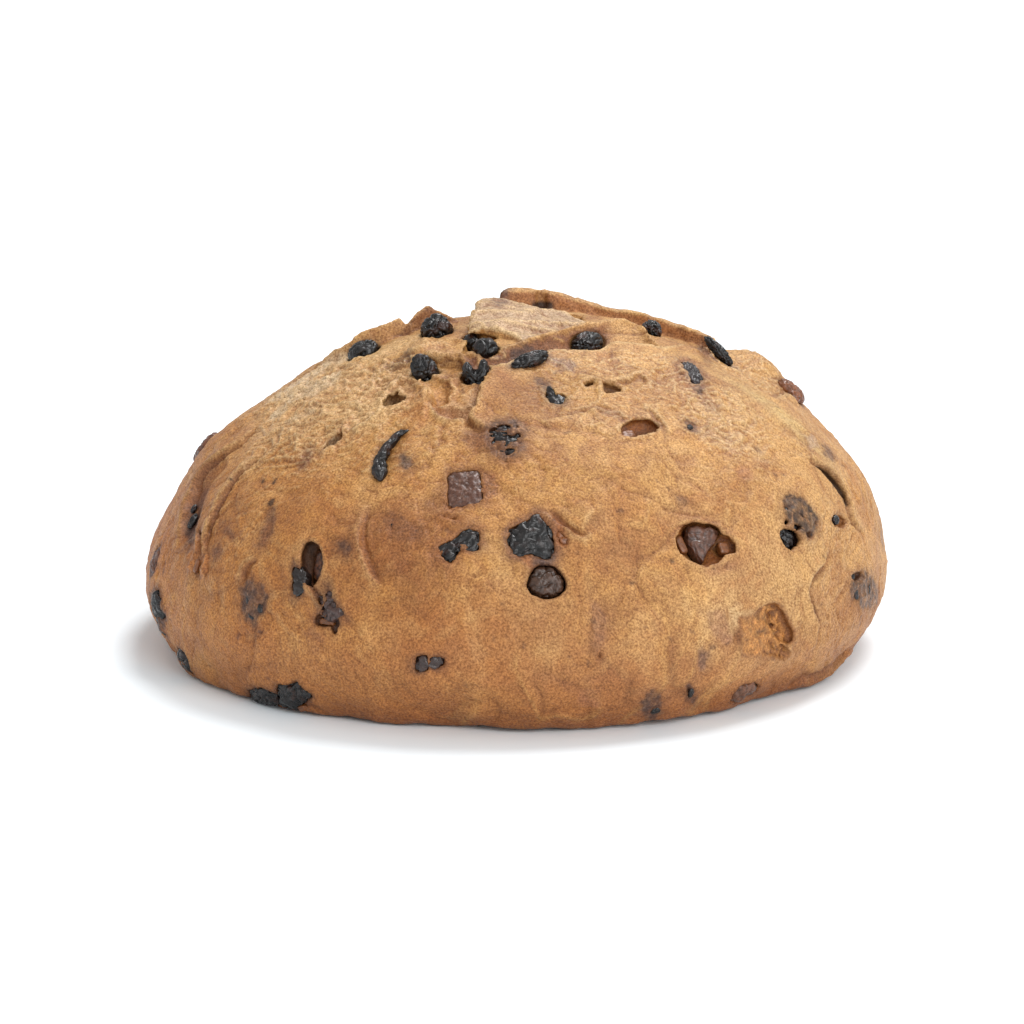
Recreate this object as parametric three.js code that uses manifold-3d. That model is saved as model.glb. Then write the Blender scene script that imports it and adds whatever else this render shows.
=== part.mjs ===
// Sweet bread: a round, domed fruit loaf.
//
// One solid loaf stands on its flat foot. Its crown is opened by a three-sided
// cut, whose flaps lie over each other like shingles and rise toward the back,
// and whole raisins and pieces of candied peel sit in pockets in its crust.
//
// Millimetres, +Z up, origin at the middle of the foot, the open side of the
// cut toward -Y.

import * as THREE from "three";
import { mergeVertices } from "three/addons/utils/BufferGeometryUtils.js";
import Module from "manifold-3d";

// ---------------------------------------------------------------- dimensions
const HALF_WIDTH = 102.5; // from the middle to either side
const HALF_FRONT = 98.85; // from the middle to the front
const HALF_BACK = 99.8; // from the middle to the back
const BELLY_Z = 16.5; // height of the widest line
const DOME_TOP = 89.7; // height of the plain dome, without the cut's flaps
const SQUARE_LEFT = 1.744; // fullness of the left shoulder (2 is an ellipse)
const SQUARE_RIGHT = 2.173; // fullness of the right shoulder
const FOOT_TUCK = 0.078; // how far the foot is drawn in, as a share of the radius
const TUCK_POWER = 1.34;
const RINGS_UP = 15; // grid rings from the top down to the belly
const RINGS_DOWN = 3; // grid rings from the belly down to the foot
const AROUND = 51; // grid points around
const FIT_GAP = 0.35; // clearance of each fruit in its pocket
const GROOVE_FLOOR = 82.4; // floor of the front gap of the cut

const FRUIT_DARK = 0x1c1512;
const PEEL_BROWN = 0x5a3318;
const CRUST = 0xc08a4f;

const rad = THREE.MathUtils.degToRad;
const V = (x, y, z) => new THREE.Vector3(x, y, z);

// ------------------------------------------------------------- the dome itself
// Swellings and dips of the crust: [azimuth from the front, height, reach, rise].
const SWELLS = [
  [-88, 56, 15, 1.9], [-84, 13, 12, -1.5], [90, 62, 13, -1.3], [92, 22, 15, 1.4],
  [102, 71, 9, 3.2], [-30, 44, 11, 1.1], [-52, 34, 13, 1.2], [-12, 30, 15, 0.9],
  [14, 62, 13, 0.8], [26, 52, 11, -0.9], [40, 30, 14, 1.0], [58, 50, 11, 1.1],
  [5, 12, 14, 0.9], [-118, 46, 16, 1.5], [-150, 62, 14, 1.2], [-172, 34, 17, 1.4],
  [158, 54, 14, -1.2], [136, 36, 16, 1.6], [118, 58, 12, 1.1], [-136, 22, 12, -1.0],
  [170, 16, 14, 1.0], [148, 72, 12, 1.3], [-104, 74, 10, 1.4],
];
// Uneven edge of the foot: [azimuth from the front, reach, rise].
const FOOT_EDGE = [
  [-9, 13, -3.0], [47, 12, -2.8], [25, 9, 1.6], [-62, 11, 1.6], [-40, 9, 1.2],
  [110, 16, 1.8], [165, 14, -2.0], [-140, 15, 1.7],
];

function squareness(side) {
  const left = 0.5 * (1 - side);
  return SQUARE_RIGHT * (1 - left) + SQUARE_LEFT * left;
}

function reach(c, s) {
  return 1 / Math.hypot(c / HALF_WIDTH, s / (s < 0 ? HALF_FRONT : HALF_BACK));
}

// Plain dome as a field: below 0 inside, above 0 outside.
function field(x, y, z) {
  const r = Math.hypot(x, y) || 1e-6;
  const c = x / r, s = y / r;
  const a = reach(c, s);
  if (z >= BELLY_Z) {
    const n = squareness(c);
    return Math.pow(r / a, n) + Math.pow((z - BELLY_Z) / (DOME_TOP - BELLY_Z), n) - 1;
  }
  const t = 1 - z / BELLY_Z;
  return r / (a * (1 - FOOT_TUCK * Math.pow(Math.max(t, 0), TUCK_POWER))) - 1;
}

function domeHeight(x, y) {
  const r = Math.hypot(x, y) || 1e-6;
  const n = squareness(x / r);
  const left = 1 - Math.pow(r / reach(x / r, y / r), n);
  return left <= 0 ? BELLY_Z : BELLY_Z + (DOME_TOP - BELLY_Z) * Math.pow(left, 1 / n);
}

function normalAt(p) {
  const h = 0.05;
  const q = p.clone();
  q.z = Math.min(q.z, domeHeight(q.x, q.y));
  return V(
    field(q.x + h, q.y, q.z) - field(q.x - h, q.y, q.z),
    field(q.x, q.y + h, q.z) - field(q.x, q.y - h, q.z),
    field(q.x, q.y, q.z + h) - field(q.x, q.y, q.z - h),
  ).normalize();
}

// Point of the plain dome at an azimuth (0 at the front, 90 at the right) and height.
function onDome(azimuth, z) {
  const c = Math.sin(rad(azimuth)), s = -Math.cos(rad(azimuth));
  let near = 0, far = 120;
  for (let i = 0; i < 40; i++) {
    const m = (near + far) / 2;
    if (field(c * m, s * m, z) < 0) near = m; else far = m;
  }
  return V(c * near, s * near, z);
}

const swellAt = SWELLS.map(([az, z, r, rise]) => [onDome(az, z), r, rise]);

function swelling(p) {
  let sum = 0;
  for (const [q, r, rise] of swellAt) sum += rise * Math.exp(-p.distanceToSquared(q) / (r * r));
  const a = Math.atan2(p.x, -p.y);
  const low = Math.max(0, 1 - p.z / 14);
  for (const [az, r, rise] of FOOT_EDGE) {
    const d = Math.abs(((THREE.MathUtils.radToDeg(a) - az + 540) % 360) - 180) * 1.72;
    sum += low * rise * Math.exp(-(d * d) / (r * r));
  }
  const wave = Math.sin(3 * a + 0.07 * p.z) + 0.7 * Math.sin(7 * a - 0.11 * p.z + 1.3) + 0.5 * Math.sin(11 * a + 0.16 * p.z + 2.1);
  return sum + 0.32 * wave * Math.min(1, Math.hypot(p.x, p.y) / 45);
}

// Rings of points from the top to the foot, with fewer points near the top.
function domeGeometry() {
  const points = [V(0, 0, DOME_TOP)], faces = [], rings = [];
  for (let i = 1; i <= RINGS_UP + RINGS_DOWN; i++) {
    const count = Math.min(AROUND, 6 * i), ring = [];
    for (let j = 0; j < count; j++) {
      const th = ((j + 0.5 * (i % 2)) / count) * 2 * Math.PI;
      const c = Math.cos(th), s = Math.sin(th);
      const a = reach(c, s), n = squareness(c);
      let p;
      if (i <= RINGS_UP) {
        const t = (1 - i / RINGS_UP) * Math.PI / 2;
        const r = a * Math.pow(Math.cos(t), 2 / n);
        p = V(r * c, r * s, BELLY_Z + (DOME_TOP - BELLY_Z) * Math.pow(Math.sin(t), 2 / n));
      } else {
        const t = (i - RINGS_UP) / RINGS_DOWN;
        const r = a * (1 - FOOT_TUCK * Math.pow(t, TUCK_POWER));
        p = V(r * c, r * s, BELLY_Z * (1 - t));
      }
      const onFoot = i === RINGS_UP + RINGS_DOWN;
      const out = normalAt(V(p.x, p.y, Math.max(p.z, 0.5)));
      if (onFoot) out.setZ(0).normalize();
      p.addScaledVector(out, swelling(p));
      if (onFoot) p.z = 0;
      ring.push({ id: points.length, th });
      points.push(p);
    }
    rings.push(ring);
  }
  rings[0].forEach((v, j) => faces.push(0, v.id, rings[0][(j + 1) % rings[0].length].id));
  for (let i = 0; i + 1 < rings.length; i++) stitch(rings[i], rings[i + 1], faces);
  const foot = points.length, last = rings[rings.length - 1];
  points.push(V(0, 0, 0));
  last.forEach((v, j) => faces.push(v.id, foot, last[(j + 1) % last.length].id));
  return polyhedron(points, faces);
}

// Triangles between two rings, always stepping on the ring that lags behind.
function stitch(inner, outer, faces) {
  let i = 0, j = 0;
  const turn = (ring, k) => ring[k % ring.length].th + (k >= ring.length ? 2 * Math.PI : 0);
  while (i < inner.length || j < outer.length) {
    const a = inner[i % inner.length].id, b = outer[j % outer.length].id;
    if (j >= outer.length || (i < inner.length && turn(inner, i + 1) < turn(outer, j + 1))) {
      faces.push(a, b, inner[++i % inner.length].id);
    } else {
      faces.push(a, b, outer[++j % outer.length].id);
    }
  }
}

function polyhedron(points, faces) {
  const g = new THREE.BufferGeometry();
  g.setAttribute("position", new THREE.Float32BufferAttribute(points.flatMap((p) => [p.x, p.y, p.z]), 3));
  g.setIndex(faces);
  return g;
}

// Closed body through a row of sections, each a ring of the same number of points.
function loft(sections) {
  const k = sections[0].length;
  const points = sections.flat();
  const faces = [];
  for (let i = 0; i + 1 < sections.length; i++) {
    for (let j = 0; j < k; j++) {
      const a = i * k + j, b = i * k + ((j + 1) % k), c = a + k, d = b + k;
      faces.push(a, b, d, a, d, c);
    }
  }
  const end = (sections.length - 1) * k;
  for (let j = 1; j + 1 < k; j++) faces.push(0, j + 1, j, end, end + j, end + j + 1);
  let volume = 0;
  for (let f = 0; f < faces.length; f += 3) {
    const [a, b, c] = [points[faces[f]], points[faces[f + 1]], points[faces[f + 2]]];
    volume += a.dot(b.clone().cross(c));
  }
  if (volume < 0) for (let f = 0; f < faces.length; f += 3) [faces[f + 1], faces[f + 2]] = [faces[f + 2], faces[f + 1]];
  return polyhedron(points, faces);
}

// ------------------------------------------------------------ solids that join
const wasm = await Module();
wasm.setup();

function solid(geometry) {
  const g = geometry.clone();
  for (const name of Object.keys(g.attributes)) if (name !== "position") g.deleteAttribute(name);
  const m = mergeVertices(g, 1e-4);
  return new wasm.Manifold(new wasm.Mesh({
    numProp: 3,
    vertProperties: new Float32Array(m.attributes.position.array),
    triVerts: new Uint32Array(m.index.array),
  }));
}

function geometryOf(manifold) {
  const mesh = manifold.getMesh();
  const g = new THREE.BufferGeometry();
  g.setAttribute("position", new THREE.BufferAttribute(new Float32Array(mesh.vertProperties), 3));
  g.setIndex(new THREE.BufferAttribute(new Uint32Array(mesh.triVerts), 1));
  return g;
}

// A flap of the cut: its upper edge is a crest of points, its cut face drops
// from the crest toward `face` and its crust runs back along `run` to the dome.
function flap(crest, { face, drop, run, sink = 1.2, rise = 0 }) {
  return solid(loft(crest.map(([x, y, z], i) => {
    const f = Array.isArray(face[0]) ? face[i] : face;
    const r = Array.isArray(run[0]) ? run[i] : run;
    const bx = x + r[0], by = y + r[1];
    const back = Math.min(z + rise, domeHeight(bx, by) - sink);
    return [V(x, y, z), V(x + f[0], y + f[1], z - drop), V(bx, by, Math.min(z, back) - drop), V(bx, by, back)];
  })));
}

// A fold of dough standing on the crust along a path over the dome.
function fold(path, high, wide, lean = 0) {
  const at = path.map(([az, z]) => onDome(az, z));
  return solid(loft(at.map((p, i) => {
    const along = at[Math.min(i + 1, at.length - 1)].clone().sub(at[Math.max(i - 1, 0)]).normalize();
    const up = normalAt(p), side = along.clone().cross(up).normalize();
    const taper = Math.sin(Math.PI * (0.12 + 0.76 * (i / (at.length - 1))));
    const rise = swelling(p);
    const low = p.clone().addScaledVector(up, rise - 1.6), crown = p.clone().addScaledVector(up, rise + high * taper);
    return [
      low.clone().addScaledVector(side, wide), crown.clone().addScaledVector(side, lean + 0.35),
      crown.clone().addScaledVector(side, lean - 0.35), low.clone().addScaledVector(side, -wide),
    ];
  })));
}

function ball(center, radii, turn) {
  const g = new THREE.SphereGeometry(1, 7, 6).rotateX(Math.PI / 2);
  g.scale(...radii).applyQuaternion(turn).translate(center.x, center.y, center.z);
  return g;
}

// Frame whose z stands off the crust at p, x runs level along it, turned by roll.
function frameAt(p, roll) {
  const n = normalAt(p);
  const level = Math.abs(n.z) > 0.995 ? V(1, 0, 0) : V(-n.y, n.x, 0).normalize();
  const up = n.clone().cross(level);
  const turn = new THREE.Quaternion().setFromRotationMatrix(new THREE.Matrix4().makeBasis(level, up, n));
  return [n, turn.multiply(new THREE.Quaternion().setFromAxisAngle(V(0, 0, 1), rad(roll)))];
}

// ------------------------------------------------------------------- the fruit
// [name, x, y, z on the crust, half width, half height, half depth, roll, stand-out]
const RAISINS = [
  ["raisin_01", -20.9, -6.0, 88.6, 4.5, 4.3, 4.0, 0, 3.4],
  ["raisin_02", -40.9, -4.0, 81.9, 4.2, 4.4, 3.4, 0, 2.6],
  ["raisin_03", -23.6, -31.5, 82.6, 3.6, 5.2, 3.2, -20, 2.4],
  ["raisin_04", -9.6, -39.0, 81.6, 3.8, 6.2, 3.0, 8, 1.9],
  ["raisin_05", -11.4, -16.4, 87.2, 2.9, 2.4, 2.2, 0, 1.2],
  ["raisin_06", -5.9, -21.4, 86.2, 3.3, 2.9, 2.4, 0, 1.3],
  ["raisin_07", 20.2, -15.5, 87.5, 5.4, 3.4, 2.9, 8, 1.5],
  ["raisin_08", 3.4, -27.0, 84.4, 6.0, 1.9, 1.8, 20, 0.9],
  ["raisin_09", 38.0, 2.0, 86.4, 3.6, 2.9, 2.6, -15, 2.6],
  ["raisin_10", 56.2, -3.4, 82.0, 6.4, 2.0, 2.0, -52, 2.4],
  ["raisin_11", -1.9, -65.6, 70.4, 5.9, 7.0, 3.6, 0, 1.4],
  ["raisin_12", -13.4, -87.1, 48.2, 7.4, 5.4, 3.8, 12, 1.2],
  ["raisin_13", 4.0, -86.7, 50.9, 6.2, 7.4, 4.2, 0, 1.7],
  ["raisin_14", 8.2, -92.9, 40.3, 5.2, 4.8, 3.6, 0, -0.9],
  ["raisin_15", -21.1, -96.5, 20.3, 4.4, 3.2, 3.0, 0, 0.5],
  ["raisin_16", 10.6, -49.2, 79.6, 2.9, 3.4, 2.6, 0, 0.6],
  ["raisin_17", 47.6, -26.5, 80.0, 3.8, 5.0, 3.0, 0, 0.8],
  ["raisin_18", -56.3, -76.8, 35.2, 2.3, 5.2, 2.6, 8, 1.0],
  ["raisin_19", -46.6, -84.8, 31.6, 4.9, 4.4, 3.2, 0, 0.8],
  ["raisin_20", -95.4, -34.6, 15.4, 4.6, 5.6, 3.2, 0, 1.0],
  ["raisin_21", -86.6, -42.6, 5.6, 4.0, 4.0, 3.0, -20, 1.1],
  ["raisin_22", -66.6, -69.6, 5.0, 4.4, 3.0, 2.8, 0, 1.0],
  ["raisin_23", -57.5, -76.1, 6.4, 5.8, 4.2, 3.4, 0, 1.3],
  ["raisin_24", 71.6, -61.9, 44.2, 3.8, 4.4, 3.0, 0, -0.5],
  // round the back
  ["raisin_25", 84.6, 30.5, 47.0, 5.6, 4.6, 3.4, 20, 1.3],
  ["raisin_26", 58.0, 66.0, 50.6, 4.4, 6.2, 3.4, -30, 1.2],
  ["raisin_27", 30.0, 91.0, 34.0, 6.4, 4.6, 3.6, 10, 1.4],
  ["raisin_28", -6.0, 84.4, 54.6, 5.0, 5.2, 3.4, 0, 1.2],
  ["raisin_29", -38.0, 76.0, 49.0, 5.8, 5.0, 3.4, 35, 1.3],
  ["raisin_30", -72.0, 58.0, 34.0, 5.2, 4.2, 3.2, -15, 1.2],
  ["raisin_31", 14.0, 60.0, 75.0, 4.4, 5.4, 3.2, 15, 1.3],
];
const PEELS = [
  ["peel_01", -12.2, -76.8, 60.2, 4.6, 5.6, 3.6, -6, 0.9],
  ["peel_02", 13.7, -88.0, 48.6, 2.2, 2.5, 2.2, 15, 0.7],
  ["peel_03", -51.0, -77.6, 41.2, 2.3, 4.6, 2.4, 12, -1.6],
  ["peel_04", -97.1, -24.3, 27.5, 3.4, 5.8, 2.6, 0, 1.2],
  ["peel_05", -84.5, 4.5, 52.1, 4.0, 5.4, 2.6, -35, 1.1],
  ["peel_06", 48.4, -77.7, 47.1, 4.2, 4.8, 3.0, 45, -1.4],
  ["peel_07", 77.0, 6.0, 67.8, 4.2, 4.6, 2.8, 40, 1.8],
  ["peel_08", 59.0, -73.6, 5.4, 4.8, 3.0, 2.8, 0, 1.0],
  ["peel_09", 46.0, 84.0, 22.0, 4.2, 4.6, 3.0, 25, 1.0],
  ["peel_10", -55.0, 62.0, 55.0, 4.0, 4.4, 2.8, -20, 1.0],
];

// Lands the listed point on the swollen crust; the cut's own fruit stays put.
function landed(x, y, z) {
  const p = V(x, y, z);
  if (z > domeHeight(x, y) - 1.2 && Math.hypot(x, y) < 62) return p;
  const az = THREE.MathUtils.radToDeg(Math.atan2(x, -y));
  const q = onDome(az, z);
  return q.addScaledVector(normalAt(q), swelling(q));
}

// Shrunken skin: folds that run over the fruit and cross each other.
function wrinkle(u, seed) {
  const a = Math.atan2(u.y, u.x);
  return 1 + 0.09 * Math.sin(3 * a + seed + 2.2 * u.z) + 0.06 * Math.sin(5 * a - 2 * seed + 3.1 * u.z) - 0.05 * Math.cos(4 * u.z + seed);
}

function raisinGeometry(center, radii, turn, seed, grow = 0) {
  const size = Math.max(...radii);
  let g = size > 6.3 ? new THREE.IcosahedronGeometry(1, 1) : size > 4.5 ? new THREE.SphereGeometry(1, 7, 5) : new THREE.SphereGeometry(1, 6, 4);
  g = mergeVertices(g.deleteAttribute("normal").deleteAttribute("uv"), 1e-4);
  const pos = g.attributes.position, u = V();
  for (let i = 0; i < pos.count; i++) {
    u.fromBufferAttribute(pos, i);
    const w = wrinkle(u, seed);
    pos.setXYZ(i, u.x * (radii[0] * w + grow), u.y * (radii[1] * w + grow), u.z * (radii[2] * w + grow));
  }
  return g.applyQuaternion(turn).translate(center.x, center.y, center.z);
}

// A diced piece: a block with drawn-in corners.
function peelGeometry(center, radii, turn, seed, grow = 0) {
  let g = new THREE.BoxGeometry(2, 2, 2, 2, 2, 2);
  g = mergeVertices(g.deleteAttribute("normal").deleteAttribute("uv"), 1e-4);
  const pos = g.attributes.position, u = V();
  for (let i = 0; i < pos.count; i++) {
    u.fromBufferAttribute(pos, i);
    const corners = Math.abs(u.x) + Math.abs(u.y) + Math.abs(u.z);
    const k = corners > 2.5 ? 0.8 : corners > 1.5 ? 0.93 : 1.06;
    const skew = 1 + 0.07 * Math.sin(2.3 * u.x + seed) * Math.cos(1.7 * u.y - seed);
    pos.setXYZ(i, u.x * (radii[0] * k * skew + grow), u.y * (radii[1] * k * skew + grow), u.z * (radii[2] * k + grow));
  }
  return g.applyQuaternion(turn).translate(center.x, center.y, center.z);
}

// The one long, curved raisin of the front: a round body swept along its path.
const LONG_RAISIN = [[-27.4, 71.4], [-28.3, 68.0], [-28.9, 64.8], [-28.0, 61.6], [-27.0, 59.0]];
function longRaisin(grow = 0) {
  const path = LONG_RAISIN.map(([az, z]) => {
    const q = onDome(az, z);
    return q.addScaledVector(normalAt(q), swelling(q) - 0.3);
  });
  const curve = new THREE.CatmullRomCurve3(path);
  const steps = 7, sides = 6, sections = [];
  for (let i = 0; i <= steps; i++) {
    const t = i / steps;
    const p = curve.getPointAt(t), along = curve.getTangentAt(t);
    const up = normalAt(p), side = along.clone().cross(up).normalize();
    up.crossVectors(side, along).normalize();
    const r = (0.55 + 1.25 * Math.sin(Math.PI * Math.min(1, 0.12 + 0.7 * t)) * (0.55 + 0.45 * t)) * (i === 0 || i === steps ? 0.55 : 1) + grow;
    if (grow && i === 0) p.addScaledVector(along, -grow);
    if (grow && i === steps) p.addScaledVector(along, grow);
    sections.push(Array.from({ length: sides }, (_, j) => {
      const a = (j / sides) * 2 * Math.PI;
      return p.clone().addScaledVector(side, r * Math.cos(a)).addScaledVector(up, r * Math.sin(a));
    }));
  }
  return loft(sections);
}

const fruit = [];
const take = (rows, shape, color, roughness) => rows.forEach(([name, x, y, z, a, b, c, roll, out], i) => {
  const p = landed(x, y, z);
  const [n, turn] = frameAt(p, roll);
  const center = p.clone().addScaledVector(n, out - c);
  const seed = 1.7 * i + 0.4;
  fruit.push({ name, color, roughness, make: (grow) => shape(center, [a, b, c], turn, seed, grow) });
});
take(RAISINS, raisinGeometry, FRUIT_DARK, 0.4);
take(PEELS, peelGeometry, PEEL_BROWN, 0.35);
fruit.push({ name: "raisin_32", color: FRUIT_DARK, roughness: 0.4, make: (grow) => longRaisin(grow) });

// --------------------------------------------------------------------- the cut
// Crest of the front rim, left to right, and of the flap behind it.
const FRONT_RIM = [
  [-7.4, -37.0, 84.0], [-1.9, -37.0, 84.6], [6.0, -31.5, 86.6], [11.6, -29.5, 87.0], [20.9, -28.5, 86.7],
  [25.6, -22.5, 87.6], [30.7, -20.0, 87.1], [36.0, -18.0, 85.8], [39.7, -17.0, 84.9],
];
const SECOND_FLAP = [
  [-12.3, -29.0, 85.9], [-2.7, -28.0, 87.4], [3.4, -24.0, 88.8], [12.5, -18.0, 89.9], [20.0, -9.5, 90.8],
  [25.5, -5.0, 90.7], [30.2, -2.5, 90.1], [36.1, -5.0, 87.7], [39.6, -13.0, 85.2],
];
const LID_LIP = [[-12.8, -18.0, 89.8], [-8.4, -17.0, 91.0], [-4.1, -18.5, 90.2], [2.6, -22.0, 88.7], [12.0, -14.0, 88.6], [19.0, -5.0, 88.4]];
const LID_TOP = [[-9.4, 4.0, 94.0], [-5.2, 5.5, 94.1], [-1.7, 6.0, 93.9], [6.8, 6.0, 92.5], [13.1, 4.0, 90.9], [19.6, 0.5, 89.2]];
const BACK_SLICE = [
  [-4.0, 16.0, 94.4], [5.0, 19.0, 94.1], [12.2, 21.0, 93.0], [18.6, 21.0, 90.9], [27.0, 19.0, 88.7],
  [36.6, 15.0, 88.2], [40.6, 12.0, 87.2], [48.7, 7.0, 85.4], [55.3, 2.0, 83.6],
];

// The gap between the front rim and the second flap.
function frontGap() {
  return solid(loft(FRONT_RIM.map((rim, i) => {
    const back = SECOND_FLAP[i];
    const ends = Math.min(1, 0.35 + 0.5 * Math.min(i, FRONT_RIM.length - 1 - i));
    const floor = Math.min(rim[2], back[2]) - (Math.min(rim[2], back[2]) - GROOVE_FLOOR) * ends;
    const mid = 0.3;
    return [
      V(rim[0], rim[1] + 0.7, rim[2] + 6), V(rim[0], rim[1] + 1.2, floor + 0.8),
      V(rim[0] + mid * (back[0] - rim[0]), rim[1] + 1.6 + mid * (back[1] - rim[1]), floor),
      V(back[0], back[1] - 0.2, back[2] - 0.4), V(back[0], back[1] - 0.2, back[2] + 6),
    ];
  })));
}

const lid = solid(loft(LID_LIP.map((lip, i) => {
  const top = LID_TOP[i];
  const under = 2.6 - 0.28 * i;
  return [V(...lip), V(lip[0] + 0.4, lip[1] + 2.4, lip[2] - under), V(lip[0] + 0.4, lip[1] + 7, 80), V(top[0], top[1] + 1.4, 80), V(top[0], top[1], top[2])];
})));

const rise = [
  flap(FRONT_RIM.concat([[44.5, -12, 84.9], [48.1, -4.5, 84.5], [50.9, -4.6, 83.1], [54.8, -13.0, 79.9]]), { face: [0, 1.4], drop: 7, run: [0, -13], sink: -0.1 }),
  flap(SECOND_FLAP, { face: SECOND_FLAP.map((p, i) => [(FRONT_RIM[i][0] - p[0]) * 0.3, (FRONT_RIM[i][1] - p[1]) * 0.4 - 0.6]), drop: 7.4, run: [3, 11], sink: 0.8 }),
  lid,
  flap(BACK_SLICE, { face: [-0.6, -1.6], drop: 9, run: BACK_SLICE.map((p, i) => [2 + 1.6 * i, 30 - 1.6 * i]), sink: 0.6 }),
  // left of the lid: a standing spike, the ridge beside it and the ledge under them
  flap([[-29.4, 2.5, 88.0], [-26.2, 4.2, 90.6], [-22.8, 6.0, 93.1], [-20.4, 5.4, 91.6], [-16.4, 4.4, 89.4]], { face: [0, -1.6], drop: 7, run: [-0.5, 13], sink: 0.6 }),
  flap([[-43.4, -1.0, 81.6], [-38.4, 1.0, 84.9], [-35.0, 2.6, 87.8], [-31.6, 4.0, 89.7], [-27.8, 3.4, 88.2]], { face: [1.0, -3.4], drop: 6, run: [-2, 12], sink: 0.6 }),
  flap([[-27.4, -24.5, 84.4], [-23.2, -26.2, 85.4], [-18.0, -27.2, 85.2], [-12.6, -27.2, 84.8]], { face: [0, 0.8], drop: 6, run: [1, 12], sink: 0.2 }),
  // spike between the dark hole and the window, low on the front of the cut
  fold([[-26, 71.5], [-27.6, 74.0], [-29.0, 76.6], [-29.9, 78.6]], 2.3, 3.0, 0.4),
  // the raised corner right of the cut, over the long raisin
  flap([[50.6, -2.5, 83.6], [52.6, -3.6, 82.9], [54.6, -7.0, 81.3]], { face: [-0.6, -0.6], drop: 5, run: [5, 5], sink: 0.4 }),
  // folds of the crust: two down the left side, one arc on the right, two behind
  fold([[-66, 47], [-70, 53], [-71, 58], [-66, 63], [-58, 66]], 2.4, 2.6, 0.8),
  fold([[-58.5, 37], [-60, 46], [-58, 53.5], [-54.5, 61], [-50, 64.5]], 2.0, 2.4, 0.7),
  fold([[54.5, 62.5], [60, 60], [64.5, 55], [68, 48.5], [72, 42.5]], 1.5, 2.0, 0.6),
  fold([[148, 62], [154, 55], [158, 46], [157, 37], [152, 29]], 1.9, 2.6, 0.7),
  fold([[-142, 66], [-150, 60], [-160, 56], [-171, 55]], 1.6, 2.4, 0.6),
];

// Holes: [x, y, z on the crust, half width, half height, half depth, roll, inset]
const HOLES = [
  [-18.2, -31.6, 82.6, 7.2, 4.6, 3.4, 0, 0.6], // hollow under the ledge
  [-14.4, -49.8, 77.4, 6.6, 8.4, 3.4, 0, 0.4], // window in the flap
  [-30.7, -43.9, 76.4, 3.6, 2.7, 2.6, 10, 0.6], // dark hole beside the spike
  [11.4, -51.8, 78.5, 3.4, 2.4, 2.2, -10, 0.4],
  [32.4, -58.2, 72.0, 5.4, 3.2, 2.4, 0, 0.5],
  [49.4, -77.6, 46.2, 8.6, 6.0, 2.8, 0, 0.7],
  [71.9, -62.2, 43.6, 3.6, 4.4, 2.6, 0, 0.5],
  [8.2, -92.9, 40.3, 5.7, 5.0, 2.6, 0, 0.4],
  [-51.4, -77.4, 40.6, 3.4, 6.2, 2.8, 10, 0.5],
  [-46.8, -86.2, 26.6, 3.6, 2.6, 2.2, 10, 0.4],
  [65.5, -75.7, 22.8, 8.0, 8.4, 2.2, 0, -0.4],
  [-24.0, 90.0, 38.0, 5.6, 4.2, 2.8, 0, 0.6],
  [66.0, 48.0, 60.0, 4.6, 3.6, 2.6, 20, 0.6],
  [-88.0, 34.0, 38.0, 4.2, 4.8, 2.6, 0, 0.6],
];

let loaf = solid(domeGeometry()).subtract(frontGap());
for (const piece of rise) loaf = loaf.add(piece);
for (const [x, y, z, a, b, c, roll, inset] of HOLES) {
  const p = landed(x, y, z);
  const [n, turn] = frameAt(p, roll);
  loaf = loaf.subtract(solid(ball(p.addScaledVector(n, -inset), [a, b, c], turn)));
}
for (const f of fruit) loaf = loaf.subtract(solid(f.make(FIT_GAP)));
// the foot is cut level, so that the loaf stands flat
const under = new THREE.BoxGeometry(260, 260, 20).translate(0, 0, -10);
loaf = loaf.subtract(solid(under));

// -------------------------------------------------------------------- assembly
const bread = new THREE.Group();
const add = (name, manifold, color, roughness) => {
  const mesh = new THREE.Mesh(geometryOf(manifold), new THREE.MeshStandardMaterial({ color, roughness, metalness: 0 }));
  mesh.name = name;
  bread.add(mesh);
};
add("loaf", loaf, CRUST, 0.75);
const floor = solid(new THREE.BoxGeometry(260, 260, 20).translate(0, 0, -9.6));
for (const f of fruit) add(f.name, solid(f.make(0)).subtract(floor), f.color, f.roughness);

export default bread;
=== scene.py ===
# Sweet fruit bread, finished: a domed loaf whose crown is opened by a
# three-sided cut, with raisins and candied peel in its crust.
#
# The dough is worked out as a field in millimetres (negative inside), meshed
# at a fine step, then coloured and displaced point by point. Places on the
# front are given by where they lie in the photograph's frame, and land on the
# crust there; places round the back are given by azimuth and height.

import bpy, bmesh, math, time
from concurrent.futures import ThreadPoolExecutor
import numpy as np
import openvdb
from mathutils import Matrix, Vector


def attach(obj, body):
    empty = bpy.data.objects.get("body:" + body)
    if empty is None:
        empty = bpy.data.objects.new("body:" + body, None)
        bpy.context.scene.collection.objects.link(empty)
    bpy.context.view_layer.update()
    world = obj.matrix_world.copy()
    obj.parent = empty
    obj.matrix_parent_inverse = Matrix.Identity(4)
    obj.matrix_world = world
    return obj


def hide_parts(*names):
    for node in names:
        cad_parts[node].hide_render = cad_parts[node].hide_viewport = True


T0 = time.time()
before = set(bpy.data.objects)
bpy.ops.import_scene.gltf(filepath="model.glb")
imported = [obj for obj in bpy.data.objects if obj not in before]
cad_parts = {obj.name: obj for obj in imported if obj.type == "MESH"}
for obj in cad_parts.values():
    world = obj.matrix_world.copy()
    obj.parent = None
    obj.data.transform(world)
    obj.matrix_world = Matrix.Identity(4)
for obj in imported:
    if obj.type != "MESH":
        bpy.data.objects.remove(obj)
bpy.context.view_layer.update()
VOXEL = 0.62  # mm, step of the dough mesh

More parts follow.
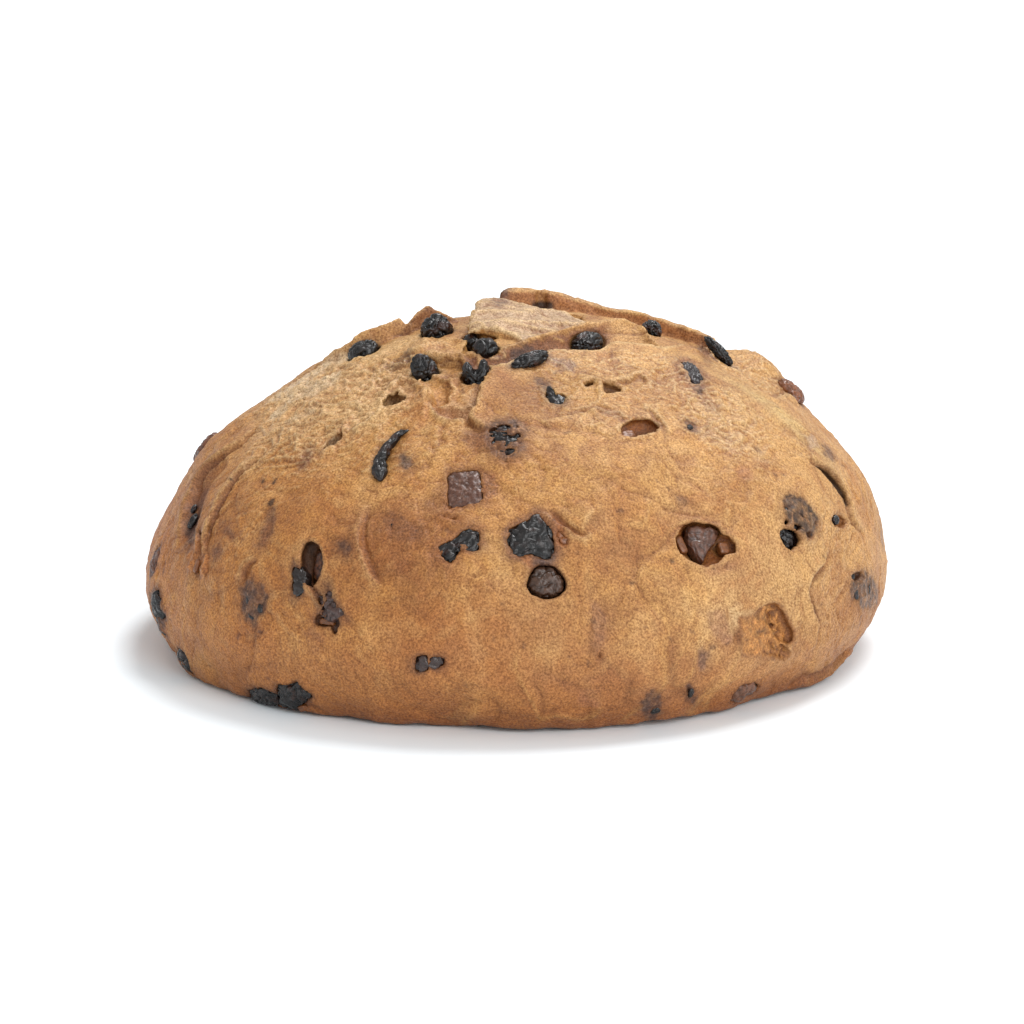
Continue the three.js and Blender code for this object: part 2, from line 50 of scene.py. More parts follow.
# ---------------------------------------------------------------- dimensions
HALF_WIDTH, HALF_FRONT, HALF_BACK = 102.5, 98.85, 99.8
BELLY_Z, DOME_TOP = 16.5, 89.7
SQUARE_LEFT, SQUARE_RIGHT = 1.744, 2.173
FOOT_TUCK, TUCK_POWER = 0.078, 1.34

# camera: elevation, distance, aim and scale (pixels a millimetre at the aim)
CAM_EL, CAM_D, CAM_T, CAM_S = math.radians(13.677), 950.0, np.array([-0.321, 0.0, 35.497]), 3.613
CAM_BACK = np.array([0.0, -math.cos(CAM_EL), math.sin(CAM_EL)])
CAM_UP = np.array([0.0, math.sin(CAM_EL), math.cos(CAM_EL)])
CAM_POS = CAM_T + CAM_BACK * CAM_D
CAM_F = CAM_S * CAM_D
PX = 1.0 / CAM_S

SWELLS = [
    (-88, 56, 15, 1.9), (-84, 13, 12, -1.5), (90, 62, 13, -1.3), (92, 22, 15, 1.4),
    (102, 71, 9, 3.2), (-30, 44, 11, 1.1), (-52, 34, 13, 1.2), (-12, 30, 15, 0.9),
    (14, 62, 13, 0.8), (26, 52, 11, -0.9), (40, 30, 14, 1.0), (58, 50, 11, 1.1),
    (5, 12, 14, 0.9), (-118, 46, 16, 1.5), (-150, 62, 14, 1.2), (-172, 34, 17, 1.4),
    (158, 54, 14, -1.2), (136, 36, 16, 1.6), (118, 58, 12, 1.1), (-136, 22, 12, -1.0),
    (170, 16, 14, 1.0), (148, 72, 12, 1.3), (-104, 74, 10, 1.4),
]
FOOT_EDGE = [(-9, 13, -3.0), (47, 12, -2.8), (25, 9, 1.6), (-62, 11, 1.6), (-40, 9, 1.2), (110, 16, 1.8), (165, 14, -2.0), (-140, 15, 1.7)]


# --------------------------------------------------------------------- noise
def _hash(ix, iy, iz, seed):
    h = (ix * np.uint32(374761393)) ^ (iy * np.uint32(668265263)) ^ (iz * np.uint32(2147483647)) ^ np.uint32((seed * 2654435761) & 0xFFFFFFFF)
    h = (h ^ (h >> np.uint32(13))) * np.uint32(1274126177)
    return h ^ (h >> np.uint32(16))


_G = np.array([[1, 1, 0], [-1, 1, 0], [1, -1, 0], [-1, -1, 0], [1, 0, 1], [-1, 0, 1], [1, 0, -1], [-1, 0, -1],
               [0, 1, 1], [0, -1, 1], [0, 1, -1], [0, -1, -1], [1, 1, 0], [0, -1, 1], [-1, 1, 0], [0, -1, -1]], np.float32)


def noise(P, size, seed=0):
    """Gradient noise from about -1 to 1; size is the distance between its features."""
    Q = np.asarray(P, np.float32) / np.float32(size) + np.float32(517.3)
    F = np.floor(Q)
    f = Q - F
    I = F.astype(np.int64).astype(np.uint32)
    w = f * f * f * (f * (f * 6 - 15) + 10)
    out = 0
    with np.errstate(over="ignore"):
        for dx in (0, 1):
            wx = w[:, 0] if dx else 1 - w[:, 0]
            for dy in (0, 1):
                wy = w[:, 1] if dy else 1 - w[:, 1]
                for dz in (0, 1):
                    wz = w[:, 2] if dz else 1 - w[:, 2]
                    g = _G[_hash(I[:, 0] + np.uint32(dx), I[:, 1] + np.uint32(dy), I[:, 2] + np.uint32(dz), seed) & np.uint32(15)]
                    out = out + wx * wy * wz * (g[:, 0] * (f[:, 0] - dx) + g[:, 1] * (f[:, 1] - dy) + g[:, 2] * (f[:, 2] - dz))
    return out * 1.4


def fbm(P, size, octaves=3, seed=0, gain=0.5):
    out, amp = 0, 1.0
    for i in range(octaves):
        out = out + amp * noise(P, size / 2 ** i, seed + 31 * i)
        amp *= gain
    return out


def ridged(P, size, seed, sharp=1.0):
    return np.clip(1 - np.abs(noise(P, size, seed)) * 2.6, 0, 1) ** sharp


def smooth(a, b, x):
    t = np.clip((x - a) / (b - a), 0, 1)
    return t * t * (3 - 2 * t)


def smax(a, b, k):
    return 0.5 * (a + b + np.sqrt((a - b) ** 2 + k * k))


def smin(a, b, k):
    return 0.5 * (a + b - np.sqrt((a - b) ** 2 + k * k))


# ------------------------------------------------------------- the dome itself
def reach(c, s):
    return 1.0 / np.hypot(c / HALF_WIDTH, s / np.where(s < 0, HALF_FRONT, HALF_BACK))


def dome_d(P):
    x, y, z = P[:, 0], P[:, 1], P[:, 2]
    r = np.hypot(x, y) + 1e-6
    c, s = x / r, y / r
    A = reach(c, s)
    left = 0.5 * (1 - c)
    n = SQUARE_RIGHT * (1 - left) + SQUARE_LEFT * left
    B = DOME_TOP - BELLY_Z
    h = z - BELLY_Z
    a = np.maximum(r / A, 1e-4)
    b = np.maximum(h, 1e-4) / B
    q = (a ** n + b ** n) ** (1 / n)
    grad = q ** (1 - n) * np.sqrt((a ** (n - 1) / A) ** 2 + (b ** (n - 1) / B) ** 2)
    up = (q - 1) / np.maximum(grad, 1e-5)
    t = np.clip(-h / BELLY_Z, 0, 1.3)
    down = (r - A * (1 - FOOT_TUCK * t ** TUCK_POWER)) * 0.97
    return np.where(h >= 0, up, down)


def on_dome(az, z):
    """Point of the plain dome at an azimuth (0 at the front, 90 at the right) and height."""
    a = math.radians(az)
    d = np.array([math.sin(a), -math.cos(a), 0.0])
    lo, hi = 0.0, 125.0
    for _ in range(40):
        m = (lo + hi) / 2
        if dome_d(np.array([[d[0] * m, d[1] * m, z]]))[0] < 0:
            lo = m
        else:
            hi = m
    return np.array([d[0] * lo, d[1] * lo, z])


SWELL_AT = [(on_dome(az, z), r, rise) for az, z, r, rise in SWELLS]


def swelling(P):
    out = np.zeros(len(P))
    for q, r, rise in SWELL_AT:
        out += rise * np.exp(-((P - q) ** 2).sum(1) / (r * r))
    a = np.arctan2(P[:, 0], -P[:, 1])
    low = np.maximum(0, 1 - P[:, 2] / 14)
    for az, r, rise in FOOT_EDGE:
        d = np.abs(((np.degrees(a) - az + 540) % 360) - 180) * 1.72
        out += low * rise * np.exp(-(d * d) / (r * r))
    wave = np.sin(3 * a + 0.07 * P[:, 2]) + 0.7 * np.sin(7 * a - 0.11 * P[:, 2] + 1.3) + 0.5 * np.sin(11 * a + 0.16 * P[:, 2] + 2.1)
    return out + 0.32 * wave * np.minimum(1, np.hypot(P[:, 0], P[:, 1]) / 45)


def skin_d(P):
    return dome_d(P) - swelling(P)


def normals_of(P, h=0.2):
    G = np.stack([skin_d(P + np.eye(3)[i] * h) - skin_d(P - np.eye(3)[i] * h) for i in range(3)], 1)
    return G / np.maximum(np.linalg.norm(G, axis=1, keepdims=True), 1e-9)


def hit(pix):
    """Where the lines of sight through these places of the frame meet the crust."""
    pix = np.atleast_2d(np.asarray(pix, float))
    D = (pix[:, :1] - 512) / CAM_F * np.array([1.0, 0, 0]) - (pix[:, 1:] - 512) / CAM_F * CAM_UP - CAM_BACK
    D /= np.linalg.norm(D, axis=1, keepdims=True)
    ts = np.arange(CAM_D - 135, CAM_D + 70, 2.5)
    pts = CAM_POS + D[:, None, :] * ts[None, :, None]
    F = skin_d(pts.reshape(-1, 3)).reshape(len(pix), -1)
    inside = F < 0
    first = np.where(inside.any(1), inside.argmax(1), np.abs(F).argmin(1))
    hi = ts[first]
    lo = hi - 2.5
    ok = inside.any(1)
    for _ in range(24):
        m = (lo + hi) / 2
        f = skin_d(CAM_POS + D * m[:, None])
        hi = np.where(f < 0, m, hi)
        lo = np.where(f < 0, lo, m)
    t = np.where(ok, hi, ts[first])
    return CAM_POS + D * t[:, None]


def at_y(u, v, y):
    d = (u - 512) / CAM_F * np.array([1.0, 0, 0]) - (v - 512) / CAM_F * CAM_UP - CAM_BACK
    return CAM_POS + d * ((y - CAM_POS[1]) / d[1])


def frame_at(p, roll=0.0):
    """Level, up and outward directions of the crust at p, turned by roll degrees."""
    n = normals_of(p[None])[0]
    u = np.array([1.0, 0, 0]) if abs(n[2]) > 0.995 else np.array([-n[1], n[0], 0.0])
    u /= np.linalg.norm(u)
    v = np.cross(n, u)
    a = math.radians(roll)
    return np.stack([math.cos(a) * u + math.sin(a) * v, -math.sin(a) * u + math.cos(a) * v, n])


def curve(points, step=1.6):
    """Evenly spaced points of a smooth line through these."""
    P = np.asarray(points, float)
    if len(P) < 3:
        n = max(2, int(np.linalg.norm(P[-1] - P[0]) / step))
        return P[0] + (P[-1] - P[0]) * np.linspace(0, 1, n + 1)[:, None]
    E = np.vstack([2 * P[0] - P[1], P, 2 * P[-1] - P[-2]])
    out = []
    for i in range(1, len(E) - 2):
        n = max(2, int(np.linalg.norm(E[i + 1] - E[i]) / step))
        t = np.linspace(0, 1, n, endpoint=False)[:, None]
        out.append(0.5 * (2 * E[i] + (E[i + 1] - E[i - 1]) * t + (2 * E[i - 1] - 5 * E[i] + 4 * E[i + 1] - E[i + 2]) * t ** 2
                          + (3 * E[i] - E[i - 1] - 3 * E[i + 1] + E[i + 2]) * t ** 3))
    return np.vstack(out + [P[-1:]])


# ------------------------------------------------- features laid on the dough
class Feature:
    lo = hi = None
    kind = "relief"

    def span(self, pts, pad):
        pts = np.atleast_2d(pts)
        self.lo, self.hi = pts.min(0) - pad, pts.max(0) + pad

    def near(self, lo, hi):
        return bool((self.lo < hi).all() and (self.hi > lo).all())

    def pick(self, P):
        return np.nonzero(((P > self.lo) & (P < self.hi)).all(1))[0]


class Line(Feature):
    """A line over the crust; along() gives place on it, side distance and height above it."""

    def setup(self, pts, pad):
        self.c = curve(pts)
        seg = self.c[1:] - self.c[:-1]
        self.L = np.linalg.norm(seg, axis=1)
        self.seg = seg / self.L[:, None]
        self.s0 = np.concatenate([[0], np.cumsum(self.L)])
        self.n = normals_of((self.c[1:] + self.c[:-1]) / 2)
        self.side = np.cross(self.seg, self.n)
        self.side /= np.linalg.norm(self.side, axis=1, keepdims=True)
        self.span(self.c, pad)

    def along(self, P):
        best = np.full(len(P), 1e9)
        idx = np.zeros(len(P), int)
        tt = np.zeros(len(P))
        for i in range(len(self.seg)):
            v = P - self.c[i]
            t = np.clip(v @ self.seg[i], 0, self.L[i])
            d = ((v - t[:, None] * self.seg[i]) ** 2).sum(1)
            m = d < best
            best[m] = d[m]; idx[m] = i; tt[m] = t[m]
        v = P - (self.c[idx] + tt[:, None] * self.seg[idx])
        return (self.s0[idx] + tt) / self.s0[-1], (v * self.side[idx]).sum(1), (v * self.n[idx]).sum(1), np.sqrt(best)


class Fold(Line):
    """Dough lapping over itself: raised on the right of the path's direction seen from outside."""

    # paint: how strongly the groove is painted darker, as painted shade
    def __init__(self, pts, high=1.2, back=4.0, groove=0.7, front=0.35, ends=0.5, paint=0.35, gw=0.7):
        self.high, self.back, self.groove, self.front, self.ends, self.paint, self.gw = high, back, groove, front, ends, paint, gw
        self.setup(pts, back * 2.2 + 2)

    def shape(self, P):
        t, s, w, dist = self.along(P)
        s = s + 0.8 * noise(P, 11.0, 4) + 0.32 * noise(P, 3.4, 5) + 0.14 * noise(P, 1.4, 6)
        taper = np.clip(4 * t * (1 - t), 0, 1) ** self.ends
        fade = np.exp(-np.maximum(dist - np.abs(s) - 0.8, 0) ** 2 / 1.5)
        return taper * fade, s

    def relief(self, P):
        k, s = self.shape(P)
        up = self.high * smooth(-self.front, self.front, s) * np.exp(-np.maximum(s, 0) / self.back)
        return k * (up - self.groove * np.exp(-((s + self.gw) / (0.75 * self.gw)) ** 2))


class Crease(Line):
    """A plain groove (depth above 0) or ridge (below 0) along a path."""

    # paint: how strongly the groove is painted darker, as painted shade
    def __init__(self, pts, depth=0.4, width=0.9, ends=0.5, paint=0.3):
        self.depth, self.width, self.ends, self.paint = depth, width, ends, paint
        self.setup(pts, width * 2.6 + 1)

    def relief(self, P):
        t, s, w, dist = self.along(P)
        taper = np.clip(4 * t * (1 - t), 0, 1) ** self.ends
        return -self.depth * taper * np.exp(-(dist / self.width) ** 2)


class Patch(Feature):
    """A place on the crust with an outline, or an oval, in the tangent plane."""

    def place(self, where, size=None, roll=0.0, outline=None, pad=6.0):
        if outline is not None:
            H = hit(outline) if np.asarray(outline).shape[1] == 2 else np.asarray(outline, float)
            self.c = H.mean(0)
            self.F = frame_at(self.c)
            self.poly = (H - self.c) @ self.F[:2].T
            self.r = np.linalg.norm(self.poly, axis=1).max()
        else:
            self.c = np.asarray(where, float)
            self.F = frame_at(self.c, roll)
            self.poly = None
            self.a, self.b = size
            self.r = max(size)
        self.span(self.c, self.r + pad)

    def local(self, P):
        return (P - self.c) @ self.F.T

    def edge(self, L):
        """Distance inside (below 0) or outside the outline."""
        if self.poly is None:
            k = np.sqrt((L[:, 0] / self.a) ** 2 + (L[:, 1] / self.b) ** 2)
            return (k - 1) * min(self.a, self.b)
        q = self.poly
        best = np.full(len(L), 1e9)
        odd = np.zeros(len(L), bool)
        for i in range(len(q)):
            a, b = q[i], q[(i + 1) % len(q)]
            e = b - a
            v = L[:, :2] - a
            t = np.clip(v @ e / (e @ e), 0, 1)
            best = np.minimum(best, ((v - t[:, None] * e) ** 2).sum(1))
            c = (a[1] > L[:, 1]) != (b[1] > L[:, 1])
            with np.errstate(divide="ignore", invalid="ignore"):
                x = a[0] + e[0] * (L[:, 1] - a[1]) / (e[1] if e[1] else 1e-9)
            odd ^= c & (L[:, 0] < x)
        return np.where(odd, -1, 1) * np.sqrt(best)


class Bump(Patch):
    """A lump (or dip) with soft sides."""

    def __init__(self, where, size, rise, roll=0.0, power=2.0):
        self.rise, self.power = rise, power
        self.place(where, size, roll, pad=max(size) * 1.2 + 2)

    def relief(self, P):
        L = self.local(P)
        k = (L[:, 0] / self.a) ** 2 + (L[:, 1] / self.b) ** 2
        return self.rise * np.exp(-k ** (self.power / 2)) * np.exp(-(L[:, 2] / 14) ** 2)


class Sunk(Patch):
    """A torn patch: the crust inside the outline is lower, with a steep side."""

    def __init__(self, outline, depth, wall=0.6, rough=0.3, seed=3, lip=0.3, fade=None):
        self.depth, self.wall, self.rough, self.seed, self.lip, self.fade = depth, wall, rough, seed, lip, fade
        self.place(None, outline=outline)

    def relief(self, P):
        L = self.local(P)
        e = self.edge(L) + 0.35 * noise(P, 1.8, self.seed)
        k = 1 - smooth(-self.wall, self.wall * 0.4, e)
        if self.fade is not None:  # shallower toward this side of the patch
            g = L[:, :2] @ np.asarray(self.fade, float) / self.r
            k = k * smooth(-0.9, 0.7, g)
        out = -k * (self.depth + self.rough * (noise(P, 1.6, self.seed + 5) + 0.6 * noise(P, 0.9, self.seed + 9)))
        return out + self.lip * np.exp(-((e - 0.5) / 0.9) ** 2) * (e > -0.4)


class Film(Patch):
    """Fruit just under the skin: a stained, slightly sunk and wrinkled place."""

    def __init__(self, outline, color, strength=0.8, gloss=0.2, depth=0.3, seed=1, halo=0.4, vein=0.5):
        self.color, self.strength, self.gloss, self.depth, self.seed, self.halo, self.vein = color, strength, gloss, depth, seed, halo, vein
        self.place(None, outline=outline, pad=7.0)

    def margin(self, P):
        L = self.local(P)
        return self.edge(L) + 0.75 * noise(P, 2.8, self.seed) + 0.4 * noise(P, 1.2, self.seed + 1) + 3.0 * (np.abs(L[:, 2]) > 8)

    def relief(self, P):
        k = smooth(0.7, -0.9, self.margin(P))
        return -self.depth * k * (1 - 1.3 * ridged(P + 0.8 * noise(P, 4, self.seed + 2)[:, None], 2.6, self.seed + 3, 1.6))


class Pit(Patch):
    """A hole with a sharp mouth that widens below it."""
    kind = "cut"

    def __init__(self, where=None, size=None, deep=3.0, roll=0.0, outline=None, under=0.5, lip=0.25, ragged=0.25, seed=1, tint="dark", lean=(0, 0)):
        self.deep, self.under, self.lip, self.ragged, self.seed, self.tint, self.lean = deep, under, lip, ragged, seed, tint, lean
        self.place(where, size, roll, outline, pad=deep + 4)

    def relief(self, P):
        e = self.edge(self.local(P))
        return self.lip * np.exp(-((e - 0.7) / 0.9) ** 2) * (e > -1.0)

    def cut(self, P, d):
        L = self.local(P)
        w = L[:, 2]
        down = np.clip(-w, 0, self.deep)
        M = L.copy()
        M[:, 0] -= self.lean[0] * down
        M[:, 1] -= self.lean[1] * down
        e = self.edge(M) + self.ragged * noise(P, 1.5, self.seed)
        e = e - self.under * np.clip(down - 0.5, 0, 1.6)
        floor = -w - self.deep * np.clip(1 - 0.45 * (1 + np.minimum(e, 0) / (0.6 * self.r)), 0.35, 1)
        return smax(d, -smax(e, floor, 0.9), 0.22)


ANG = np.linspace(-math.pi, math.pi, 181)


def spokes(q):
    """How far an outline reaches from its middle at each angle of ANG."""
    out = np.zeros(len(ANG))
    for i in range(len(q)):
        a, e = q[i], q[(i + 1) % len(q)] - q[i]
        c, s = np.cos(ANG), np.sin(ANG)
        den = c * e[1] - s * e[0]
        den = np.where(np.abs(den) < 1e-9, 1e-9, den)
        t = (a[0] * e[1] - a[1] * e[0]) / den
        u = (a[0] * s - a[1] * c) / den
        out = np.where((t > 0) & (u >= -0.001) & (u <= 1.001), np.maximum(out, t), out)
    out = np.where(out <= 0, out[out > 0].mean(), out)
    out[-1] = out[0]
    return out


class Fruit(Patch):
    """The pocket of a piece of fruit, and the piece itself."""
    kind = "cut"

    def __init__(self, name, p, radii, roll, out, gap=0.1, ragged=0.4, seed=0, lip=0.3, style="raisin", veil=None, over=()):
        self.name, self.radii, self.out, self.gap, self.ragged, self.seed, self.lip, self.style = name, np.array(radii, float), out, gap, ragged, seed, lip, style
        self.veil, self.tab, self.power = veil, None, 4.0 if style == "peel" else 2.0
        self.surface = np.asarray(p, float)
        self.place(self.surface, radii[:2], roll, pad=4)
        self.center = self.surface + self.F[2] * (out - radii[2])
        self.over = [((cx * radii[0], cy * radii[1]), (rx * radii[0], ry * radii[1])) for (cx, cy), (rx, ry) in over]
        if name in OUTLINES:
            outline, deep, out, self.power, self.veil, covers = OUTLINES[name]
            H = hit(outline)
            mid = H.mean(0)
            self.c, self.F = mid, frame_at(mid)
            self.center = mid + self.F[2] * (out - deep)
            self.tab = spokes((H - mid) @ self.F[:2].T)
            for px, size in covers:
                o = (hit([px])[0] - mid) @ self.F[:2].T
                self.over.append((tuple(o), (size[0] * PX, size[1] * PX)))
            self.radii = np.array([self.tab.mean(), self.tab.mean(), deep])
            self.span(self.center, self.tab.max() + 4)
        elif name in STANDING:
            line, self.radii = np.array(STANDING[name][0], float), np.array(STANDING[name][1], float)
            line /= np.linalg.norm(line)
            face = CAM_BACK - (CAM_BACK @ line) * line
            face /= np.linalg.norm(face)
            self.F = np.stack([np.cross(line, face), line, face])
            self.span(self.center, self.radii.max() + 5)
        elif name not in OPEN_STYLE:
            # an uneven outline of its own, lying flush in the crust
            a, b = self.radii[:2]
            self.tab = a * b / np.hypot(b * np.cos(ANG), a * np.sin(ANG)) * (1 + 0.13 * np.sin(2 * ANG + seed) + 0.12 * np.sin(3 * ANG + 2.3 * seed) + 0.07 * np.sin(5 * ANG + 3.1 * seed) + 0.04 * np.sin(9 * ANG + seed))
            deep = min(self.radii[2], 2.4)
            self.power = 3.0
            self.center = self.surface + self.F[2] * (min(out, 2.6 if name in ("peel_05", "peel_07") else 0.9) - deep)
            self.radii = np.array([a, b, deep])

    def level(self, L):
        """1 on the fruit's skin, less inside."""
        if self.tab is None:
            return (np.abs(L / self.radii) ** self.power).sum(1) ** (1 / self.power)
        r = np.interp(np.arctan2(L[:, 1], L[:, 0]), ANG, self.tab)
        return ((np.hypot(L[:, 0], L[:, 1]) / r) ** self.power + np.abs(L[:, 2] / self.radii[2]) ** self.power) ** (1 / self.power)

    def relief(self, P):
        L = self.local(P)
        if self.tab is not None:
            e = np.hypot(L[:, 0], L[:, 1]) - np.interp(np.arctan2(L[:, 1], L[:, 0]), ANG, self.tab)
            return self.lip * np.exp(-((e - 0.5) / 1.1) ** 2) * np.exp(-(L[:, 2] / 6) ** 2)
        if self.name in STANDING:
            return np.zeros(len(P))
        k = max(0.2, 1 - ((self.radii[2] - self.out) / self.radii[2]) ** 2) ** 0.5  # share of the radius that shows
        e = (np.sqrt((L[:, 0] / self.radii[0]) ** 2 + (L[:, 1] / self.radii[1]) ** 2) / k - 1) * min(self.radii[:2]) * k
        return self.lip * np.exp(-((e - 0.4) / 1.1) ** 2) * np.exp(-(L[:, 2] / 6) ** 2)

    def cut(self, P, d):
        L = (P - self.center) @ self.F.T
        k = self.level(L)
        r = self.radii.min() if self.tab is None else 0.5 * (self.radii[0] + self.radii[2])
        e = (k - 1) * r - self.gap + self.ragged * (noise(P, 2.2, self.seed) + 0.5 * noise(P, 1.2, self.seed + 1))
        if self.name in ("raisin_07", "raisin_08"):
            e = np.maximum(e, np.interp(P[:, 0], RIM[:, 0], RIM[:, 1]) + 0.2 - P[:, 1])
        open_ = smax(d, -e, 0.2)
        if self.veil is None and not self.over:
            return open_
        # baked dough lies over part of the fruit
        c = np.full(len(P), 9.0)
        if self.veil is not None:
            c = r * 0.8 * (1.5 * noise(P, 1.25 * r, self.seed + 3) + self.veil)
        for (cx, cy), (rx, ry) in self.over:
            h = np.sqrt(((L[:, 0] - cx) / rx) ** 2 + ((L[:, 1] - cy) / ry) ** 2)
            c = np.minimum(c, (h - 1) * min(rx, ry) + 0.5 * noise(P, 1.8, self.seed + 5))
        skin = smin(d, (k - 1) * r - 0.35 + 0.15 * noise(P, 1.5, self.seed + 6), 0.5)
        return smin(open_, smax(skin, c, 0.3), 0.2)


# ------------------------------------------------------------- the opened cut
class Flap(Feature):
    """Dough with a crest and a cut face toward the front, added to the dome."""
    kind = "join"

    def __init__(self, crest, lean=0.2, slope=-0.3, curl=0.0, back=60.0, k=0.5, face=True, wobble=0.25, thick=12.0, crown=0.0):
        c = np.array(crest, float)
        self.x, self.y, self.z = c.T
        self.lean, self.slope, self.curl, self.back, self.k, self.face, self.wobble, self.thick, self.crown = lean, slope, curl, back, k, face, wobble, thick, crown
        self.lo = np.array([self.x.min() - 3, self.y.min() - 8, self.z.min() - thick])
        self.hi = np.array([self.x.max() + 3, self.y.max() + min(back, 40), self.z.max() + 6])

    def parts(self, P):
        x = P[:, 0]
        yc = np.interp(x, self.x, self.y) + self.wobble * noise(np.stack([x, x * 0, x * 0], 1), 3.2, 7)
        zc = np.interp(x, self.x, self.z) + self.wobble * noise(np.stack([x, x * 0 + 9, x * 0], 1), 2.4, 8)
        y, z = P[:, 1] - yc, P[:, 2] - zc
        face = (-self.lean * np.clip(-z, -1, self.thick) - y) / math.hypot(1, self.lean)
        top = (z - self.slope * y - self.crown * np.exp(-((y - 4) / 4.0) ** 2) + self.curl * np.maximum(y, 0) ** 2) / math.hypot(1, self.slope)
        taper = 0.55 * np.maximum(y - 0.5, 0) + 0.9 * noise(P, 5.5, 9) * smooth(0.5, 4, y) if self.back > 20 else 0.0
        end = np.maximum(self.x[0] - x, x - self.x[-1]) + taper
        return face, top, end, y, z

    def join(self, P, d):
        face, top, end, y, z = self.parts(P)
        e = smax(smax(face, top, self.k), end, 0.6)
        e = np.maximum(e, y - self.back)
        return smin(d, e, 0.35)

    def cutface(self, P):
        face, top, end, y, z = self.parts(P)
        return smooth(1.3, 0.35, np.abs(face)) * smooth(-0.35, -1.1, top) * smooth(0.6, -0.2, end)


RIM = np.array([[-7.4, -37.0, 84.0], [-1.9, -37.0, 84.6], [1.5, -34.0, 85.7], [6.0, -31.5, 86.6], [11.6, -29.5, 87.0], [20.9, -28.5, 86.7], [23.9, -26.0, 86.9],
                [25.6, -22.5, 87.7], [30.7, -20.0, 87.2], [35.6, -18.0, 86.0], [39.7, -17.0, 84.9], [42.6, -12.0, 85.0], [48.1, -4.0, 84.6], [50.9, -4.6, 83.2], [54.8, -13.0, 79.9]])
SECOND = np.array([[-12.6, -29.0, 85.8], [-6.1, -30.0, 86.0], [-2.7, -28.0, 87.4], [-0.3, -27.0, 87.8], [3.4, -24.0, 88.9], [8.8, -20.5, 89.6], [12.5, -18.0, 89.9], [16.6, -13.0, 90.6],
                   [20.0, -9.5, 90.9], [23.0, -8.0, 90.6], [25.5, -5.0, 90.8], [30.2, -2.0, 90.3], [33.8, -1.0, 89.0], [36.1, -4.0, 87.8], [37.3, -9.0, 86.5], [39.6, -14.0, 85.0]])
LIP = np.array([[-12.9, -18.0, 89.8], [-8.4, -17.0, 91.1], [-4.1, -18.5, 90.3], [2.6, -22.4, 88.5], [9.0, -18.0, 87.4], [14.0, -13.0, 87.6], [19.6, -7.0, 87.2]])
LID_TOP = np.array([[-9.3, 4.0, 94.0], [-5.2, 5.5, 94.2], [-1.7, 6.0, 94.0], [6.8, 6.0, 92.6], [13.1, 4.0, 90.9], [19.6, 0.0, 88.6]])
SLICE = [[-4.0, 16.0, 94.4], [-1.7, 17.0, 94.6], [5.0, 19.0, 94.3], [12.2, 21.0, 93.1], [18.6, 21.0, 90.9], [22.6, 21.0, 89.9], [27.0, 19.0, 88.8], [33.3, 17.0, 88.5],
         [36.6, 15.0, 88.2], [40.6, 12.0, 87.3], [48.7, 7.0, 85.5], [52.0, 4.5, 84.8], [56.5, 1.0, 83.4]]


class Gap(Feature):
    """The open gap behind the front rim, and the slanted cut face of the flap behind it."""
    kind = "join"
    lo, hi = np.array([-14.5, -40.0, 74.0]), np.array([41.5, 12.0, 104.0])

    def parts(self, P):
        x = P[:, 0]
        wob = 0.3 * noise(np.stack([x, x * 0, x * 0 + 3], 1), 2.6, 17)
        y1 = np.interp(x, RIM[:, 0], RIM[:, 1]) + 0.3
        z1 = np.interp(x, RIM[:, 0], RIM[:, 2])
        y2 = np.interp(x, SECOND[:, 0], SECOND[:, 1]) + wob
        z2 = np.interp(x, SECOND[:, 0], SECOND[:, 2]) + wob
        wide = np.maximum(y2 - y1, 1.2)
        depth = np.interp(x, [-13, -8, 2, 20, 32, 38, 41], [1.0, 2.8, 4.2, 4.0, 3.6, 2.0, 0.3])
        floor = z1 - depth
        t = (P[:, 1] - y1) / wide
        face = floor + (z2 - floor) * np.clip(t, 0, 1) ** 2.8
        return x, y1, z1, y2, z2, t, face

    def join(self, P, d):
        x, y1, z1, y2, z2, t, face = self.parts(P)
        ends = np.maximum(-12.9 - x, x - 40.5)
        y, z = P[:, 1], P[:, 2]
        gap = smax(smax(y1 - y, (face - z) * 0.8, 0.4), np.maximum(y - y2, ends), 0.4)
        d = smax(d, -gap, 0.3)
        top = np.where(y < y2, face, z2 - 0.55 * (y - y2) + 0.9 * np.exp(-((y - y2 - 1.2) / 1.2) ** 2) * 0.4)
        body = smax(smax((z - top) * 0.84, y1 - y, 0.3), np.maximum(ends, y - y2 - 6.0), 0.5)
        return smin(d, body, 0.3)

    def cutface(self, P):
        x, y1, z1, y2, z2, t, face = self.parts(P)
        return smooth(0.99, 0.9, t) * smooth(-0.05, 0.02, t) * smooth(1.2, 0.4, np.abs(P[:, 2] - face)) * smooth(41, 39, x) * smooth(-13.5, -12, x)


class Brim(Feature):
    """The raised crest of the front rim, with the gap opening right behind it."""
    kind = "join"
    lo, hi = np.array([-9.5, -48.0, 76.0]), np.array([51.0, -2.0, 92.0])

    def join(self, P, d):
        x, y, z = P.T
        line = np.stack([x, x * 0, x * 0], 1)
        yr = np.interp(x, RIM[:, 0], RIM[:, 1]) + 0.35 + 0.25 * noise(line, 4.0, 27)
        zr = np.interp(x, RIM[:, 0], RIM[:, 2]) + np.interp(x, [-9, -5, 40, 44, 50], [-1.6, 0.2, 0.2, -0.3, -2.0]) + 0.3 * noise(line, 5.0, 28)
        top = zr - 0.36 * (yr - y) - 0.012 * (yr - y) ** 2
        e = smax(smax((z - top) * 0.92, y - yr, 0.45), np.maximum(np.maximum(-9.0 - x, x - 50.0), yr - 11.0 - y), 0.5)
        return smin(d, e, 0.9)

    def cutface(self, P):
        return np.zeros(len(P))


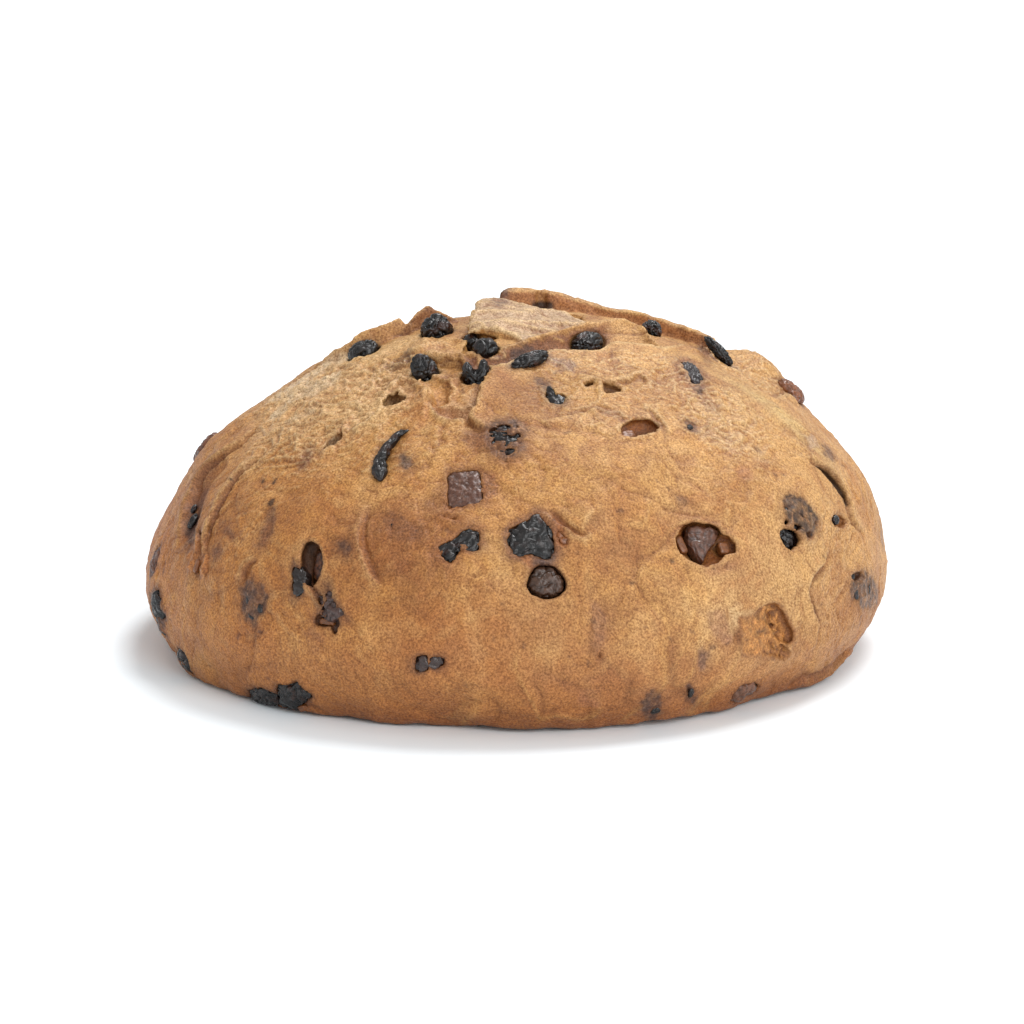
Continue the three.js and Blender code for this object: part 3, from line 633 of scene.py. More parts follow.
class Lid(Feature):
    """The wrinkled flap of crust lying over the cut, its front edge lifted off the hollow."""
    kind = "join"
    lo, hi = np.array([-17.0, -27.0, 80.0]), np.array([24.0, 12.0, 104.0])

    def parts(self, P):
        x, y, z = P.T
        xs = x - 3.5 * np.clip((y + 18) / 22, 0, 1)
        y0, z0 = np.interp(xs, LIP[:, 0], LIP[:, 1]), np.interp(xs, LIP[:, 0], LIP[:, 2])
        y1, z1 = np.interp(x, LID_TOP[:, 0], LID_TOP[:, 1]), np.interp(x, LID_TOP[:, 0], LID_TOP[:, 2])
        t = (y - y0) / (y1 - y0)
        tc = np.clip(t, 0, 1)
        top = z0 + (z1 - z0) * tc + 1.4 * np.sin(math.pi * tc) + 0.8 * noise(P * [0.7, 1.3, 0.3], 7.5, 41) + 0.15 * noise(P * [0.8, 1.5, 0.3], 3.2, 42)
        return xs, y0, y1, t, z - top

    def join(self, P, d):
        xs, y0, y1, t, h = self.parts(P)
        x, y, z = P.T
        # the sliver between this flap and the slice behind it stands open
        open_ = smax(smax(y1 - y, y - np.interp(x, [-4, 5, 12, 20], [15.0, 17.5, 19.0, 18.5]), 0.5), smax(86.6 - z, np.maximum(-9.5 - x, x - 19), 0.5), 0.5)
        d = smax(d, -open_, 0.4)
        left = -12.9 - xs
        e = smax(smax(h * 0.95, y0 - y, 0.7), smax(y - y1, np.maximum(left, x - 20.5), 0.5), 0.5)
        d = smin(d, e, 0.35)
        # hollow under the lifted front edge
        under = smax(np.abs(x + 6.2) - 6.4 + 0.25 * (y + 20), 0.9 * np.abs(z - (85.3 + 0.22 * (y + 20) - 0.1 * (x + 6))) - 2.1, 0.8)
        under = smax(under, y + 15.2, 0.8)
        return smax(d, -smax(under, -(y + 27.5), 0.5), 0.4)

    def cutface(self, P):
        return np.zeros(len(P))

    def crust(self, P):
        xs, y0, y1, t, h = self.parts(P)
        return smooth(1.2, 0.4, np.abs(h)) * smooth(-0.08, 0.02, t) * smooth(1.03, 0.98, t) * smooth(-13.4, -12.6, xs) * smooth(21, 19.5, P[:, 0])


CUT = [
    Gap(), Lid(),
    Flap(SLICE, lean=0.28, slope=-0.12, curl=0.015, wobble=0.15, thick=9.0, crown=0.5),
    Flap([[-29.6, 2.5, 87.9], [-28.2, 2.6, 89.6], [-26.0, 4.6, 91.2], [-24.2, 5.8, 92.6], [-22.8, 6.0, 93.2], [-21.2, 5.6, 91.9], [-19.6, 5.0, 91.0], [-17.4, 4.4, 90.2], [-15.0, 4.2, 89.4]], lean=0.22, slope=-0.42, curl=0.01, wobble=0.2),
    Flap([at_y(u, v, y) for u, v, y in [(312, 367, 6), (318, 361, 5), (330, 352, 3), (344, 343.5, 1), (352, 338, 0.5), (360, 332, 0.5), (371, 327, 1), (380, 324.5, 1.5), (392, 319, 2.6), (399, 316.5, 3.4), (405, 322, 3.2), (411, 326, 3)]],
         lean=0.55, slope=-0.36, curl=0.012, wobble=0.3),
    Flap([[-27.8, -24.0, 84.2], [-25.0, -25.5, 85.2], [-23.2, -26.2, 85.6], [-18.0, -27.2, 85.2], [-12.8, -27.2, 84.9]], lean=-0.1, slope=0.14, curl=0.004, back=14.0, wobble=0.3, thick=3.0),
    Flap([at_y(u, v, y) for u, v, y in [(403, 409, -49.5), (409, 403, -49), (415, 396, -48.5), (420, 389.5, -48), (424, 384.5, -48), (428, 391, -48.5), (431, 399, -49.5), (434, 408, -51)]], lean=0.85, slope=-0.35, curl=0.05, back=5.0, wobble=0.12, thick=9.0, k=0.7),
    Flap([[50.4, -3.6, 84.0], [51.4, -3.9, 84.3], [53.0, -4.6, 83.0], [55.4, -7.4, 80.9]], lean=0.1, slope=-0.5, curl=0.02, back=3.2, wobble=0.1, thick=5.0),
    Brim(),
]

# ------------------------------------------------------------------- the fruit
# name, where (frame place or point), half width, half height, half depth, roll, stand-out
RAISINS = [
    ("raisin_01", (-20.9, -6.0, 88.6), 4.5, 4.3, 4.0, 0, 3.4), ("raisin_02", (-40.9, -4.0, 81.9), 4.2, 4.4, 3.4, 0, 2.6),
    ("raisin_03", (-23.6, -31.5, 82.6), 3.6, 5.2, 3.2, -20, 2.4), ("raisin_04", (-9.6, -39.0, 81.6), 3.8, 6.2, 3.0, 8, 1.9),
    ("raisin_05", (-11.4, -16.4, 87.2), 2.9, 2.4, 2.2, 0, 1.2), ("raisin_06", (-5.9, -21.4, 86.2), 3.3, 2.9, 2.4, 0, 1.3),
    ("raisin_07", (20.2, -15.5, 87.5), 5.4, 3.4, 2.9, 8, 1.5), ("raisin_08", (3.4, -27.0, 84.4), 6.0, 1.9, 1.8, 20, 0.9),
    ("raisin_09", (38.0, 2.0, 86.4), 3.6, 2.9, 2.6, -15, 2.6), ("raisin_10", (56.2, -3.4, 82.0), 6.4, 2.0, 2.0, -52, 2.4),
    ("raisin_11", (-1.9, -65.6, 70.4), 5.9, 7.0, 3.6, 0, 1.4), ("raisin_12", (-13.4, -87.1, 48.2), 7.4, 5.4, 3.8, 12, 1.2),
    ("raisin_13", (4.0, -86.7, 50.9), 6.2, 7.4, 4.2, 0, 1.7), ("raisin_14", (8.2, -92.9, 40.3), 5.2, 4.8, 3.6, 0, -0.9),
    ("raisin_15", (-21.1, -96.5, 20.3), 4.4, 3.2, 3.0, 0, 0.5), ("raisin_16", (10.6, -49.2, 79.6), 2.9, 3.4, 2.6, 0, 0.6),
    ("raisin_17", (47.6, -26.5, 80.0), 3.8, 5.0, 3.0, 0, 0.8), ("raisin_18", (-56.3, -76.8, 35.2), 2.3, 5.2, 2.6, 8, 1.0),
    ("raisin_19", (-46.6, -84.8, 31.6), 4.9, 4.4, 3.2, 0, 0.8), ("raisin_20", (-95.4, -34.6, 15.4), 4.6, 5.6, 3.2, 0, 1.0),
    ("raisin_21", (-86.6, -42.6, 5.6), 4.0, 4.0, 3.0, -20, 1.1), ("raisin_22", (-66.6, -69.6, 5.0), 4.4, 3.0, 2.8, 0, 1.0),
    ("raisin_23", (-57.5, -76.1, 6.4), 5.8, 4.2, 3.4, 0, 1.3), ("raisin_24", (71.6, -61.9, 44.2), 3.8, 4.4, 3.0, 0, -0.5),
    ("raisin_25", (84.6, 30.5, 47.0), 5.6, 4.6, 3.4, 20, 1.3), ("raisin_26", (58.0, 66.0, 50.6), 4.4, 6.2, 3.4, -30, 1.2),
    ("raisin_27", (30.0, 91.0, 34.0), 6.4, 4.6, 3.6, 10, 1.4), ("raisin_28", (-6.0, 84.4, 54.6), 5.0, 5.2, 3.4, 0, 1.2),
    ("raisin_29", (-38.0, 76.0, 49.0), 5.8, 5.0, 3.4, 35, 1.3), ("raisin_30", (-72.0, 58.0, 34.0), 5.2, 4.2, 3.2, -15, 1.2),
    ("raisin_31", (14.0, 60.0, 75.0), 4.4, 5.4, 3.2, 15, 1.3),
]
PEELS = [
    ("peel_01", (-12.2, -76.8, 60.2), 4.6, 5.6, 3.6, -6, 0.9), ("peel_02", (13.7, -88.0, 48.6), 2.2, 2.5, 2.2, 15, 0.7),
    ("peel_03", (-51.0, -77.6, 41.2), 2.3, 4.6, 2.4, 12, -1.6), ("peel_04", (-97.1, -24.3, 27.5), 3.4, 5.8, 2.6, 0, 1.2),
    ("peel_05", (-84.5, 4.5, 52.1), 4.0, 5.4, 2.6, -35, 1.1), ("peel_06", (48.4, -77.7, 47.1), 4.2, 4.8, 3.0, 45, -1.4),
    ("peel_07", (77.0, 6.0, 67.8), 4.2, 4.6, 2.8, 40, 1.8), ("peel_08", (59.0, -73.6, 5.4), 4.8, 3.0, 2.8, 0, 1.0),
    ("peel_09", (46.0, 84.0, 22.0), 4.2, 4.6, 3.0, 25, 1.0), ("peel_10", (-55.0, 62.0, 55.0), 4.0, 4.4, 2.8, -20, 1.0),
]


def dome_height(x, y):
    lo, hi = BELLY_Z, 100.0
    for _ in range(40):
        m = (lo + hi) / 2
        if dome_d(np.array([[x, y, m]]))[0] < 0:
            lo = m
        else:
            hi = m
    return lo


def landed(p):
    x, y, z = p
    if z > dome_height(x, y) - 1.2 and math.hypot(x, y) < 62:
        return np.array(p, float)
    q = on_dome(math.degrees(math.atan2(x, -y)), z)
    return q + normals_of(q[None])[0] * swelling(q[None])[0]


OPEN_STYLE = {"raisin_01", "raisin_02", "raisin_03", "raisin_04", "raisin_05", "raisin_06", "raisin_07", "raisin_08", "raisin_09", "raisin_10", "raisin_14", "raisin_24", "peel_03", "peel_06"}
# dough baked over the fruit: how bare it is (less is more covered), and covered ovals
COVER = {
    "raisin_20": (0.9, [((0.6, -0.4), (0.5, 0.5))]), "raisin_25": (0.9, []), "raisin_26": (1.5, []), "raisin_27": (0.8, []), "raisin_28": (1.4, []),
    "raisin_29": (1.7, []), "raisin_30": (0.9, []), "raisin_31": (1.6, []), "peel_04": (2.4, []), "peel_09": (2.4, []), "peel_10": (2.4, []),
}
# fruit that has settled a little deeper than its fit
SINK = {"raisin_06": 3.4, "raisin_07": 1.4, "raisin_08": 3.9, "peel_07": 2.6, "peel_05": 1.7, "peel_03": -3.4, "peel_06": -0.6, "raisin_11": 1.0, "raisin_12": 0.8, "raisin_13": 1.1, "raisin_15": 0.3, "raisin_17": 0.5, "peel_01": 0.45, "peel_02": 0.5, "raisin_10": 1.5, "raisin_14": -0.4, "raisin_20": 0.7, "raisin_30": 0.9}

# the long axis of fruit that stands on end, and its half sizes
STANDING = {"raisin_08": ((0.88, 0.40, 0.27), (2.3, 5.6, 2.3)), "raisin_03": ((0.50, 0.1, -0.86), (3.4, 4.5, 3.2)), "raisin_04": ((0.12, 0.1, -1.0), (3.7, 6.4, 3.2)), "raisin_10": ((0.72, -0.35, -0.70), (1.6, 5.4, 1.7))}

# fruit whose shape shows in the crust: outline in the photograph's frame, half depth, how far it stands
# out, how square it is, how bare, and where dough lies over it (place and half size in pixels)
OUTLINES = {
    "raisin_11": ([(487, 437), (488, 431), (495, 426), (503, 423.5), (510, 423), (517, 425), (523, 431), (525, 437), (523, 444), (523.5, 450), (518, 456), (511, 458.5), (502, 457), (494, 454), (488.5, 447)], 2.2, 0.75, 3.0, 1.9,
                  [((512.5, 431.5), (4.2, 6.0)), ((500.5, 446), (5.0, 5.6))]),
    "raisin_12": ([(481.5, 539), (479, 530), (470, 527), (461, 530.5), (457.5, 536), (452.5, 539), (445, 541.5), (436, 547), (434.5, 551), (438, 556.5), (444, 561), (451, 563.5), (454.5, 558), (456, 552), (462, 552), (471, 551.5), (479, 550), (481.5, 544)], 2.2, 0.7, 3.0, 2.2,
                  [((463, 546.5), (5.0, 2.4)), ((441, 551.5), (2.8, 2.2))]),
    "raisin_13": ([(533, 510), (540, 511.5), (541, 516), (545.5, 520), (552.5, 523.5), (555, 530), (553.5, 537), (557, 550), (552.5, 556), (545, 561), (536, 557.5), (530, 553.5), (520, 557), (512.5, 555.5), (510, 550), (507, 544), (505.5, 539), (509, 534), (506.5, 528.5), (515, 527), (519.5, 522.5), (527, 519.5), (530.5, 516)], 2.6, 0.8, 3.0, 2.4, []),
    "raisin_14": ([(528, 585), (531, 575), (535.5, 567.5), (544, 564.5), (554, 567), (561, 574), (565, 581), (564.5, 588), (559, 593.5), (551, 596.5), (542, 596.5), (533.5, 593)], 2.6, 0.15, 3.0, None, []),
    "raisin_15": ([(414, 664), (416, 658), (421, 654.5), (427, 656), (430, 658.5), (433, 655), (439, 655), (443, 660), (442, 666), (437, 671), (432, 669.5), (429, 667), (426, 671), (420, 673), (415, 670)], 1.7, 0.55, 3.0, 1.4, [((429.5, 662), (1.6, 5.0))]),
    "raisin_16": ([(545, 384), (550, 384.5), (553.5, 389), (554, 393.5), (561, 393), (567.5, 397.5), (564, 402.5), (556, 404), (549, 401), (546, 395)], 1.8, 0.4, 3.0, 1.8, []),
    "raisin_17": ([(679.5, 364.5), (686, 362.5), (692, 364), (698.5, 371), (703.5, 381), (699, 386), (692, 383), (685, 374)], 1.8, 1.25, 3.0, 1.5, []),
    "raisin_18": ([(293, 560.5), (298, 564), (301, 570), (304.5, 572), (304, 580), (304.5, 593), (299, 597), (295, 598.5), (291, 596), (290.5, 586.7), (292.5, 578.3), (290.5, 570)], 2.2, 0.35, 3.0, 2.0, []),
    "raisin_19": ([(321, 587), (327, 582), (333, 583.5), (335, 592), (339, 600), (344, 609), (348, 617), (339, 621), (328, 622), (320, 617), (319.5, 606), (317, 596)], 1.9, 0.45, 3.0, 1.1, [((317, 592), (5, 4))]),
    "raisin_22": ([(248, 690), (254, 687), (265, 690.5), (276, 697), (277, 707), (266, 707), (254, 703.5), (248.5, 697)], 2.2, 0.7, 3.0, 1.5, []),
    "raisin_23": ([(276.5, 684), (284, 685.5), (290, 685.5), (296, 682.5), (301.5, 689), (309, 693), (313, 697.5), (307, 702.5), (301.5, 706), (297, 711.5), (287, 711), (278.5, 704.5), (276, 693)], 2.6, 0.9, 3.0, 2.0, []),
    "peel_01": ([(446.5, 475), (450, 470.5), (462.5, 469.5), (477, 468.5), (481.5, 475), (482.5, 485), (484, 498.8), (480, 503.5), (467.5, 505.5), (455, 508.5), (448, 506.5), (446, 495), (447.5, 485)], 2.4, 0.3, 5.0, None, []),
    "peel_02": ([(555.5, 530), (560, 528.5), (566, 533), (570, 540), (567, 545), (560, 543.5), (556, 539)], 1.6, 0.1, 3.0, None, []),
    "peel_06": ([(690, 524), (698, 522.5), (706.7, 525), (714, 523.5), (721.5, 530), (718.5, 539), (713.6, 545.5), (709, 552), (705.5, 561.5), (699.5, 554), (694.5, 546.5), (690.5, 540), (689, 532)], 2.4, -0.7, 5.0, None, []),
}
RESIZE = {"raisin_06": (3.4, 3.0, 3.0), "raisin_07": (6.2, 3.4, 3.1), "raisin_08": (6.2, 2.0, 2.6)}

FRUIT = []
for i, (name, p, a, b, c, roll, out) in enumerate(RAISINS + PEELS):
    style = "peel" if name.startswith("peel") else "raisin"
    loose = name in OPEN_STYLE
    a, b, c = RESIZE.get(name, (a, b, c))
    veil, over = COVER.get(name, (None if loose or style == "peel" else 1.0, ()))
    FRUIT.append(Fruit(name, landed(p), (a, b, c), roll, SINK.get(name, out), gap=0.25 if loose else -0.15, ragged=0.15 if loose else 0.06 if style == "peel" else 0.5, seed=200 + i,
                       lip=0.0 if loose else 0.2, style=style, veil=veil, over=over))

# ------------------------------------------------- folds, creases, pits, lumps
H = hit
CRUMB = [(738.6, 619.4), (751, 616.7), (759.4, 608.3), (770.6, 602.8), (779, 605.6), (784.4, 613.9), (787, 622), (792.8, 630.6), (792.8, 641.7), (787, 647), (790, 655.6), (784.4, 659.7), (776, 657), (765, 655.6), (756.7, 654), (748, 655.6), (740, 652.8), (738.6, 641.7), (741.4, 630.6)]


def sRGB(r, g, b):
    c = np.array([r, g, b], float) / 255
    return np.where(c <= 0.04045, c / 12.92, ((c + 0.055) / 1.055) ** 2.4)


FILMS = [
    Film([(484, 437), (486, 429), (494, 423), (506, 420.5), (518, 422), (526, 430), (528, 438), (526, 446), (526, 452), (519, 459), (510, 461.5), (500, 460), (490, 456), (485, 447)], sRGB(84, 56, 44), 0.8, 0.35, 0.1, 640, halo=0.5, vein=0.9),
    Film([(201, 486), (207, 491), (200, 507), (197, 523), (196, 541), (190, 547), (184, 541), (183, 527), (187, 511), (193, 497)], sRGB(98, 66, 58), 0.8, 0.2, 0.2, 641, halo=0.6, vein=0.4),
    Film([(186, 552), (198, 548), (207, 556), (206, 572), (198, 580), (188, 574)], sRGB(150, 92, 52), 0.6, 0.3, 0.4, 642, vein=0.8), Film([(432, 545), (448, 532), (468, 521), (484, 527), (486, 545), (470, 556), (452, 568), (436, 562)], sRGB(160, 104, 66), 0.5, 0.2, 0.1, 643, halo=0.3, vein=0.3),
    Film([(505, 520), (528, 514), (545, 508), (560, 520), (562, 540), (556, 560), (530, 566), (508, 560), (502, 540)], sRGB(142, 94, 66), 0.6, 0.2, 0.1, 644, halo=0.3, vein=0.3),
    Film([(240, 587), (245, 580), (253, 580), (265, 585), (266.7, 596.7), (265, 610), (256.7, 620), (253.3, 630), (248.3, 623.3), (241.7, 615), (238.3, 603)], sRGB(76, 56, 54), 0.85, 0.3, 0.4, 601),
    Film([(384, 520), (392, 514), (402, 516), (414, 520), (424, 526), (427, 534), (420, 541), (408, 543), (396, 541), (387, 534)], sRGB(104, 70, 54), 0.75, 0.1, 0.25, 602),
    Film([(783, 498), (788.6, 493.6), (798, 497), (809.4, 508), (817, 520), (816, 532), (807, 538), (798, 532), (794, 526), (787, 522), (782, 511.7)], sRGB(66, 48, 44), 0.9, 0.35, 0.45, 603, vein=1.0),
    Film([(851, 580), (858, 573), (866, 572), (874, 580), (879, 592), (878, 604), (868, 609), (858, 606), (851, 597), (849, 588)], sRGB(84, 58, 50), 0.85, 0.3, 0.4, 604, vein=1.0),
    Film([(672, 362), (684, 357), (699, 362), (708, 374), (708, 388), (696, 392), (684, 384), (675, 373)], sRGB(150, 98, 66), 0.55, 0.1, 0.15, 605),
    Film([(595, 406), (601, 406.5), (612, 409.5), (622, 413.5), (629, 420.5), (625, 424), (615, 420.5), (604, 414.5), (597, 411)], sRGB(142, 98, 82), 0.8, 0.3, 0.2, 606, halo=0.1, vein=0.2),
    Film([(150, 590), (156, 588), (160, 600), (166, 618), (166, 636), (158, 625), (151, 608)], sRGB(84, 58, 52), 0.85, 0.2, 0.2, 607),
    Film([(309, 446), (313, 452), (309, 462), (301, 471), (297, 474), (296, 462), (302, 452)], sRGB(126, 84, 66), 0.7, 0.1, 0.15, 608, vein=0.3),
    Film([(271, 503), (276, 508), (277, 520), (272, 532), (264, 545), (258, 552), (257, 544), (262, 530), (266, 515)], sRGB(112, 76, 62), 0.6, 0.1, 0.3, 609, vein=0.3),
    Film([(218, 518), (226, 520), (233, 532), (230, 540), (224, 534), (219, 526)], sRGB(130, 84, 60), 0.6, 0.1, 0.2, 610, vein=0.3), Film([(211, 549), (218, 547), (222, 550), (216, 562), (212, 560)], sRGB(118, 74, 52), 0.7, 0.1, 0.3, 611, vein=0.3),
    Film([(641, 700), (645, 693), (652, 690), (660, 694), (664, 704), (662, 714), (655, 722), (647, 721), (642, 712)], sRGB(84, 62, 58), 0.85, 0.3, 0.35, 612), Film([(688, 684), (693, 686), (697, 697), (696, 706), (691, 704), (688, 695)], sRGB(88, 62, 54), 0.85, 0.3, 0.3, 613),
    Film([(697, 650), (703, 648), (708, 657), (706, 668), (700, 671), (697, 661)], sRGB(106, 72, 62), 0.75, 0.2, 0.25, 614), Film([(706, 612), (716, 606), (724, 612), (727, 624), (730, 638), (726, 646), (716, 640), (708, 630)], sRGB(160, 112, 90), 0.45, 0.1, 0.12, 615, vein=0.3),
    Film([(702, 567), (714, 565), (728, 562), (736, 563), (735, 568), (722, 572), (708, 577), (701, 575)], sRGB(164, 108, 78), 0.5, 0.1, 0.25, 616, vein=0.4), Film([(535, 377), (542, 377), (550, 380), (551, 388), (546, 392), (539, 390), (535, 384)], sRGB(98, 64, 50), 0.8, 0.2, 0.25, 617),
    Film([(552, 361), (560, 358), (570, 360), (577, 366), (572, 371), (562, 370), (554, 367)], sRGB(144, 116, 112), 0.7, 0.6, -0.2, 618, halo=0.2, vein=0.4), Film([(693, 389), (699, 387), (705, 391), (704, 396), (697, 396)], sRGB(108, 76, 66), 0.7, 0.2, 0.2, 619),
    Film([(702, 403), (709, 401), (717, 405), (721, 412), (715, 414), (706, 410)], sRGB(126, 84, 62), 0.7, 0.1, 0.2, 620), Film([(684, 421), (690, 419), (698, 424), (699, 431), (692, 433), (685, 429)], sRGB(96, 68, 62), 0.8, 0.5, 0.3, 621),
    Film([(703, 424), (709, 422), (713, 427), (711, 434), (705, 433)], sRGB(138, 98, 82), 0.6, 0.2, 0.2, 622), Film([(462, 436), (468, 430), (478, 429), (487, 432), (488, 441), (480, 447), (470, 447), (464, 442)], sRGB(118, 74, 54), 0.6, 0.1, 0.15, 623),
    Film([(482, 470), (492, 470), (497.5, 476), (498, 486), (495, 495), (487, 500), (483, 492), (482, 480)], sRGB(132, 80, 56), 0.8, 0.45, 0.1, 624, halo=0.25, vein=0.4), Film([(531, 557), (540, 557), (548, 553), (556, 550), (556, 558), (549, 564), (540, 566), (533, 563)], sRGB(96, 76, 74), 0.85, 0.3, 0.15, 625),
    Film([(521, 557), (528, 554), (532.5, 560), (531, 568), (525, 568)], sRGB(172, 106, 54), 0.6, 0.5, 0.1, 626, halo=0.2, vein=0.2), Film([(553, 517), (561, 523), (568, 532), (572, 541), (567, 547), (557, 544), (552, 533)], sRGB(158, 96, 54), 0.7, 0.2, 0.3, 627, vein=0.3),
    Film([(398, 456), (404, 453), (411, 457), (413, 464), (406, 468), (399, 465)], sRGB(80, 66, 66), 0.8, 0.4, 0.2, 628, vein=0.2), Film([(338, 545), (344, 541), (351, 545), (353, 553), (347, 557), (340, 554)], sRGB(66, 54, 54), 0.9, 0.4, 0.2, 629),
    Film([(508, 352), (518, 347), (532, 345), (546, 347), (544, 356), (528, 359), (512, 362)], sRGB(78, 60, 60), 0.85, 0.3, 0.2, 630), Film([(493, 322), (497, 313), (506, 307), (512, 309), (510, 317), (502, 323)], sRGB(110, 74, 60), 0.8, 0.2, 0.2, 631),
    Film([(396, 560), (404, 557), (411, 563), (409, 571), (400, 573), (395, 567)], sRGB(142, 86, 52), 0.6, 0.1, 0.25, 632), Film([(700, 345), (706, 350), (712, 362), (708, 366), (701, 357), (697, 349)], sRGB(126, 84, 62), 0.5, 0.1, 0.1, 633),
    Film([(734, 470), (742, 466), (750, 471), (750, 479), (742, 483), (735, 478)], sRGB(190, 136, 92), 0.4, 0.1, 0.2, 634, vein=0.4), Film([(676, 496), (683, 494), (689, 501), (685, 506), (678, 503)], sRGB(112, 74, 58), 0.75, 0.2, 0.15, 635),
    Film([(821, 445), (829, 448), (834, 458), (830, 463), (823, 456)], sRGB(110, 76, 62), 0.75, 0.2, 0.2, 636), Film([(806, 437), (812, 434), (817, 441), (819, 449), (812, 448)], sRGB(196, 160, 140), 0.6, 0.5, 0.2, 637, halo=0.1, vein=0.4),
    Film([(592, 607), (598, 603), (605, 612), (607, 628), (603, 645), (596, 652), (591, 640), (593, 622)], sRGB(150, 98, 78), 0.5, 0.15, 0.3, 638, vein=0.6),
]



def ring_on_dome(az, z, a, b, roll, seed):
    c = on_dome(az, z)
    F = frame_at(c, roll)
    t = np.arange(14) * (2 * math.pi / 14)
    r = 1 + 0.16 * np.sin(2 * t + seed) + 0.14 * np.sin(3 * t + 1.7 * seed) + 0.09 * np.sin(5 * t + 0.6 * seed)
    return c + (a * r * np.cos(t))[:, None] * F[0] + (b * r * np.sin(t))[:, None] * F[1]


for n_, (az, zz, a, b, roll, color, k0, vein) in enumerate([
        (100, 44, 3.6, 2.6, 30, (88, 60, 52), 0.8, 0.8), (106, 62, 3.0, 4.4, -20, (112, 74, 60), 0.65, 0.4), (122, 24, 4.4, 3.0, 10, (84, 58, 52), 0.8, 0.6), (136, 48, 4.6, 3.4, -30, (104, 70, 54), 0.7, 0.8),
        (146, 34, 2.4, 3.8, 15, (72, 52, 50), 0.85, 0.5), (158, 72, 4.0, 2.6, 0, (110, 78, 70), 0.6, 0.4), (166, 16, 4.2, 2.6, -15, (120, 78, 56), 0.6, 0.4), (174, 38, 3.0, 4.6, 25, (92, 64, 56), 0.75, 0.9),
        (-172, 68, 3.4, 2.4, 40, (76, 56, 52), 0.8, 0.4), (-163, 30, 3.6, 4.6, -10, (88, 60, 50), 0.8, 0.7), (-156, 14, 3.4, 2.4, 0, (110, 72, 54), 0.7, 0.4), (-143, 40, 2.6, 4.2, 30, (80, 58, 52), 0.8, 0.6),
        (-136, 22, 4.4, 3.2, -25, (116, 76, 52), 0.6, 0.8), (-128, 68, 3.4, 2.6, 10, (104, 72, 58), 0.6, 0.4), (-118, 52, 3.0, 4.0, -10, (90, 62, 52), 0.75, 0.7), (-106, 36, 4.2, 3.0, 20, (84, 60, 54), 0.8, 0.6),
        (-98, 50, 2.4, 3.4, 0, (110, 72, 54), 0.7, 0.4), (110, 12, 3.2, 2.2, 0, (96, 64, 52), 0.7, 0.4), (86, 30, 3.4, 2.4, 20, (110, 74, 58), 0.6, 0.5), (94, 66, 2.6, 2.0, 0, (94, 66, 56), 0.7, 0.3)]):
    FILMS.append(Film(ring_on_dome(az, zz, a, b, roll, n_), sRGB(*color), k0, 0.25, 0.3, 660 + 3 * n_, vein=vein))

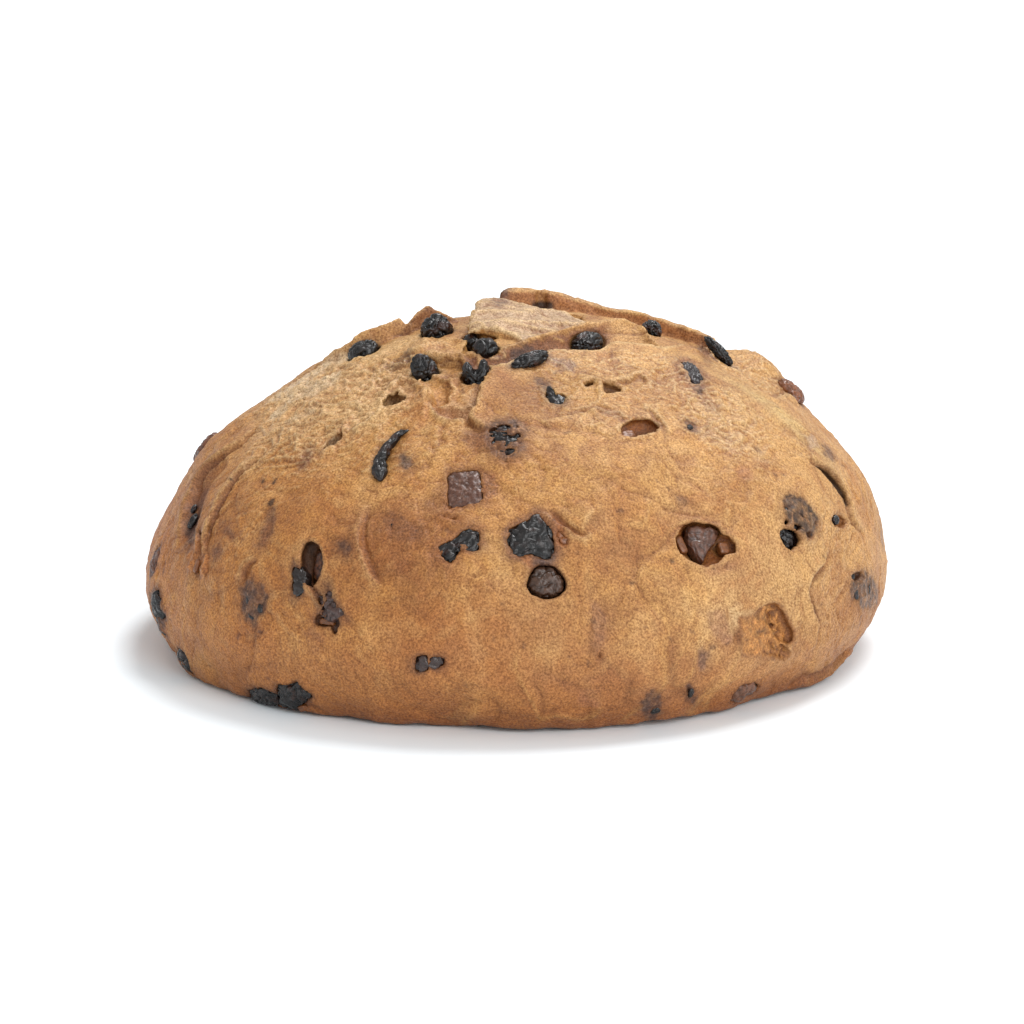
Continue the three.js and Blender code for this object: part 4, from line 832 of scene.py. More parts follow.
RELIEF = FILMS + [
    # the front rim of the cut stands proud of the dome, with a sharp edge behind
    Fold(RIM[:, :3] * [1, 1, 1], high=0.5, back=5.0, groove=0.2, front=0.4, ends=0.25, paint=0.0),
    # left side: two long laps, their loose ends and the hollow between them
    Fold(H([(256, 426), (243, 441), (225, 453), (209, 466), (198.5, 481), (190, 500), (183.5, 520), (181.5, 543)]), high=1.5, back=8.0, groove=1.6, gw=1.1, front=0.35),
    Crease(H([(226, 460), (210, 476), (200, 492), (193, 510), (189, 526), (188, 541)]), 2.7, 3.2, paint=0.4),
    Crease(H([(192, 508), (189.5, 520), (188, 531)]), 1.0, 1.5, paint=0.3),
    Fold(H([(262, 453), (251, 461), (240, 472), (230, 486), (221, 501), (213, 516), (208, 530), (204, 543), (203, 556)]), high=1.9, back=3.4, groove=1.1, gw=0.7, front=0.28),
    Fold(H([(198, 528), (200, 541), (197, 552), (190, 560)]), high=1.5, back=1.2, groove=0.9, gw=0.6, front=0.25), Fold(H([(205, 545), (206, 560), (204, 578)]), high=1.1, back=1.0, groove=0.6, gw=0.6, front=0.25),
    Bump(H((192, 564))[0], (1.6, 2.6), 1.3), Bump(H((187, 558))[0], (1.2, 1.6), 0.9), Bump(H((202, 568))[0], (1.0, 2.2), 0.9), Crease(H([(196, 556), (197, 566), (195, 577)]), 0.9, 0.9, paint=0.5),
    Fold(H([(256.7, 556.7), (248, 565), (243.5, 574), (241, 586)]), high=0.7, back=2.4, groove=0.9, gw=0.6), Crease(H([(300, 553), (296, 562), (297, 572)]), -0.4, 0.9, paint=0.0),
    Fold(H([(305, 582), (311, 589), (318, 597), (322, 606)]), high=1.3, back=1.4, groove=1.0, gw=0.6, front=0.25),
    # the lap that runs from the standing point down past the dark hole
    Fold(H([(424, 386), (412, 398.6), (389.8, 408.5), (375.5, 415.8), (361.7, 424.7), (345.6, 431.5)][::-1]), high=2.2, back=3.2, groove=1.2, gw=0.9),
    Fold(H([(345.6, 426.5), (336, 437), (327.4, 446.8), (318, 456)][::-1]), high=0.5, back=2.6, groove=0.3, gw=0.5), Bump(H((347, 424))[0], (1.3, 2.6), 1.0),
    # big front flap beside the window, and the crease that goes on to the covered raisin
    Fold(H([(483.8, 369.2), (482.4, 383.2), (479.6, 397.2), (474, 409.9), (470.5, 417.6), (476, 424), (486, 431)][::-1]), high=2.6, back=5.0, groove=1.4, gw=0.9),
    Fold(H([(434, 392), (429.8, 400), (433.3, 408.5), (436, 414), (441.7, 418.6), (450, 421.4), (462.8, 419), (470, 418.4)]), high=1.0, back=2.8, groove=0.3),
    Crease(H([(514, 422), (533.5, 425.4), (565.4, 429.4), (600, 433)]), 0.5, 1.0),
    Crease(H([(520, 417), (545, 420), (575, 421), (612, 427)]), -0.35, 0.9, paint=0.0),
    Fold(H([(540, 423), (562, 416), (590, 410), (604, 409), (626, 423)]), high=0.6, back=2.0, groove=0.4),
    Crease(H([(436, 455), (428, 462), (424, 473)]), 0.45, 0.7), Crease(H([(398, 478.9), (409, 472.5), (425, 466.9), (437.8, 462.9)]), 0.5, 0.7),
    Crease(H([(467, 458), (474, 453), (480, 451)]), 0.7, 0.8), Crease(H([(406, 498), (411, 490), (416, 486)]), 0.35, 0.9),
    # swirl round the diced peel
    Crease(H([(525, 452), (536, 459), (543, 470), (544, 480), (538, 490), (528, 498)]), 0.45, 1.1), Crease(H([(434, 470), (424, 486), (420, 505), (430, 520), (450, 526)]), 0.3, 1.6, paint=0.1),
    Crease(H([(500, 499), (508, 494), (512, 490)]), 0.5, 1.1),
    Crease(H([(408, 430.5), (400, 433), (392.5, 441), (386, 449.5), (381, 459), (379.5, 470), (380.5, 480)]), 1.3, 2.3, paint=0.55), Crease(H([(372, 482), (369, 466), (374, 450), (384, 437), (396, 427)]), -0.5, 1.6, paint=0.0),
    # left of the middle: the reddish swirl and the ring below the blotch
    Fold(H([(372.2, 503), (362, 520), (357.3, 541), (362.2, 554.2), (372.2, 572.5), (381, 588)]), high=1.2, back=3.6, groove=0.9, gw=0.9),
    Crease(H([(384, 500), (376, 520), (373, 545), (380, 566), (392, 580)]), 0.4, 1.2), Crease(H([(428, 545), (436, 562), (431, 575), (441, 583)]), 0.3, 1.0),
    # the wedge right of the star-shaped raisin
    Fold(H([(545, 513), (556, 519), (570, 530), (582, 537), (590, 531)]), high=1.5, back=2.4, groove=1.0), Fold(H([(597, 511), (590, 521), (585, 530)]), high=0.5, back=1.6, groove=0.4),
    Crease(H([(604, 507), (600, 520), (592, 533), (584, 537)]), 0.3, 0.9), Crease(H([(551, 506), (556, 514), (566, 522)]), 0.3, 0.7),
    # upright wrinkles low on the right of the middle
    Crease(H([(597, 606), (594, 622), (590, 640), (592, 655)]), 0.5, 1.1, paint=0.5), Crease(H([(606, 598), (603, 618), (598, 640)]), 0.45, 1.0, paint=0.5),
    Crease(H([(614, 602), (612, 622), (605, 640)]), 0.4, 0.9, paint=0.4), Crease(H([(620, 596), (618, 615), (616, 630)]), 0.25, 1.1, paint=0.2),
    Crease(H([(601, 655), (611, 668), (622, 676), (633, 681)]), 0.35, 1.1), Crease(H([(631, 677), (629, 692), (625.9, 709.4)]), 0.5, 1.5, paint=0.5),
    Crease(H([(679.8, 622), (672, 645), (672, 668), (673.2, 684), (679, 694), (690, 704)]), 0.7, 1.5, paint=0.6),
    Crease(H([(690, 560), (684, 575), (680, 590)]), 0.3, 0.9), Crease(H([(672, 598), (690, 606), (700, 618)]), 0.25, 1.4, paint=0.1),
    # right: the open slit lap, the spiral and the ring crease above
    Fold(H([(808, 459), (820, 466), (829, 472), (837.3, 480), (844, 491.6), (849, 504), (850.6, 515.8), (856, 525), (863.9, 534)][::-1]), high=1.2, back=5.5, groove=1.4, gw=0.7, front=0.25),
    Fold(H([(830.7, 548), (824, 566.3), (810, 577), (805.8, 592.9), (810.8, 607.8), (817.4, 619.4), (818.3, 632), (813, 650)]), high=1.5, back=2.6, groove=1.0),
    Crease(H([(752, 400), (758, 413), (752.8, 423), (735, 434.5), (722.9, 446), (724.6, 459.4)]), 0.5, 1.0, paint=0.4), Crease(H([(735, 466), (742, 478), (748, 490), (744, 505)]), 0.35, 0.9),
    Crease(H([(736, 512), (732, 524), (727, 534)]), 0.4, 0.9), Crease(H([(772, 412), (790, 430), (812, 448)]), 0.45, 0.8, paint=0.4), Crease(H([(741, 375), (748, 385), (757, 399)]), 0.3, 0.7),
    Crease(H([(780, 445), (800, 458), (822, 476)]), -0.3, 1.6, paint=0.0), Fold(H([(772, 396), (784, 394), (792, 400), (803, 412)]), high=0.9, back=2.4, groove=0.4),
    # the band where the second bulge at the lower right begins
    Fold(H([(786, 690), (800, 682), (820, 676), (842, 660), (856, 644)]), high=1.6, back=5.0, groove=1.2, gw=1.4),
    # low on the left
    Crease(H([(235.4, 678), (240, 672), (252, 669), (266, 669.5), (274, 675)]), 0.7, 1.0, paint=0.5), Fold(H([(300, 700), (312, 708), (326, 716)]), high=0.9, back=2.4, groove=0.4),
    Crease(H([(256, 560), (247, 572), (242, 585)]), 0.6, 0.9, paint=0.5), Crease(H([(276, 545), (280, 575), (284, 610)]), 0.3, 1.1), Crease(H([(269, 505), (268, 530), (262, 552)]), 0.35, 1.6, paint=0.3),
    Crease(H([(470, 690), (462, 684), (458, 690), (466, 700), (480, 703)]), 0.35, 0.9),
    # small wedge and tears high on the front
    Fold(H([(600, 388), (618, 384), (632, 379), (640, 375), (650, 384)][::-1]), high=1.0, back=2.6, groove=0.5), Fold(H([(575, 372), (590, 377), (600, 383), (604, 391)]), high=0.8, back=2.0, groove=0.5),
    Crease(H([(536, 356), (537, 366), (533, 374)]), 0.5, 0.6), Crease(H([(610, 352), (617, 362), (640, 368), (664, 372)]), 0.4, 0.9), Crease(H([(650, 384), (668, 377), (684, 381)]), 0.35, 0.8),
    Fold(H([(640, 405), (652, 413), (662, 424), (668, 436)][::-1]), high=0.9, back=3.0, groove=0.3), Crease(H([(598, 392), (606, 402), (622, 412), (640, 417)]), -0.4, 1.4, paint=0.0),
    # lumps
    Bump(H((468, 683))[0], (3.2, 3.4), 0.7), Bump(H((235, 685))[0], (2.4, 3.2), 0.8), Bump(H((252, 603))[0], (5.0, 7.0), 0.7), Bump(H((506, 441))[0], (6.0, 8.0), 0.8), Bump(H((331, 600))[0], (5.0, 6.0), 0.8),
    Bump(H((650, 707))[0], (4.0, 4.5), 0.6), Bump(H((700, 640))[0], (13.0, 12.0), 0.9), Bump(H((802, 520))[0], (6.0, 8.0), 0.8), Bump(H((862, 592))[0], (4.5, 6.0), 0.7), Bump(H((640, 455))[0], (14, 12), 0.7),
    Bump(H((345, 548))[0], (4, 4), 0.4), Bump(H((392, 540))[0], (10, 9), 0.7), Bump(H((590, 524))[0], (5, 5), 0.6), Bump(H((571, 660))[0], (16, 10), 0.6), Bump(H((737, 455))[0], (5, 6), 0.6),
    Bump(at_y(744, 352, 12), (6.5, 6.0), 2.2), Bump(at_y(766, 360, 10), (5.0, 6.0), 2.2), Bump(np.array([76.0, 2.0, 70.0]), (5, 5), 0.8), Bump(H((690, 372))[0], (6, 6), 0.7), Bump(H((718, 400))[0], (9, 8), 0.5), Bump(H((480, 620))[0], (15, 14), 0.5),
    Sunk([(410, 374), (423, 379), (430, 390), (434, 402), (446, 399), (448, 384), (438, 374), (424, 370)], 1.7, wall=0.7, rough=0.15, lip=0.1), Sunk([(398, 380), (410, 378), (418, 386), (412, 396), (402, 392)], 1.2, wall=0.7, rough=0.15, lip=0.1),
    # torn patch and its pale flap
    Sunk(CRUMB, 2.0, wall=0.45, rough=1.15, fade=(0.9, 0.35), lip=0.25), Sunk([(766, 610), (774, 606), (781, 612), (785, 622), (790, 632), (789, 642), (782, 640), (776, 628)], 1.4, wall=0.8, rough=0.5, lip=0.0),
    Fold(H([(756, 616), (749, 618.5), (741, 620), (741.5, 631), (738, 648)][::-1]), high=0.8, back=1.6, groove=0.3, front=0.25), Fold(H([(725, 613), (731, 622), (733, 634), (736, 646)]), high=0.5, back=1.6, groove=0.5, front=0.25),
    Bump(H((738, 606))[0], (2.0, 1.2), 0.6), Crease(H([(732, 609), (735, 603), (742, 603.5), (744, 608)]), 0.35, 0.5),
    Sunk([(714.6, 568), (727, 562.5), (734.5, 563), (732, 567), (722, 571)], 0.4, rough=0.1, lip=0.1),
    # the wrinkled floor of the left of the cut, under the ledge, and the window below it
    Sunk([(427.7, 358), (466, 359), (466, 369), (452, 374), (440, 382), (433, 372)], 2.6, wall=1.0, rough=0.2, lip=0.0, fade=(0.0, 1.0)),
    Sunk([(429.8, 400), (433.3, 408.5), (436, 414), (445, 419), (455, 420.4), (464, 418), (470.5, 416.6), (474, 409.9), (477.5, 397.2), (482, 378), (465, 372), (447, 378), (432, 388)], 2.6, wall=0.5, rough=0.12, lip=0.1, fade=(0, -1.0)),
    # round the back and the sides
    Fold([on_dome(140, 68), on_dome(152, 58), on_dome(153, 47), on_dome(161, 38), on_dome(159, 24)], high=1.2, back=4.6, groove=0.6, gw=1.0, front=0.7), Fold([on_dome(-136, 70), on_dome(-147, 65), on_dome(-153, 56), on_dome(-166, 53), on_dome(-178, 57)], high=1.0, back=4.0, groove=0.5, front=0.6),
    Fold([on_dome(96, 26), on_dome(108, 35), on_dome(117, 35), on_dome(128, 39), on_dome(138, 31)], high=0.8, back=3.4, groove=0.5, front=0.6), Crease([on_dome(170, 72), on_dome(178, 64), on_dome(-176, 54), on_dome(-175, 44)], 0.5, 1.2, paint=0.4),
    Crease([on_dome(-120, 30), on_dome(-126, 40), on_dome(-122, 50), on_dome(-112, 56)], 0.6, 1.2, paint=0.4), Crease([on_dome(-160, 14), on_dome(-152, 24), on_dome(-148, 34)], 0.5, 1.3, paint=0.4), Crease([on_dome(128, 66), on_dome(120, 62), on_dome(112, 63)], 0.5, 1.0, paint=0.3),
    Fold([on_dome(-96, 18), on_dome(-102, 30), on_dome(-112, 33), on_dome(-119, 38)], high=0.7, back=3.2, groove=0.4, front=0.6), Crease([on_dome(176, 14), on_dome(168, 22), on_dome(166, 32)], 0.5, 1.1, paint=0.3),
    Bump(on_dome(172, 48), (12, 11), 0.8), Bump(on_dome(-130, 58), (11, 10), 0.8), Bump(on_dome(116, 20), (12, 9), 0.8), Bump(on_dome(-154, 40), (10, 10), 0.7), Bump(on_dome(142, 18), (10, 8), 0.7),
]

PITS = [
    Pit(outline=[(432, 404), (440, 406), (449, 403.5), (458, 407), (468, 404), (475, 405), (473, 411), (468, 417), (457, 420), (444, 418.5), (436, 412)], deep=3.4, under=0.8, ragged=0.3, seed=50, tint="window", lip=0.5, lean=(0, 0.25)),
    Pit(outline=[(383.5, 400.5), (387, 393.5), (394, 391.5), (401, 393.5), (409, 399), (405, 404), (398.2, 408), (390.2, 410), (384.5, 406)], deep=5.0, under=0.8, ragged=0.15, tint="dark", seed=2, lip=0.5),
    Pit(outline=[(322.5, 449), (327.5, 441), (334, 435.5), (343, 428), (340, 437), (335, 442), (329, 447)], deep=3.4, under=0.5, ragged=0.1, seed=3),
    Pit(outline=[(394, 385.2), (402, 384.4), (410.8, 387), (403, 390)], deep=1.6, under=0.4, ragged=0.1, seed=4, tint="tan"),
    Pit(outline=[(583, 382.5), (588, 380.3), (595.5, 381.5), (592, 385), (586, 386.3)], deep=3.0, ragged=0.1, seed=6, tint="brown"),
    Pit(outline=[(602, 381), (611, 382.5), (623.5, 388), (617, 391.5), (605, 392), (601, 387)], deep=2.6, under=0.8, ragged=0.2, seed=7, tint="brown"), Pit(outline=[(428.5, 449), (431, 445), (435, 446), (434, 451.6)], deep=1.4, seed=8, tint="tan"),
    Pit(outline=[(619.5, 430), (625, 424), (637, 419.5), (648, 418.5), (660, 426.5), (655, 430.5), (645, 433), (634, 437), (624, 436.5)], deep=4.2, under=0.9, ragged=0.1, seed=9, tint="amber", lip=0.4),
    Pit(outline=[(676.5, 539.8), (679.8, 531.5), (687, 524), (698, 522.4), (709.7, 524.9), (718.8, 527.4), (721.3, 534), (729.6, 536.5), (735.4, 543), (735.5, 551.4), (724.9, 553), (719, 561.7), (706.3, 565.8), (694.7, 563.2), (686, 557.4), (679.0, 548.8)], deep=5.0, under=0.9, ragged=0.2, lip=0.5, seed=10, tint="amber"),
    Pit(outline=[(780.7, 531), (785, 528), (791, 529.5), (797, 533), (800.5, 539.4), (797, 546.4), (791.4, 551), (784, 546), (780.7, 538)], deep=3.8, under=0.6, ragged=0.25, seed=11), Pit(outline=[(783, 519.5), (788, 518.8), (789.5, 523), (787, 526), (783, 525.5)], deep=2.0, ragged=0.1, seed=12),
    Pit(outline=[(791, 525), (795, 522.3), (801, 524.5), (801.5, 529.5), (796.5, 531.5), (792, 529.5)], deep=2.4, ragged=0.1, seed=13), Pit(outline=[(802.5, 531.5), (806.5, 532), (811, 536), (810, 538.5), (804.5, 536)], deep=1.8, under=0.2, ragged=0.1, seed=58), Pit(outline=[(796, 511), (802, 515), (807, 521.5), (804, 522), (799, 517)], deep=1.4, under=0.2, ragged=0.1, seed=59),
    Pit(H((808.3, 534.8))[0], (1.2, 0.9), 1.4, 20, seed=14), Pit(H((786.5, 507.5))[0], (1.3, 0.7), 1.2, seed=15), Pit(H((816, 523))[0], (0.8, 0.8), 1.2, seed=16),
    Pit(outline=[(819.5, 465.5), (829, 471), (838, 480), (845, 491.6), (847.5, 501), (841, 494), (833, 484), (824, 474)], deep=3.8, under=0.5, ragged=0.1, seed=17, lip=0.0),
    Pit(outline=[(831, 520.5), (834.5, 514.4), (842.3, 514.6), (848, 521), (845, 527.5), (836, 526)], deep=3.0, under=0.5, ragged=0.15, seed=18, tint="tan"), Pit(outline=[(850.8, 577), (856, 572), (862, 570.8), (862.6, 576.3), (856, 581.6)], deep=2.6, seed=19),
    Pit(outline=[(811, 609.5), (814.5, 609.5), (818, 617), (819, 624), (815, 616)], deep=1.6, under=0.2, ragged=0.1, seed=20),
    Pit(outline=[(526.4, 585), (530.5, 571), (541.5, 563.2), (555.3, 566.4), (565.4, 578.8), (565.6, 589.2), (556, 597.2), (541.5, 598.4), (530.6, 593.8)], deep=2.2, under=0.2, ragged=0.06, lip=0.3, seed=21),
    Pit(outline=[(300.5, 551), (303.5, 544), (309.5, 541.5), (316.7, 544), (320.5, 552), (322.5, 564), (321, 575), (314, 584.5), (306, 583.5), (302, 576), (300.8, 565)], deep=6.0, under=0.5, ragged=0.1, lip=0.3, seed=22, tint="arch"),
    Pit(outline=[(312.5, 620), (317, 616), (323, 617), (331, 620), (339, 620.5), (340, 625), (337.5, 628), (337, 633), (332, 634.5), (330, 630), (331, 626.5), (320, 626), (315, 624)], deep=3.0, under=0.5, ragged=0.1, seed=23, tint="brown"),
    Pit(H((189.8, 535))[0], (0.9, 1.3), 1.5, seed=24), Pit(H((452, 518))[0], (1.9, 0.6), 1.2, -8, seed=25), Pit(H((444, 516))[0], (0.9, 0.5), 1.0, seed=26), Pit(H((599.2, 656))[0], (0.8, 1.2), 1.2, seed=27, tint="tan"), Pit(H((506, 462))[0], (1.0, 0.6), 1.0, 20, seed=28),
    Pit(outline=[(777, 605), (784, 611.5), (787.5, 620), (793.5, 630), (794, 642), (789.5, 638), (785, 627), (779, 615)], deep=3.2, under=0.8, ragged=0.2, lip=0.1, seed=29, tint="tan"), Pit(outline=[(686.8, 685.7), (691.4, 688), (694.4, 702.3), (689.8, 700)], deep=1.8, under=0.3, seed=30),
    Pit(outline=[(296, 706), (302, 704.6), (312, 703.6), (306, 708)], deep=2.0, seed=31), Pit(H((758, 449))[0], (0.5, 0.5), 0.9, seed=32), Pit(H((765, 465))[0], (1.0, 0.6), 1.0, seed=33, tint="tan"),
    Pit(at_y(541.5, 299.5, 19.6), (1.9, 1.6), 2.6, seed=34), Pit(at_y(454, 300, 20) * [1, 1, 1], (0.6, 0.5), 0.8, seed=35),
    # round the back and the sides
    Pit(landed((-24.0, 90.0, 38.0)), (4.9, 3.8), 3.6, seed=40, tint="amber", lip=0.4), Pit(landed((66.0, 48.0, 60.0)), (3.9, 3.0), 3.2, 20, seed=41, lip=0.4), Pit(landed((-88.0, 34.0, 38.0)), (3.6, 4.2), 3.4, seed=42, tint="amber", lip=0.4),
    Pit(on_dome(128, 30), (2.4, 1.4), 2.2, 30, seed=43), Pit(on_dome(-165, 22), (2.8, 1.2), 2.0, -20, seed=44), Pit(on_dome(175, 62), (1.2, 0.9), 1.4, seed=45), Pit(on_dome(-112, 18), (1.4, 2.0), 1.8, seed=46), Pit(on_dome(150, 42), (0.9, 0.7), 1.2, seed=47), Pit(on_dome(98, 54), (0.8, 0.6), 1.0, seed=48),
]

ALL = RELIEF + CUT + PITS + FRUIT

# the plain skin's field on a coarse grid, read between its points
TAB_STEP = 3.0
TAB_LO = np.array([-117.0, -115.0, -9.0])
TAB_N = (79, 78, 40)
_T = TAB_LO + TAB_STEP * np.stack(np.meshgrid(*[np.arange(k) for k in TAB_N], indexing="ij"), -1).reshape(-1, 3)
TABLE = (skin_d(_T) - 0.45 * noise(_T, 21.0, 61) * np.clip(_T[:, 2] / 6, 0, 1)).astype(np.float32).reshape(-1)


def plain(P):
    Q = (P - TAB_LO) / TAB_STEP
    I = np.clip(np.floor(Q).astype(np.int64), 0, np.array(TAB_N) - 2)
    f = (Q - I).astype(np.float32)
    at = (I[:, 0] * TAB_N[1] + I[:, 1]) * TAB_N[2] + I[:, 2]
    sx, sy = TAB_N[1] * TAB_N[2], TAB_N[2]
    fx, fy, fz = f.T
    a = TABLE[at] * (1 - fz) + TABLE[at + 1] * fz
    b = TABLE[at + sy] * (1 - fz) + TABLE[at + sy + 1] * fz
    c = TABLE[at + sx] * (1 - fz) + TABLE[at + sx + 1] * fz
    e = TABLE[at + sx + sy] * (1 - fz) + TABLE[at + sx + sy + 1] * fz
    return ((a * (1 - fy) + b * fy) * (1 - fx) + (c * (1 - fy) + e * fy) * fx).astype(float)


def dough(P, feats):
    """The dough's field at these points, with the features that can reach them."""
    d = plain(P)
    foot = P[:, 2] < 14
    if foot.any():
        G = P[foot]
        d[foot] -= smooth(14, 3, G[:, 2]) * (0.9 * noise(G, 12.0, 67) + 0.55 * noise(G, 6.0, 68) + 0.25 * noise(G, 3.0, 69))
    for f in feats:
        if hasattr(f, "relief"):
            i = f.pick(P)
            if len(i):
                d[i] -= f.relief(P[i])
    for kind in ("join", "cut"):
        for f in feats:
            if f.kind == kind:
                i = f.pick(P)
                if len(i):
                    d[i] = f.join(P[i], d[i]) if kind == "join" else f.cut(P[i], d[i])
    rim = smooth(76, 90, np.hypot(P[:, 0], P[:, 1]))
    F2 = P * [1, 1, 0.0]
    z = P[:, 2] - rim * (0.9 * np.maximum(0, noise(F2, 19.0, 64)) + 0.8 * np.maximum(0, noise(F2, 8.5, 65)) + 0.35 * np.maximum(0, noise(F2, 4.0, 66)))
    return smax(d, -z, 1.2)


def evaluate(points, cell=18.0):
    """The field at many points, worked out cell by cell so that each feature costs only where it lies."""
    out = np.empty(len(points), np.float32)
    key = np.floor(points / cell).astype(np.int64) + 64
    key = (key[:, 0] * 256 + key[:, 1]) * 256 + key[:, 2]
    order = np.argsort(key, kind="stable")
    cuts = np.nonzero(np.diff(key[order]))[0] + 1

    def one(idx):
        P = points[idx].astype(float)
        lo, hi = P.min(0) - 0.01, P.max(0) + 0.01
        out[idx] = dough(P, [f for f in ALL if f.near(lo, hi)])

    with ThreadPoolExecutor(4) as pool:
        list(pool.map(one, np.split(order, cuts)))
    return out


def dough_mesh():
    """Vertices and quads of the dough's skin."""
    h, B = VOXEL, 4
    lo = np.array([-109.0, -107.0, -3.2])
    n = np.ceil((np.array([110.0, 107.0, 101.0]) - lo) / (h * B)).astype(int)
    C = np.stack(np.meshgrid(*[np.arange(k) for k in n], indexing="ij"), -1).reshape(-1, 3)
    centers = lo + (C + 0.5) * h * B
    rough = smax(plain(centers), -centers[:, 2], 1.0)
    near = np.abs(rough) < 9.5
    sign = np.where(rough < 0, -1.0, 1.0).astype(np.float32)
    d = evaluate(centers[near])
    sign[near] = np.where(d < 0, -1, 1)
    reach_ = h * B * 0.87 + 0.9
    keep = np.nonzero(near)[0][np.abs(d) < reach_ * 1.25]
    grid = np.repeat(np.repeat(np.repeat(sign.reshape(n), B, 0), B, 1), B, 2) * np.float32(3)
    off = np.stack(np.meshgrid(*[np.arange(B)] * 3, indexing="ij"), -1).reshape(-1, 3)
    I = (C[keep][:, None, :] * B + off[None]).reshape(-1, 3)
    vals = evaluate((lo + (I + 0.5) * h).astype(np.float32))
    grid[I[:, 0], I[:, 1], I[:, 2]] = np.clip(vals, -3, 3)
    print("field points", len(I), "at", round(time.time() - T0, 1), "s")
    g = openvdb.FloatGrid(3.0)
    g.copyFromArray(grid)
    pts, tris, quads = g.convertToPolygons(isovalue=0.0, adaptivity=0.0)
    pts = lo + (pts + 0.5) * h
    return pts.astype(float), quads, tris


def make_mesh(name, verts, quads=None, tris=None, smooth_=True):
    me = bpy.data.meshes.new(name)
    faces = [a for a in (quads, tris) if a is not None and len(a)]
    loops = np.concatenate([a.reshape(-1) for a in faces]).astype(np.int32)
    sizes = np.concatenate([np.full(len(a), a.shape[1]) for a in faces])
    starts = np.concatenate([[0], np.cumsum(sizes)[:-1]]).astype(np.int32)
    me.vertices.add(len(verts))
    me.vertices.foreach_set("co", (verts * 0.001).astype(np.float32).ravel())
    me.loops.add(len(loops))
    me.loops.foreach_set("vertex_index", loops)
    me.polygons.add(len(sizes))
    me.polygons.foreach_set("loop_start", starts)
    me.update(calc_edges=True)
    me.validate()
    me.polygons.foreach_set("use_smooth", np.full(len(me.polygons), smooth_))
    return me


def drop_islands(verts, quads):
    """Keeps the largest connected skin only, so that no stray crumb floats."""
    e = np.concatenate([quads[:, [0, 1]], quads[:, [1, 2]], quads[:, [2, 3]], quads[:, [3, 0]]])
    label = np.arange(len(verts))
    while True:
        m = np.minimum(label[e[:, 0]], label[e[:, 1]])
        new = label.copy()
        np.minimum.at(new, e[:, 0], m)
        np.minimum.at(new, e[:, 1], m)
        new = new[new]
        new = new[new]
        if (new == label).all():
            break
        label = new
    ids, count = np.unique(label, return_counts=True)
    main = ids[count.argmax()]
    keep = label == main
    remap = np.cumsum(keep) - 1
    q = quads[keep[quads].all(1)]
    return verts[keep], remap[q]


V, Q, TR = dough_mesh()
print("skin", len(V), "vertices", len(Q), "quads", len(TR), "triangles at", round(time.time() - T0, 1), "s")
V, Q = drop_islands(V, Q)
# faces point out
a, b, c = V[Q[:, 0]], V[Q[:, 1]], V[Q[:, 2]]
if (a * np.cross(b, c)).sum() < 0:
    Q = Q[:, ::-1]
print("kept", len(V), "vertices at", round(time.time() - T0, 1), "s")


def vertex_normals(V, Q):
    n = np.cross(V[Q[:, 2]] - V[Q[:, 0]], V[Q[:, 3]] - V[Q[:, 1]])
    out = np.zeros_like(V)
    for k in range(4):
        for j in range(3):
            out[:, j] += np.bincount(Q[:, k], n[:, j], len(V))
    return out / np.maximum(np.linalg.norm(out, axis=1, keepdims=True), 1e-9)


def neighbours(Q):
    e = np.concatenate([Q[:, [0, 1]], Q[:, [1, 2]], Q[:, [2, 3]], Q[:, [3, 0]]])
    return e, np.maximum(np.bincount(e.ravel(), minlength=len(V)), 1)


def relax(F, E, deg, times=1):
    for _ in range(times):
        cols = []
        for j in range(F.shape[1]):
            s = np.bincount(E[:, 0], F[E[:, 1], j], len(F)) + np.bincount(E[:, 1], F[E[:, 0], j], len(F))
            cols.append(s / deg)
        F = 0.5 * F + 0.5 * np.stack(cols, 1)
    return F


E, DEG = neighbours(Q)
V = relax(V, E, DEG, 1)
N = vertex_normals(V, Q)
print("normals at", round(time.time() - T0, 1), "s")


# ------------------------------------------------- fine wrinkles, point by point
def oval(px, size_px, seed=0, ragged=0.25, feather=0.35, roll=0.0):
    """The centre, frame and half sizes on the crust of a soft-edged oval that is seen at px; size in the photograph's
    pixels.
    """
    c = hit([px])[0]
    F = frame_at(c, roll)
    n = F[2]
    tilt = max(0.35, float(n @ CAM_BACK))
    # an oval on the crust is foreshortened along the direction that leans away
    a = size_px[0] * PX / max(0.4, math.sqrt(max(0.0, 1 - (n @ np.array([1.0, 0, 0])) ** 2)))
    b = size_px[1] * PX / max(0.4, math.sqrt(max(0.0, 1 - (n @ CAM_UP) ** 2)))
    return c, F, a, b


def in_oval(P, c, F, a, b, seed=0, ragged=0.25, feather=0.35, deep=6.0):
    L = (P - c) @ F.T
    k = np.sqrt((L[:, 0] / a) ** 2 + (L[:, 1] / b) ** 2) + ragged * fbm(P, 0.9 * min(a, b) + 1.2, 2, seed)
    return smooth(1 + feather, 1 - feather, k) * (np.abs(L[:, 2]) < deep)


def near(P, c, r):
    return np.nonzero(((P > c - r) & (P < c + r)).all(1))[0]


def smooth_skin():
    """How far the dough's skin is plain crust, not a cut face, the lid or a pocket."""
    return smooth(-2.2, -0.7, skin_d(V))


